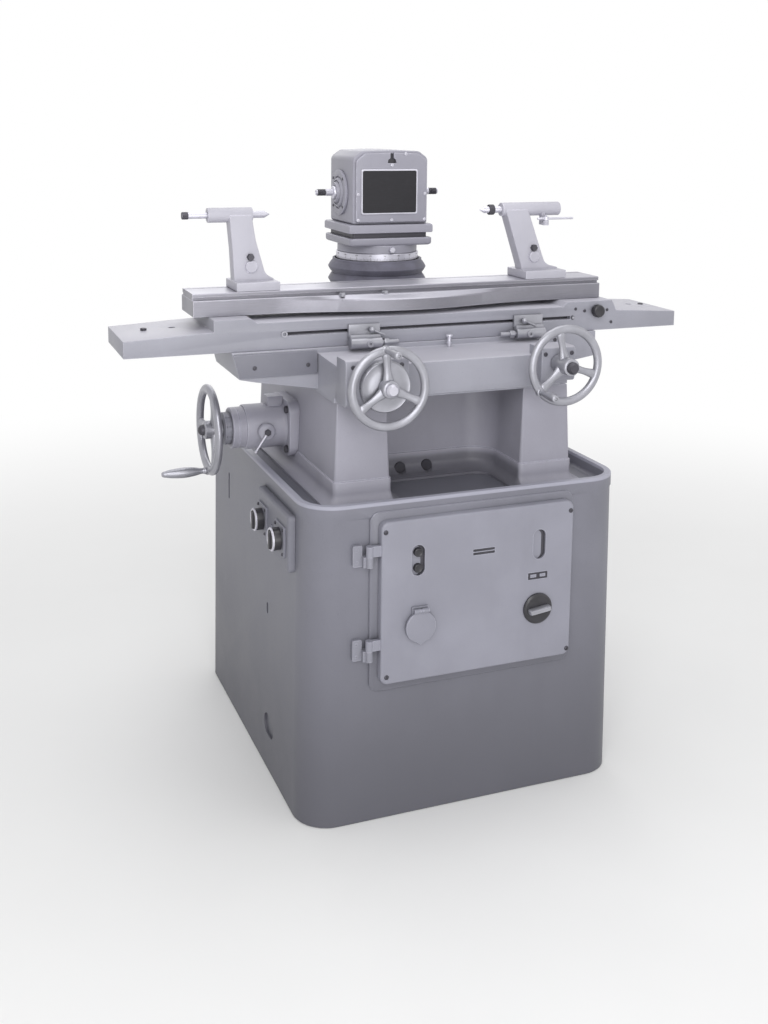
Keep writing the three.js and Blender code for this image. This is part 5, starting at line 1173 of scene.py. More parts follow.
def panel_knob_mesh(y):
    top, r, bevel, end = -KNOB.height, KNOB.radius, KNOB.bevel, KNOB.bore - GAP
    disc = turned("x", [
        (0, top), (r - bevel - 2, top), (r - bevel, top + 0.5), (r - 0.6, top + bevel), (r, top + bevel * 2),
        (r, -GAP), (KNOB.shaft, -GAP), (KNOB.shaft, end), (0, end),
    ], sides=64)
    reach, crest = r - bevel, top - KNOB.grip_height
    outline = boxed(0, 0, KNOB.grip_width, 2 * reach, 4, 1)
    grip = slab("x", outline, [(1, crest), (0, crest + 2), (0, top + GAP)])
    pointer = block(crest - 1, crest + 1, -0.8, 0.8, 5, reach - 3)
    return moved(cut(join(disc, grip), pointer), shift(KNOB_FACE, y, PANEL.z))


class GRINDER_OT_switch_panel(bpy.types.Operator):
    """Builds the switch panel on the cabinet's left side with its two turning switches"""

    bl_idname = "grinder.switch_panel"
    bl_label = "Switch panel"

    def execute(self, context):
        piece("side_panel", panel_mesh(), "root", "paint", "switch_panel")
        r, front = KNOB.radius, -KNOB.height - 0.4
        for name, y in zip(("wheel_switch", "pump_switch"), KNOB_PLACES):
            piece(f"{name}_grip", panel_knob_mesh(y), name, "black plastic", f"{name}_knob")
            # A bright steel ring round the knob's front rim, a painted highlight where the rim catches the
            # light.
            band = turned("x", [
                (r - 3, front + 1), (r - 2.4, front), (r - 0.6, front), (r + 0.8, front + 1.4),
                (r + 0.8, front + 3.4), (r - 1, front + 3.4), (r - 3, front + 1),
            ], (KNOB_FACE, y, PANEL.z), 64)
            piece(f"{name}_band", band, name, "bright steel")
        out = KNOB.plate / 2 - 7
        places = [
            (KNOB_FACE, y + a * out, PANEL.z + b * out, a + b, -math.pi / 2, 0)
            for y in KNOB_PLACES for a in (-1, 1) for b in (-1, 1)
        ]
        screws("panel_screws", "root", (3.2, 1.4), places)
        return {"FINISHED"}


def pedestal_ring(grow, skirt=0):
    """The pedestal's U-shaped outline, grown all round, its pocket's back wall drawn out by a skirt."""
    half, near, far = PEDESTAL.half_width + grow, PEDESTAL.front - grow, PEDESTAL.back + grow
    inner, wall_back = PEDESTAL.pocket_half - grow, PEDESTAL.pocket_back - grow - skirt
    pocket, back, edge = PEDESTAL.pocket_radius - grow, PEDESTAL.radius + grow, max(2, 7 + grow)
    return filleted([
        (-half, near, edge), (-inner, near, edge), (-inner, wall_back, pocket), (inner, wall_back, pocket),
        (inner, near, edge), (half, near, edge), (half, far, back), (-half, far, back),
    ])


DRAINS = [
    (PEDESTAL.drain_x + side * PEDESTAL.drain_spacing / 2, 0, PEDESTAL_FOOT + PEDESTAL.drain_height)
    for side in (-1, 1)
]


def pedestal_mesh():
    foot, ledge, reach = PEDESTAL_FOOT, PEDESTAL.ledge, PEDESTAL.flare
    top, steps = foot + PEDESTAL.ledge_height, 10
    flare = edge_curve(reach, foot + PEDESTAL.lip, [math.pi / 2 * i / steps for i in range(steps + 1)])
    outside = stack("z", [
        *((pedestal_ring(ledge + out, out), z) for out, z in [(reach, foot), *flare]),
        (pedestal_ring(ledge), top - 1.6), (pedestal_ring(ledge - 0.6), top - 0.4),
        (pedestal_ring(ledge - 1.6), top), (pedestal_ring(0), top + 0.6),
        (pedestal_ring(-PEDESTAL.draft), foot + PEDESTAL.height),
    ])
    inside = stack("z", [
        (pedestal_ring(-PEDESTAL.wall), foot - OVERRUN),
        (pedestal_ring(-PEDESTAL.wall - PEDESTAL.draft), foot + PEDESTAL.height - PEDESTAL.top),
    ])
    side, web_top, half = -PEDESTAL.half_width, LIFT_Z - WEB.drop, WEB.width / 2
    web_foot = web_top - WEB.thickness
    web = block(side + PEDESTAL.wall / 2, SCREW.x + WEB.reach, LIFT.y - half, LIFT.y + half, web_foot, web_top)
    back = PEDESTAL.pocket_back
    near, far = back - reach - OVERRUN * 2, back + PEDESTAL.wall * 2
    holes = [
        *(bar("y", PEDESTAL.drain_radius, near, far, at) for at in DRAINS),
        bar("x", LIFT.bore, side - OVERRUN, side + PEDESTAL.wall * 3, (0, LIFT.y, LIFT_Z)),
        bar("z", SCREW.journal + GAP, web_foot - OVERRUN, web_top + OVERRUN, (SCREW.x, LIFT.y, 0)),
        bar("z", SLEEVE.radius + GAP, PEDESTAL_TOP - SLEEVE.drop - OVERRUN, PEDESTAL_TOP + OVERRUN,
            (0, COLUMN.y, 0), FINE),
    ]
    rails = []
    for x in (GUIDE.left, GUIDE.right):
        wide, narrow = GUIDE.width / 2, GUIDE.width / 2 - GUIDE.undercut
        low, high = PEDESTAL_TOP - 1, PEDESTAL_TOP + GUIDE.height
        ring = [(x - narrow, low), (x + narrow, low), (x + wide, high), (x - wide, high)]
        rails.append(plate("y", ring, GUIDE.front, GUIDE.back))
    return join(cut(join(cut(outside, inside), web), *holes), *rails)


class GRINDER_OT_pedestal(bpy.types.Operator):
    """Builds the flared pedestal with its two pillars, pocket and guide rails"""

    bl_idname = "grinder.pedestal"
    bl_label = "Pedestal"

    def execute(self, context):
        piece("pedestal_casting", pedestal_mesh(), "root", "pocket paint", "pedestal", smooth=40)
        back = PEDESTAL.pocket_back
        rods = [bar("y", PEDESTAL.drain_radius - GAP, back - 7, back + 8, at, 48) for at in DRAINS]
        piece("drain_plugs", gathered(*rods), "root", "dark steel")
        return {"FINISHED"}


def wheel_mesh(size, shaft, grip, handle_angle, spoke_angle, hub_back, hub_front):
    """A handwheel about the Y axis, its rim's plane at 0 and its handle's pin towards -Y."""
    middle, thick, rim, bore = size.radius - size.rim, size.rim * 1.2, size.rim, shaft + GAP
    angles = [2 * math.pi * i / 28 for i in range(28)]
    ring = [(size.radius - thick * (1 - math.cos(a)), rim * math.sin(a)) for a in angles]
    hub = turned("y", [
        (bore, -hub_front), (size.hub - rim * 0.55, -hub_front), (size.hub - rim * 0.2, -hub_front + 0.7),
        (size.hub, -hub_front + 2.4), (size.hub, hub_back - 1.5), (size.hub - 1.5, hub_back), (bore, hub_back),
        (bore, -hub_front),
    ], sides=64)
    spokes = []
    start, end, steps = size.hub - size.spoke / 2, middle, 12
    sections = []
    for share in (k / steps for k in range(steps + 1)):
        thin = 1.25 - 0.45 * math.sin(math.pi * min(1, share * 1.15))
        swell = thin if share < 0.87 else 0.92 + 1.6 * (share - 0.87)
        radius = size.spoke * swell * (1 - 0.16 * share) * 1.3
        outline = circle(0, size.dish * (1 - share) ** 1.6, radius, 20, 0.6)
        sections.append((outline, start + (end - start) * share))
    for i in range(3):
        spokes.append(moved(stack("z", sections), turn("y", spoke_angle + 2 * math.pi * i / 3)))
    boss = turned("y", [
        (0, -rim - 0.01), (rim * 0.95, -rim), (rim * 1.15, -rim + 1), (rim * 1.15, rim * 0.5), (0, rim * 0.5),
    ], (0, 0, middle), 32)
    pin = bar("y", grip.bore - GAP, -grip.length - rim, 0, (0, 0, middle), SMALL, (0.6, 0))
    knob = moved(join(boss, pin), turn("y", handle_angle))
    return join(turned("y", [*ring, ring[0]], sides=FINE), hub, *spokes, knob)


def handle_mesh(grip, start, shares):
    outline = [(grip.radius * radius, -start - grip.length * along) for radius, along in smoothed(shares)]
    first = (grip.bore, outline[0][1])
    return turned("y", [first, *outline, (grip.bore, outline[-1][1]), first])


def smoothed(points, steps=3):
    """A smooth curve through the points, whose ends stay sharp."""
    full = [points[0], *points, points[-1]]
    curve = []
    for i in range(1, len(full) - 2):
        a, b, c, d = (Vector(full[i + j]) for j in (-1, 0, 1, 2))
        for t in (k / steps for k in range(steps)):
            bends = (2 * a - 5 * b + 4 * c - d) * t ** 2 + (3 * b - a - 3 * c + d) * t ** 3
            curve.append(tuple(0.5 * (2 * b + (c - a) * t + bends)))
    return [*curve, tuple(points[-1])]


def dial_marks(radius, width, count):
    """Graduations round a drum about Z, from 0 to its width: every fifth longer, every tenth longest."""
    rows = []
    for share, thick, every in ((0.34, 0.42, 1), (0.48, 0.5, 5), (0.6, 0.6, 10)):
        line = block(radius - 0.35, radius + 0.12, -thick / 2, thick / 2, 0.4, 0.4 + width * share)
        rows.append(ringed(line, count // every, "mark"))
    return gathered(*rows)


def dial_figures(radius, along, size, count, step):
    """Raised figures round a drum about the Z axis, upright along it."""
    lay = (turn("z", math.pi / 2), turn("y", math.pi / 2), shift(radius, 0, along))
    return gathered(*(
        moved(numbered(str(i * step), size, 0.12), *lay, turn("z", 2 * math.pi * i / count))
        for i in range(count)
    ))


LIFT_FACE = -PEDESTAL.half_width - LIFT.stand
BODY_FACE = LIFT_FACE - LIFT.flange
RING_FACE = BODY_FACE - LIFT.body
DIAL_FACE = RING_FACE - LIFT.ring
LIFT_WHEEL_X = DIAL_FACE - GAP * 2 - LIFT.dial - LIFT_WHEEL.hub_back
LIFT_PLACE = shift(0, LIFT.y, LIFT_Z)
TO_LEFT = turn("z", -math.pi / 2)


def gearbox_mesh():
    flange = slab("x", boxed(0, 0, LIFT.flange_width, LIFT.flange_height, LIFT.flange_radius, 1), [
        (2, BODY_FACE), (0.6, BODY_FACE + 0.6), (0, BODY_FACE + 2), (0, -PEDESTAL.half_width + PEDESTAL.wall),
    ])
    r, end, back = LIFT.body_radius, RING_FACE, BODY_FACE + GAP
    body = turned("x", [
        (0, end), (r - 2.2, end), (r - 0.6, end + 0.6), (r, end + 2.2), (r, BODY_FACE - 7),
        (r + 1.2, BODY_FACE - 3), (r + 4, back), (0, back),
    ], sides=FINE)
    r, end = LIFT.ring_radius, DIAL_FACE
    nose = turned("x", [
        (0, end), (r - 1.4, end), (r, end + 1.4), (r, end + 12), (r - 1, end + 12.6), (r - 1, end + 14),
        (r, end + 14.6), (r, RING_FACE + GAP), (0, RING_FACE + GAP),
    ], sides=FINE)
    side, left, tall = LIFT.block / 2, BODY_FACE - LIFT.block, LIFT.block_height
    ring = rounded(left, back, -side, side, 3)
    head = stack("z", [(ring, 0), (ring, tall - 2.5), (rounded(left + 2, back, -side + 2, side - 2, 2), tall)])
    at, front = (BODY_FACE - LIFT_LEVER.x, 0, 0), -LIFT.body_radius - LIFT_LEVER.stand
    boss = bar("y", LIFT_LEVER.boss, front, -20, at, ROUND, (1.5, 0))
    bore = bar("y", LIFT_LEVER.pin + GAP, front - OVERRUN, -LIFT.body_radius + LIFT_LEVER.depth, at)
    shaft = bar("x", LIFT.shaft + GAP, DIAL_FACE - OVERRUN, 0)
    low, ledge = pedestal_ring(PEDESTAL.ledge + GAP), PEDESTAL_FOOT + PEDESTAL.ledge_height
    slope = stack("z", [
        (low, PEDESTAL_FOOT), (low, ledge), (pedestal_ring(GAP), ledge),
        (pedestal_ring(GAP - PEDESTAL.draft), PEDESTAL_TOP),
    ])
    return cut(moved(cut(join(flange, body, nose, head, boss), shaft, bore), LIFT_PLACE), slope)


def lever_mesh():
    lever, steps = LIFT_LEVER, 8
    thick, front = lever.thickness, -lever.thickness - 3
    disc = turned("y", [
        (0, -thick), (lever.radius * 0.8, -thick), (lever.radius * 0.95, -thick * 0.8),
        (lever.radius, -thick / 2), (lever.radius, 0), (lever.pin, 0), (lever.pin, lever.depth),
        (0, lever.depth),
    ])
    rod = stack("z", [
        (circle(0, front, lever.rod * (0.6 - 0.1 * share)), lever.length * share)
        for share in (k / steps for k in range(steps + 1))
    ])
    bolt = bar("y", 7, front - 4, front + 2.6, ORIGIN, 6, (1, 0))
    end = ball(lever.rod * 0.8, (0, front, lever.length), 32)
    place = shift(BODY_FACE - lever.x, LIFT.y - LIFT.body_radius - lever.stand - GAP, LIFT_Z)
    return [moved(part, turn("y", lever.angle), place) for part in (disc, join(rod, end), bolt)]


class GRINDER_OT_elevation_drive(bpy.types.Operator):
    """Builds the elevation gearbox with its bolts, dial, clamp lever, large handwheel and handle"""

    bl_idname = "grinder.elevation_drive"
    bl_label = "Elevation drive"

    def execute(self, context):
        lines = context.scene.grinder_sizes.dial_lines
        piece("elevation_gearbox", gearbox_mesh(), "root", "upper paint", "gearbox_housing", smooth=40)
        half, tall = LIFT.flange_width / 2 - LIFT.bolt_inset, LIFT.flange_height / 2 - LIFT.bolt_inset
        places = [
            (BODY_FACE, LIFT.y + a * half, LIFT_Z + b * tall, 0, -math.pi / 2, 0)
            for a in (-1, 1) for b in (-1, 1)
        ]
        bolts = scattered(hex_head(LIFT.bolt_radius, LIFT.bolt_height), places, "dark steel")
        piece("gearbox_bolts", bolts, "root", "dark steel", smooth=25)
        disc, rod, bolt = lever_mesh()
        piece("clamp_boss", disc, "clamp_lever", "upper paint", "gearbox_clamp_lever", smooth=40)
        piece("clamp_rod", rod, "clamp_lever", "bright steel", smooth=40)
        piece("clamp_bolt", bolt, "clamp_lever", "dark steel", smooth=20)
        back, front = DIAL_FACE - GAP, DIAL_FACE - GAP - LIFT.dial
        radius, bore, body = LIFT.dial_radius, LIFT.shaft + GAP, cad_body("elevation_dial")
        drum = turned("x", [
            (bore, front), (radius - 5, front), (radius, front + 1.6), (radius, back - 0.8),
            (radius - 0.8, back), (bore, back), (bore, front),
        ], sides=FINE)
        piece("elevation_drum", moved(drum, LIFT_PLACE), body, "cast steel", "elevation_dial")
        figures = dial_figures(radius, LIFT.dial * 0.72, 4, 10, 10)
        marks = gathered(dial_marks(radius, LIFT.dial - 3, lines), figures)
        place = shift(back, LIFT.y, LIFT_Z)
        piece("elevation_marks", moved(marks, turn("y", -math.pi / 2), place), body, "mark")
        size = LIFT_WHEEL
        wheel = wheel_mesh(
            size, LIFT.shaft, LIFT_HANDLE, math.pi, size.spoke_angle, size.hub_back, size.hub_front,
        )
        place = shift(LIFT_WHEEL_X, LIFT.y, LIFT_Z)
        wheel = moved(wheel, TO_LEFT, place)
        piece("elevation_wheel_rim", wheel, "elevation_wheel", "wheel steel", "elevation_handwheel", smooth=40)
        grip = handle_mesh(LIFT_HANDLE, size.rim + GAP, SPINDLE_SHARES)
        grip = moved(grip, shift(0, 0, size.rim - size.radius), TO_LEFT, place)
        piece("elevation_grip", grip, "elevation_handle", "wheel steel", "elevation_handle", smooth=45)
        return {"FINISHED"}


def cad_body(node):
    """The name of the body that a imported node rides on."""
    return frame["nodes"][node].parent.name.split(":")[1]


def sleeve_mesh():
    low, foot, bore = PEDESTAL_TOP - SLEEVE.drop, PEDESTAL_TOP + GAP, COLUMN.radius + GAP
    r, wide, crown, top, cap = SLEEVE.radius, SLEEVE.flange_radius, SLEEVE.cap_radius, SLEEVE.top, SLEEVE.cap
    rise = foot + SLEEVE.flange
    return turned("z", [
        (bore, low), (r, low), (r, foot), (wide, foot), (wide, rise - 2), (wide - 0.6, rise - 0.6),
        (wide - 2, rise), (r + 8, rise + 0.6), (r + 3, rise + 3), (r + 0.8, rise + 7),
        (r, rise + SLEEVE.flange), (r, top - cap * 2), (r + 1.5, top - cap * 1.7),
        (crown - 1, top - cap * 1.1),
        (crown, top - cap * 0.8), (crown, top - 1), (crown - 1, top), (bore, top), (bore, low),
    ], (0, COLUMN.y, 0), FINE)


def bellows_mesh():
    bottom, top = SLEEVE.top + GAP, RING.bottom - GAP
    steps = BELLOWS.folds * BELLOWS.fold_steps
    outside = [(BELLOWS.valley, bottom)]
    for i in range(steps + 1):
        swell = (1 - abs(2 * (BELLOWS.folds * i / steps % 1) - 1)) ** BELLOWS.sharp
        z = bottom + BELLOWS.collar + (top - bottom - 2 * BELLOWS.collar) * i / steps
        outside.append((BELLOWS.valley + (BELLOWS.tip - BELLOWS.valley) * swell, z))
    outside.append((BELLOWS.valley, top))
    inside = [(radius - BELLOWS.wall, z) for radius, z in reversed(outside)]
    return turned("z", [*outside, *inside, outside[0]], (0, COLUMN.y, 0), FINE)


class GRINDER_OT_column(bpy.types.Operator):
    """Builds the sleeve round the column, the ribbed bellows and the graduated ring"""

    bl_idname = "grinder.column"
    bl_label = "Column"

    def execute(self, context):
        piece("column_sleeve", sleeve_mesh(), "root", "upper paint", "guide_sleeve", smooth=45)
        boot = piece("column_bellows", bellows_mesh(), None, "rubber", "bellows", smooth=70)
        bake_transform(boot)
        low, r = RING.bottom, RING.radius
        ring = tube("z", r, COLUMN.radius + GAP, low, COLUMN.top, (0, COLUMN.y, 0), FINE, (0.8, 1.2))
        piece("turning_ring", ring, "ram", "bright steel", "graduated_ring")
        marks = gathered(dial_marks(r, RING.height - 3, 180), dial_figures(r, RING.height * 0.74, 4, 18, 20))
        piece("ring_marks", moved(marks, shift(0, COLUMN.y, low)), "ram", "mark")
        return {"FINISHED"}


HEAD_FOOT = COLUMN.top + GAP
HEAD_TOP = HEAD.neck + HEAD.lower + HEAD.groove + HEAD.upper
HEAD_PLACE = shift(0, COLUMN.y, HEAD_FOOT)
SPINDLE_AXIS = (0, COLUMN.y, SPINDLE_Z)


def band_ring(half, corner):
    """The outline of one of the base's square bands at an inset, about the column's axis."""
    def outline(inset):
        x, front, back = half - inset, HEAD.front - COLUMN.y + inset, HEAD.back - COLUMN.y - inset
        return rounded(-x, x, front, back, corner)

    return outline


def head_base_mesh():
    neck = bar("z", HEAD.neck_radius, 0, HEAD.neck + GAP, ORIGIN, FINE, (1, 0))
    spigot = bar("z", COLUMN.bore - 2 * GAP, -HEAD.spigot, GAP, sides=FINE)
    bolt = moved(hex_head(HEAD.bolt_radius, 7), FACING, shift(0, -HEAD.neck_radius, HEAD.neck / 2))
    stem = bar("y", HEAD.bolt_radius * 0.7, -HEAD.neck_radius - 1, 0, (0, 0, HEAD.neck / 2), SMALL)
    low, mid = HEAD.neck, HEAD.neck + HEAD.lower
    high, top = mid + HEAD.groove, HEAD_TOP
    narrow = band_ring(HEAD.flange_half, HEAD.cut / 2)
    bands = [
        slab("z", band_ring(HEAD.flange_half, HEAD.cut), [
            (4.5, low), (1.4, low + 1.8), (0, low + 5), (0, mid - 1.5), (1.5, mid),
        ]),
        plate("z", narrow(HEAD.groove_inset), mid - GAP, high + GAP),
        slab("z", band_ring(HEAD.upper_half, HEAD.cut / 2), [
            (1.5, high), (0, high + 1.5), (0, top - 5), (1.2, top - 1.5), (4, top),
        ]),
    ]
    inset = HEAD.groove_inset - 0.2
    dark = plate("z", narrow(inset), mid + 0.05, high - 0.05)
    dark = cut(dark, plate("z", narrow(inset + 1.5), mid - GAP, high + GAP))
    return [moved(part, HEAD_PLACE) for part in (join(neck, spigot, stem, *bands), dark, bolt)]


BOX_BOTTOM = HEAD_FOOT + HEAD_TOP + GAP
COVER_BACK = HEAD.box_front - GAP
COVER_FRONT = COVER_BACK - COVER.thickness


def head_ring(inset):
    """The housing's outline, with its sloping shoulders and flat crown."""
    half, low, high = HEAD.box_half - inset, BOX_BOTTOM + inset, HEAD.box_top - inset
    inner, waist = half - HEAD.shoulder, high - HEAD.shoulder * 0.8
    right = [(half, low, HEAD.foot), (half, waist, 14), (inner, high - 2, 14), (0, high, 90)]
    return filleted(right + [(-x, z, r) for x, z, r in right[-2::-1]])


def housing_mesh():
    quarter, deep, end = math.pi / 2, HEAD.edge * 3, HEAD.box_back
    front = edge_curve(HEAD.edge, HEAD.box_front, (0, 0.4, 0.8, 1.2, quarter))
    angles = (0, 0.3, 0.6, 0.9, 1.2, quarter)
    back = [(deep * (1 - math.cos(a)), end - deep * (1 - math.sin(a))) for a in angles]
    length, side = MOTOR.stator_length / 2 + MOTOR.end_space, MOTOR.stator_radius - MOTOR.end_space
    end = HEAD.box_half + OVERRUN
    return cut(
        slab("y", head_ring, front + back),
        bar("x", MOTOR.stator_radius + GAP, -length, length, SPINDLE_AXIS, FINE),
        bar("x", MOTOR.bearing_radius + GAP, -end, end, SPINDLE_AXIS),
        block(-length, length, HEAD.box_front - OVERRUN, COLUMN.y, SPINDLE_Z - side, SPINDLE_Z + side),
    )


def cover_mesh():
    margin, front, back = COVER.margin, COVER_FRONT, COVER_BACK
    sheet = slab("y", head_ring, [
        (margin + COVER.bevel, front), (margin + 0.6, front + 0.6), (margin, front + 2), (margin, back),
    ])
    top = HEAD.box_top - margin
    wide, narrow, foot = COVER.notch_width / 2, COVER.notch_width / 5, top - COVER.notch_height
    notch = filleted([
        (-wide, foot, 1.5), (wide, foot, 1.5), (wide * 0.8, foot + 8, 2), (narrow, foot + 11, 2),
        (narrow, top + OVERRUN), (-narrow, top + OVERRUN), (-narrow, foot + 11, 2), (-wide * 0.8, foot + 8, 2),
    ], 4)
    # A dark sheet at the back of the notch, painted shade in the notch.
    fill = plate("y", [(x * 0.97, min(z, top - 2) + 0.2) for x, z in notch], back - 1.6, back - 0.4)
    return cut(sheet, plate("y", notch, front - OVERRUN, back - 1)), fill


def cap_mesh(way):
    """A bearing cap of flat steps, with a raised ring and a neck round the spindle."""
    face, bore, r, n = HEAD.box_half + GAP, MOTOR.shaft + GAP, CAP.radius, CAP.neck
    end = face + CAP.reach
    profile = [
        (bore, face), (r - 0.8, face), (r, face + 0.8), (r, face + 5), (r - 1.2, face + 6), (r - 13, face + 6),
        (r - 14, face + 3), (r - 17, face + 3), (r - 18, face + 8), (r - 19.2, face + 9), (n + 4, face + 10),
        (n + 3, face + 7), (n, face + 7), (n - 1, face + 12), (n - 3, end), (bore + 1, end),
        (bore, end - 1.44),
        (bore, face),
    ]
    return turned("x", [(radius, way * along) for radius, along in profile], SPINDLE_AXIS, FINE)


def spindle_meshes():
    """The spindle with its two noses, and their threads."""
    end, nose = MOTOR.shaft_end, MOTOR.shaft_end - MOTOR.nose_length
    r, n, out, pitch = MOTOR.shaft, MOTOR.nose, HEAD.box_half + CAP.reach, 1.1
    side = [
        (n * 0.3, end - 3), (n * 0.4, end - 0.4), (n * 0.66, end), (n * 0.74, end - 1.2), (n * 0.74, nose),
        (n * 0.86, nose - 1), (n * 0.86, out + 6), (r - 3, out + 5), (r - 1, out + 4), (r, out),
    ]
    profile = [(0, 3 - end), *((a, -b) for a, b in side), *side[::-1], (0, end - 3)]
    rows = [
        (n * (0.84 - 0.1 * (i % 2)), nose + 1 + pitch * i) for i in range(int((end - nose - 3) / pitch))
    ]
    inner, first = n * 0.74 + 0.02, rows[0][1] - 0.6
    ring = [(inner, first), *rows, (inner, rows[-1][1] + 0.6), (inner, first)]
    threads = [turned("x", [(a, way * b) for a, b in ring], SPINDLE_AXIS, 32) for way in (-1, 1)]
    return turned("x", profile, SPINDLE_AXIS, 64), gathered(*threads)


def nameplate_meshes():
    """The plate with its raised border, and the dark field in it."""
    back, front = COVER_FRONT - GAP, COVER_FRONT - GAP - PLATE.thickness
    wide, high = PLATE.right - PLATE.left, PLATE.top - PLATE.bottom
    outline = boxed(PLATE.left + wide / 2, PLATE.bottom + high / 2, wide, high, PLATE.radius)
    sheet = slab("y", outline, [(0.7, front), (0, front + 0.7), (0, back)])
    return (
        cut(sheet, plate("y", outline(3), front - 1, front + 0.5)),
        slab("y", outline, [(3.3, front + 0.15), (3.1, front + 0.55)]),
    )


def diagonal_places(radius):
    """Four places on the diagonals of a circle."""
    return [(radius * math.cos(a), radius * math.sin(a)) for a in (math.pi / 4 * k for k in (1, 3, 5, 7))]


class GRINDER_OT_wheelhead(bpy.types.Operator):
    """Builds the turning wheelhead: base, motor housing, cover, bare nameplate, bearing caps and spindle"""

    bl_idname = "grinder.wheelhead"
    bl_label = "Wheelhead"

    def execute(self, context):
        body = "wheelhead"
        base, groove, bolt = head_base_mesh()
        sheet, fill = cover_mesh()
        border, field = nameplate_meshes()
        piece("head_base", base, body, "upper paint", "wheelhead_base", smooth=40)
        piece("head_groove", groove, body, "dark steel")
        piece("head_bolt", bolt, body, "bright steel", smooth=30)
        piece("head_housing", housing_mesh(), body, "upper paint", "spindle_housing", smooth=40)
        piece("head_cover", sheet, body, "upper paint", "front_cover", smooth=40)
        piece("cover_notch_fill", fill, body, "mark")
        inset = COVER.screw_inset
        low, high, side = BOX_BOTTOM + inset, HEAD.box_top - inset, HEAD.box_half - inset
        spots = [(x, low) for x in (-side, 0, side)]
        spots += [(-side, SPINDLE_Z), (side, SPINDLE_Z), (0, high - 22), (32, high + 2)]
        places = facing([(x, COVER_FRONT, z) for x, z in spots], 0.9)
        screws("cover_screws", body, (3.6, 1.8), places, "bright steel")
        piece("nameplate_border", border, body, "bright steel", "nameplate")
        piece("nameplate_field", field, body, "nameplate")
        for name, way in (("left", -1), ("right", 1)):
            piece(f"{name}_cap", cap_mesh(way), body, "upper paint", f"{name}_bearing_cap", smooth=40)
            face = way * (HEAD.box_half + GAP + CAP.screw_face)
            ring = [
                (face, COLUMN.y + y, SPINDLE_Z + z, 0, way * math.pi / 2, 0)
                for y, z in diagonal_places(CAP.screws)
            ]
            screws(f"{name}_cap_screws", body, (3.2, 1.8), ring)
        spindle, threads = spindle_meshes()
        piece("grinding_spindle", spindle, "spindle", "bright steel", "spindle", smooth=30)
        piece("spindle_threads", threads, "spindle", "dark steel", smooth=20)
        return {"FINISHED"}


class GRINDER_OT_cross_slide(bpy.types.Operator):
    """Builds the cross slide with its wings, brackets, cover, screws and stop pin"""

    bl_idname = "grinder.cross_slide"
    bl_label = "Cross slide"

    def execute(self, context):
        sizes = context.scene.grinder_sizes
        body, near, wing = "cross_slide", SADDLE.front, SADDLE.wing_front
        piece("slide_casting", drawn(body), body, "table paint", body, sizes.casting_edge, 40)
        piece("wing_cover", drawn("saddle_cover"), body, "paint", "saddle_cover", sizes.machined_edge)
        cover = wing - GAP - 4
        spots = ((-384, cover, 873), (-277, cover, 873), (269, wing, 890))
        screws("slide_screws", body, (4.2, 1.8), facing(spots, 0.8))
        spots = ((-242, 838), (-146, 838), (-242, 896), (-146, 896), (156, 896), (214, 896))
        places = facing([(x, SADDLE.bracket_front, z) for x, z in spots], 0, 0.3)
        screws("bracket_screws", body, (4.4, 2), places)
        foot = SADDLE.deck_front + (PIN.y - near) / (wing - near) * (SADDLE.deck_back - SADDLE.deck_front)
        low, top, r, head = SADDLE.deck_front - PIN.depth + GAP, foot + PIN.height, PIN.radius, PIN.head_radius
        neck = top - PIN.head_height
        pin = turned("z", [
            (0, low), (r, low), (r, foot + 6), (r + 1.6, foot + 6), (r + 1.6, foot + 7.5), (r, foot + 7.5),
            (r, neck), (head - 0.6, neck), (head, neck + 0.6), (head, top - 1), (head - 1, top), (0, top),
        ], (PIN.x, PIN.y, 0))
        piece("table_stop_pin", pin, body, "bright steel", "stop_pin")
        return {"FINISHED"}


class GRINDER_OT_feeds(bpy.types.Operator):
    """Builds the two front handwheels with their handles and the graduated cross-feed dial"""

    bl_idname = "grinder.feeds"
    bl_label = "Front handwheels"

    def execute(self, context):
        bracket = SADDLE.bracket_front - GAP
        front, back, r, bore = bracket - DIAL.thickness, bracket, DIAL.radius, FEED.screw + GAP
        for name, at, shaft, angle, face, hub_front in (
            ("cross", FEED, FEED.screw, WHEEL.cross_angle, front - GAP, WHEEL.hub_front),
            ("table", TRAVERSE, TRAVERSE.shaft, WHEEL.table_angle, bracket, TRAVERSE.hub_front),
        ):
            place, middle = shift(at.x, at.wheel_y, at.z), WHEEL.radius - WHEEL.rim
            wheel = moved(wheel_mesh(WHEEL, shaft, HANDLE, angle, angle, face - at.wheel_y, hub_front), place)
            piece(f"{name}_wheel_rim", wheel, f"{name}_wheel", "wheel steel", f"{name}_handwheel", smooth=40)
            out = shift(middle * math.sin(angle), 0, middle * math.cos(angle))
            grip = moved(handle_mesh(HANDLE, WHEEL.rim + GAP, GRIP_SHARES), out, place)
            piece(f"{name}_grip", grip, f"{name}_handle", "wheel steel", f"{name}_handle", smooth=45)
        drum = turned("y", [
            (bore, front), (r * 0.6, front), (r * 0.66, front + 1), (r * 0.9, front + 1),
            (r * 0.95, front + 0.3), (r - 0.8, front + 1.2), (r, front + 2.4), (r, back - 0.8),
            (r - 0.8, back), (bore, back), (bore, front),
        ], (FEED.x, 0, FEED.z), FINE)
        piece("cross_drum", drum, "cross_wheel", "wheel steel", "cross_dial", smooth=30)
        lines = dial_marks(r, DIAL.thickness - 4, context.scene.grinder_sizes.dial_lines)
        marks = gathered(lines, dial_figures(r, DIAL.thickness * 0.62, 4.2, 20, 5))
        piece("cross_marks", moved(marks, FACING, shift(FEED.x, back, FEED.z)), "cross_wheel", "mark")
        return {"FINISHED"}


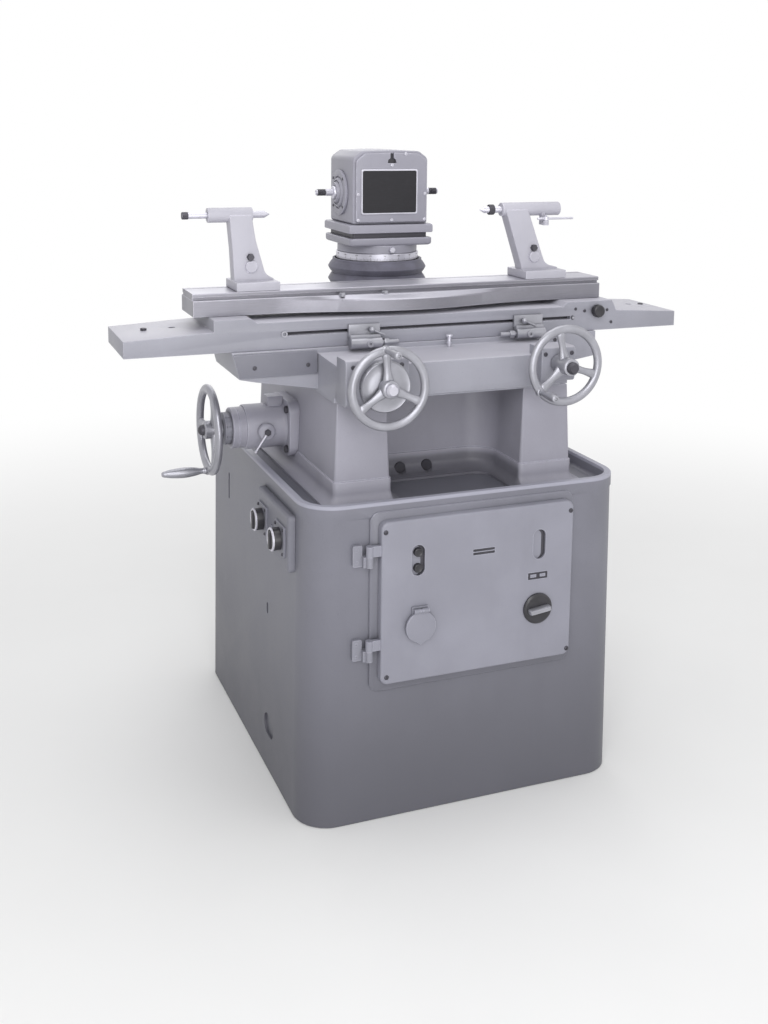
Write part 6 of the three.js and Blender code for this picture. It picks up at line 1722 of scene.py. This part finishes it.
def swivel_table_mesh():
    left, right = UPPER.x - UPPER.length / 2, UPPER.x + UPPER.length / 2
    bottom, top, bulge = TABLE.block_top + GAP, UPPER.top, UPPER.bulge

    def outline(share, inset=0.0):
        """The shelf, whose front swells out by a share of the bulge along a cosine."""
        near, far, steps = UPPER.front + inset, UPPER.back - inset, 72
        front = []
        for way in (2 * i / steps - 1 for i in range(steps + 1)):
            swell = bulge * share * (1 + math.cos(math.pi * way)) / 2
            front.append((UPPER.x + UPPER.bulge_half * way, near - swell))
        return [(left + inset, near), *front, (right - inset, near), (right - inset, far), (left + inset, far)]

    shelf, steps = top - UPPER.ledge, 6
    slope = [
        (outline(1 - (1 - UPPER.bulge_share) * k / steps), shelf + (UPPER.ledge - 1.2) * k / steps)
        for k in range(1, steps + 1)
    ]
    body = stack("z", [
        (outline(1, 1), bottom), (outline(1), bottom + 1), (outline(1), shelf - 1), (outline(0.97), shelf),
        *slope, (outline(UPPER.bulge_share * 0.94, 1.2), top),
    ])
    low, high, near, far = UPPER.rail_bottom, UPPER.rail_top, UPPER.rail_front, UPPER.rail_back
    neck = block(left, right, near + UPPER.undercut, far - UPPER.undercut, top - GAP, low + GAP)
    rail = plate("x", [
        (near + 0.8, low), (far - 0.8, low), (far, low + 0.8), (far, high - 1.2), (far - 1.2, high),
        (near + 1.2, high), (near, high - 1.2), (near, low + 0.8),
    ], left, right)
    side, floor = UPPER.groove_y, high - UPPER.groove_depth
    groove = block(left - OVERRUN, right + OVERRUN, side, side + UPPER.groove_width, floor, high + OVERRUN)
    roof = UPPER.bottom + PIVOT.height + GAP * 2
    bore = bar("z", PIVOT.radius + 2 * GAP, bottom - OVERRUN, roof, (TABLE.pivot_x, PIVOT.y, 0))
    return cut(join(body, neck, rail), groove, bore)


def dog_mesh(x, way):
    """A stop dog: its plate and key, the cylinder below it, and the stop screw that points one way."""
    half, thick, r = DOG.width / 2, DOG.thickness, DOG.cylinder
    y, z, tall, slot = -DOG.cylinder - DOG.edge, -DOG.drop, DOG.plate / 2, TABLE.slot_height / 2 - GAP
    face = bevelled(block(-half, half, -thick, 0, -tall, tall), 0.9)
    key = block(-half + DOG.edge, half - DOG.edge, -thick / 2, TABLE.slot_depth - GAP, -slot, slot)
    cylinder = bar("x", r, -half, half, (0, y, z), 64, (1.2, 1.2))
    bridge = bevelled(block(-half + 1, half - 1, y, -thick / 2, z, -tall + DOG.edge), 1.2)
    start, end = sorted((way * (half - GAP), way * (half + DOG.screw_length)))
    rod = bar("x", DOG.screw, start, end, (0, y, z), 32, (0.8, 0.8))
    first = half + DOG.edge if way > 0 else -half - DOG.edge * 3
    flats = ((1.6, 0), (1.7, 1), (1.7, 9), (1.6, 10))
    nut = stack("x", [(circle(y, z, DOG.screw * share, 6), first + along) for share, along in flats])
    lever_x, lever_z = way * half * 0.4, DOG.lever_top
    arm = moved(
        bar("z", DOG.lever * 0.8, -DOG.width * 0.4, lever_z, (lever_x, y, 0), SMALL),
        shift(-lever_x, 0, -lever_z), turn("y", -1.15), shift(lever_x, 0, lever_z),
    )
    front = y - r
    screw = turned("y", [
        (0, front - 1), (2.6, front - 1), (2.6, front - 3.4), (6.4, front - 3.4), (7, front - 2.8), (7, y),
        (0, y),
    ], (lever_x * 0.4, 0, z), 32)
    knob = ball(DOG.lever * 2, (lever_x, y, lever_z), 32)
    whole = join(face, key, cylinder, bridge, rod, nut, arm, screw, knob)
    return moved(whole, shift(x, TABLE.front - GAP, TABLE.slot_z))


def swivel_knob_mesh():
    """The taper knob's body, without its ridges."""
    size = SWIVEL_KNOB
    r, long, end = size.radius, size.length, size.depth - GAP
    return turned("y", [
        (0, -long + 1), (r * 0.5, -long + 0.6), (r * 0.62, -long), (r * 0.8, -long), (r * 0.93, -long * 0.93),
        (r * 0.96, -long * 0.85), (r * 0.96, -long * 0.25), (r * 0.7, -0.2),
        (size.shaft, 0), (size.shaft, end),
        (0, end),
    ])


class GRINDER_OT_tables(bpy.types.Operator):
    """Builds the lower table, its stop dogs, bolts and knurled knob, and the swivelling upper table"""

    bl_idname = "grinder.tables"
    bl_label = "Tables"

    def execute(self, context):
        sizes = context.scene.grinder_sizes
        body, y, z = "lower_table", TABLE.front, TABLE.slot_z
        piece("traverse_table", drawn(body), body, "table paint", body, sizes.machined_edge, 40)
        spots = ((342, 947), (397, 947), (320, 952), (408, 920))
        screws("table_screws", body, (3.4, 1.6), facing([(spot[0], y, spot[1]) for spot in spots], 0.4))
        plugs = [(x, TABLE.hole_y, top, 0, 0, 0) for x, top in ((-575, 941.4), (545, 938.2))]
        screws("table_plugs", body, (6.2, 2.2), plugs)
        for name, x, way in (("left", DOG.left_x, 1), ("right", DOG.right_x, -1)):
            piece(f"{name}_dog_block", dog_mesh(x, way), f"{name}_dog", "wheel steel", f"{name}_stop_dog")
        knob = SWIVEL_KNOB
        place = shift(knob.x, y - GAP, knob.z)
        disc = moved(swivel_knob_mesh(), place)
        piece("swivel_knob_body", disc, "swivel_knob", "black plastic", "swivel_knob", smooth=30)
        long, out = knob.length * 0.3, shift(knob.radius * 0.955, 0, knob.length * 0.55)
        ridge = moved(ball(1, ORIGIN, 12), Matrix.Diagonal((1, 1, long, 1)), out)
        ridges = moved(ringed(ridge, sizes.knurls, "black plastic"), FACING, place)
        piece("swivel_knob_ridges", ridges, "swivel_knob", "black plastic", smooth=60)
        piece("work_table", swivel_table_mesh(), "swivel_table", "ground steel", "swivel_table", smooth=25)
        ledge = [(x, UPPER.front - 9, UPPER.top, 0, 0, 0) for x in (-193, -102)]
        bolts = scattered(hex_head(6.5, 5), ledge, "wheel steel")
        piece("work_table_bolts", bolts, "swivel_table", "wheel steel", smooth=25)
        half, end, back = TABLE.slot_height / 2, TABLE.slot_right + 5, y + TABLE.slot_depth
        floor = block(TABLE.slot_left + 1, TABLE.slot_right - 1, back - 0.2, back + 1, z - half, z + half)
        clip = tube("y", 6.2, 3.6, y - 2.5, y + 1, (TABLE.slot_left - 5, 0, z), 32)
        nut = turned("y", [(0, -4), (2.2, -4), (2.8, -3.4), (2.8, 2), (0, 2)], (end, y, z), 24)
        disc = bar("y", 4.2, y - 1.5, y + 1, (end, 0, z), 32)
        piece("slot_floor", gathered(bevelled(floor, 0.1, 1), disc), body, "dark steel")
        piece("slot_ends", gathered(clip, nut), body, "wheel steel")
        return {"FINISHED"}


RAIL_TOP = UPPER.rail_top + GAP
RISE = CENTRE_LINE.z - RAIL_TOP


def stock_meshes(s, outline, barrel_right, extra=()):
    """A tailstock about its own foot, with a stepped foot, a tall column and a barrel; and its bolt."""
    edge = bpy.context.scene.grinder_sizes.casting_edge
    half, deep, r, left = TAIL.column_width / 2, TAIL.foot_width / 2, s.barrel, s.barrel_left
    column = bevelled(plate("y", filleted(outline, 8), -half, half), edge, 4, 40)
    foot = bevelled(block(s.foot_left, s.foot_right, -deep, deep, 0, TAIL.foot_height), edge * 0.6)
    barrel = turned("x", [
        (0, left), (r - 1.4, left), (r - 0.4, left + 0.4), (r, left + 1.4), (r, barrel_right - 1.4),
        (r - 0.4, barrel_right - 0.4), (r - 1.4, barrel_right), (0, barrel_right),
    ], (0, 0, RISE), 64)
    bore = bar("x", CENTRE.radius + GAP, left - OVERRUN, barrel_right + OVERRUN, (0, 0, RISE))
    r, front = TAIL.bolt_radius, -half - 5
    washer = turned("y", [
        (0, front), (r + 1.4, front), (r + 3, front + 1.4), (r + 3, 0), (0, 0),
    ], (s.bolt, 0, TAIL.bolt_z - 9))
    head = moved(hex_head(r * 0.8, TAIL.bolt_height), FACING, shift(s.bolt - 2, -half, TAIL.bolt_z + 10))
    return cut(join(foot, column, barrel, washer, *extra), bore), head


def left_stock_meshes():
    s, low, tall = LEFT_STOCK, TAIL.foot_height / 2, TAIL.foot_height
    right = s.foot_right - TAIL.edge
    return stock_meshes(s, [
        (s.column_left, low), (right, low), (right, tall + 3, 4), (s.column_right + 4, tall + 12, 22),
        (s.neck_right + 9, RISE * 0.66, 60), (s.neck_right + 1, RISE, TAIL.edge),
        (s.column_left - 9, RISE, TAIL.edge), (s.column_left - 3, RISE * 0.55, 60),
        (s.column_left, tall + 4, 6),
    ], s.neck_right + TAIL.edge)


def right_stock_meshes():
    s, low, tall = RIGHT_STOCK, TAIL.foot_height / 2, TAIL.foot_height
    right = s.foot_right - TAIL.edge
    q, lug, at = QUILL, QUILL.lug / 2, (QUILL.x, -QUILL.forward, 0)
    quill_lug = join(
        bar("z", q.lug, q.bottom, q.seat, at, 32),
        block(q.x - lug, q.x + lug, -q.forward, 0, q.bottom, q.seat),
        block(q.x - lug, q.x + lug, -q.lug * 2, 0, q.bottom, RISE),
        bar("z", q.pin, q.bottom, q.top, at, SMALL),
    )
    return stock_meshes(s, [
        (s.column_left, low), (right, low), (right, tall + 3, 4), (s.knee_right, tall + 11, 24),
        (s.neck_right + 1, RISE, TAIL.edge), (s.neck_left, RISE, TAIL.edge),
        (s.column_left - 2, tall + 10, 14),
        (s.column_left, tall, 3),
    ], s.barrel_right, [quill_lug])


def knurled(radius, start, end):
    """A sleeve along x with a ridged rim."""
    ring = []
    for i in range(48):
        out, angle = radius * (1 - 0.05 * (i % 2)), 2 * math.pi * i / 48
        ring.append((out * math.cos(angle), out * math.sin(angle)))
    inner = [(u * 0.93, v * 0.93) for u, v in ring]
    body = stack("x", [(inner, start), (ring, start + 1), (ring, end - 1), (inner, end)])
    return cut(body, bar("x", CENTRE.radius * 0.84, start - OVERRUN, end + OVERRUN))


def quill_lever_mesh():
    q, end = QUILL, QUILL.reach
    rod = turned("x", [
        (0, -q.tail), (q.rod * 0.8, -q.tail), (q.rod, -q.tail + 0.8), (q.rod, end - 9),
        (q.rod * 1.15, end - 6),
        (q.rod, end - 1), (q.rod * 0.6, end), (0, end),
    ], (0, 0, q.hub / 2), SMALL)
    hub = bar("z", q.lug, 0, q.hub, ORIGIN, 32, (0.8, 0.8))
    return cut(join(hub, rod), bar("z", q.pin + GAP, -OVERRUN, q.hub + OVERRUN, sides=SMALL))


class GRINDER_OT_tailstocks(bpy.types.Operator):
    """Builds the two tailstocks with their centres and the lever that draws the right centre back"""

    bl_idname = "grinder.tailstocks"
    bl_label = "Tailstocks"

    def execute(self, context):
        c, rise = CENTRE, shift(0, 0, RISE)
        left, right = (shift(s.x, CENTRE_LINE.y, RAIL_TOP) for s in (LEFT_STOCK, RIGHT_STOCK))
        stocks = (("left", left_stock_meshes(), left), ("right", right_stock_meshes(), right))
        for name, parts, place in stocks:
            body = f"{name}_tailstock"
            piece(f"{name}_stock", moved(parts[0], place), body, "light paint", body)
            piece(f"{name}_stock_bolt", moved(parts[1], place), body, "dark steel", smooth=30)
        s = LEFT_STOCK
        start, neck = s.knob_left + c.knob_length, s.barrel_left + GAP
        spike = turned("x", [
            (0, s.knob_left + 1), (c.rod * 0.8, s.knob_left + 1), (c.rod, start), (c.rod, neck),
            (c.radius - 0.5, neck), (c.radius, neck + 0.5), (c.radius, s.tip - c.point), (0.35, s.tip - 0.6),
            (0, s.tip),
        ], (s.x, CENTRE_LINE.y, CENTRE_LINE.z))
        piece("left_spike", spike, "left_centre", "bright steel", "left_centre")
        grip = moved(knurled(c.knob_radius, s.knob_left, start), left, rise)
        piece("left_spike_grip", grip, "left_centre", "dark steel", smooth=20)
        s = RIGHT_STOCK
        grip = moved(knurled(c.collar, s.collar_left, s.collar_right), right, rise)
        piece("right_spike_grip", grip, "right_centre", "dark steel", smooth=20)
        end = s.barrel_right - TAIL.edge
        spike = turned("x", [
            (0, s.tip), (0.35, s.tip + 0.6), (c.radius, s.tip + c.point), (c.radius, end - 0.8),
            (c.radius - 0.8, end), (0, end),
        ], (s.x, CENTRE_LINE.y, CENTRE_LINE.z))
        piece("right_spike", spike, "right_centre", "bright steel", "right_centre")
        place = shift(s.x + QUILL.x, CENTRE_LINE.y - QUILL.forward, RAIL_TOP + QUILL.seat + GAP)
        piece("quill_arm", moved(quill_lever_mesh(), place), "quill_lever", "bright steel", "right_quill_lever")
        return {"FINISHED"}


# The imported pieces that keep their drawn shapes, by the finish they get.
INNER = {
    "cast steel": ("control_plate", "rotor"),
    "dark steel": ("elevation_shaft", "elevation_screw", "table_pinion", "table_rack"),
    "ground steel": ("ram",),
    "bronze": ("elevation_nut", "cross_feed_nut"),
    "bright steel": ("left_bearing", "right_bearing", "cross_screw"),
    "copper": ("stator",),
}


class GRINDER_OT_inner_pieces(bpy.types.Operator):
    """Gives the pieces inside the machine, which keep their drawn shapes, their finishes"""

    bl_idname = "grinder.inner_pieces"
    bl_label = "Inner pieces"

    def execute(self, context):
        for finish, nodes in INNER.items():
            for node in nodes:
                materials = frame["nodes"][node].data.materials
                materials.clear()
                materials.append(material(finish))
        return {"FINISHED"}


# Stage

VIEW = Size(
    lens=42.178, sensor=36, shift_y=-0.2, azimuth=-21.341, elevation=8.879, roll=0.54,
    place=(-0.97229, -2.39577, 1.34445),
)
LAMPS = (
    ("key", 1.8, 46, (-1.3, -2.9, 2.7), (0, 0, 0.8)), ("fill", 3.0, 10, (2.8, -2.2, 1.8), (0, 0, 0.7)),
    ("top", 2.4, 30, (0.2, 0.2, 3.6), (0, 0, 0.6)), ("back", 2.4, 16, (0.6, 3.0, 2.4), (0, 0, 0.8)),
    ("low", 1.6, 25, (-0.5, -3.2, 0.9), (0, 0, 0.75)),
)
WHITE = (1, 1, 1, 1)


def floor_stage(colour):
    """A wide pale floor with a faint mottle, which keeps the machine's shadow."""
    finish = Finish("pale floor", colour)
    mottle = finish.noise(3, 3, 0.5).clear_of(0.3, 0.7)
    finish.shade(Base_Color=finish.between(mottle, 0.985, 1), Roughness=0.75 + mottle * 0.1)
    length = {"operation": "LENGTH"}
    away = finish.node("ShaderNodeVectorMath", length, {0: finish.place()}, "Value").clear_of(1.0, 3.2)
    white = finish.node("ShaderNodeEmission", inputs={"Color": WHITE, "Strength": 1.0})
    lit = Value(finish, finish.shader.outputs[0])
    inputs = {0: away * finish.seen_directly(), 1: lit, 2: white}
    whole = finish.node("ShaderNodeMixShader", inputs=inputs)
    finish.put(finish.tree.nodes["Material Output"].inputs["Surface"], whole)
    mesh = bpy.data.meshes.new("floor")
    mesh.from_pydata([(-12, -12, 0), (12, -12, 0), (12, 12, 0), (-12, 12, 0)], [], [(0, 1, 2, 3)])
    mesh.materials.append(finish.material)
    thing = bpy.data.objects.new("floor", mesh)
    bpy.context.scene.collection.objects.link(thing)


def world_stage(scene):
    """An even soft world, seen as white where the camera, metal or glass look at it."""
    world = scene.world = bpy.data.worlds.new("studio")
    world.use_nodes = True
    sky = Nodes(world.node_tree)
    sky.tree.nodes.clear()
    lit, seen = (
        sky.node("ShaderNodeBackground", inputs={"Color": WHITE, "Strength": strength})
        for strength in (0.56, 1.0)
    )
    whole = sky.node("ShaderNodeMixShader", inputs={0: sky.seen_directly(), 1: lit, 2: seen})
    sky.node("ShaderNodeOutputWorld", inputs={0: whole})


def camera_matrix():
    """Where the camera stands and how it is turned, from its azimuth, elevation and roll."""
    azimuth, elevation, roll = (math.radians(a) for a in (VIEW.azimuth, VIEW.elevation, VIEW.roll))
    flat = math.cos(elevation)
    back = Vector((math.sin(azimuth) * flat, -math.cos(azimuth) * flat, math.sin(elevation)))
    level = (-back).cross(Vector((0, 0, 1))).normalized()
    above = level.cross(-back)
    right = math.cos(roll) * level + math.sin(roll) * above
    up = -math.sin(roll) * level + math.cos(roll) * above
    rows = [(right[i], up[i], back[i], VIEW.place[i]) for i in range(3)]
    return Matrix((*rows, (0, 0, 0, 1)))


class GRINDER_OT_stage(bpy.types.Operator):
    """Sets the pale floor, the soft lights, the world and the camera"""

    bl_idname = "grinder.stage"
    bl_label = "Stage"

    def execute(self, context):
        scene = context.scene
        scene.view_settings.view_transform = "Standard"
        floor_stage(scene.grinder_colours.floor)
        world_stage(scene)
        for name, size, energy, place, aim in LAMPS:
            lamp = bpy.data.lights.new(name, "AREA")
            lamp.size = size
            lamp.energy = energy
            thing = bpy.data.objects.new(name, lamp)
            thing.location = place
            thing.rotation_euler = (Vector(aim) - Vector(place)).to_track_quat("-Z", "Y").to_euler()
            scene.collection.objects.link(thing)
        camera = bpy.data.cameras.new("view")
        camera.lens = VIEW.lens
        camera.sensor_width = VIEW.sensor
        camera.sensor_fit = "AUTO"
        camera.shift_y = VIEW.shift_y
        camera.clip_end = 50
        thing = bpy.data.objects.new("view", camera)
        thing.matrix_world = camera_matrix()
        scene.collection.objects.link(thing)
        scene.camera = thing
        return {"FINISHED"}


PIECE_OPERATORS = (
    GRINDER_OT_cabinet, GRINDER_OT_door, GRINDER_OT_switch_panel, GRINDER_OT_pedestal,
    GRINDER_OT_elevation_drive, GRINDER_OT_column, GRINDER_OT_wheelhead, GRINDER_OT_cross_slide,
    GRINDER_OT_feeds, GRINDER_OT_tables, GRINDER_OT_tailstocks, GRINDER_OT_inner_pieces,
)


class GRINDER_PT_panel(bpy.types.Panel):
    """Lists the machine's pieces, their finishes and the stage"""

    bl_idname = "GRINDER_PT_panel"
    bl_label = "Grinding machine"
    bl_space_type = "VIEW_3D"
    bl_region_type = "UI"
    bl_category = "Grinder"

    def draw(self, context):
        for operator in (*PIECE_OPERATORS, GRINDER_OT_stage):
            self.layout.operator(operator.bl_idname)
        for group in (context.scene.grinder_sizes, context.scene.grinder_colours):
            for name in group.bl_rna.properties.keys():
                if name not in ("rna_type", "name"):
                    self.layout.prop(group, name)


CLASSES = (GrinderColours, GrinderSizes, *PIECE_OPERATORS, GRINDER_OT_stage, GRINDER_PT_panel)


def register():
    for kind in CLASSES:
        bpy.utils.register_class(kind)
    bpy.types.Scene.grinder_colours = bpy.props.PointerProperty(type=GrinderColours)
    bpy.types.Scene.grinder_sizes = bpy.props.PointerProperty(type=GrinderSizes)


def unregister():
    del bpy.types.Scene.grinder_sizes
    del bpy.types.Scene.grinder_colours
    for kind in reversed(CLASSES):
        bpy.utils.unregister_class(kind)


def main():
    register()
    bpy.ops.grinder.cabinet()
    bpy.ops.grinder.door()
    bpy.ops.grinder.switch_panel()
    bpy.ops.grinder.pedestal()
    bpy.ops.grinder.elevation_drive()
    bpy.ops.grinder.column()
    bpy.ops.grinder.wheelhead()
    bpy.ops.grinder.cross_slide()
    bpy.ops.grinder.feeds()
    bpy.ops.grinder.tables()
    bpy.ops.grinder.tailstocks()
    bpy.ops.grinder.inner_pieces()
    bpy.ops.grinder.stage()


if __name__ == "__main__":
    main()
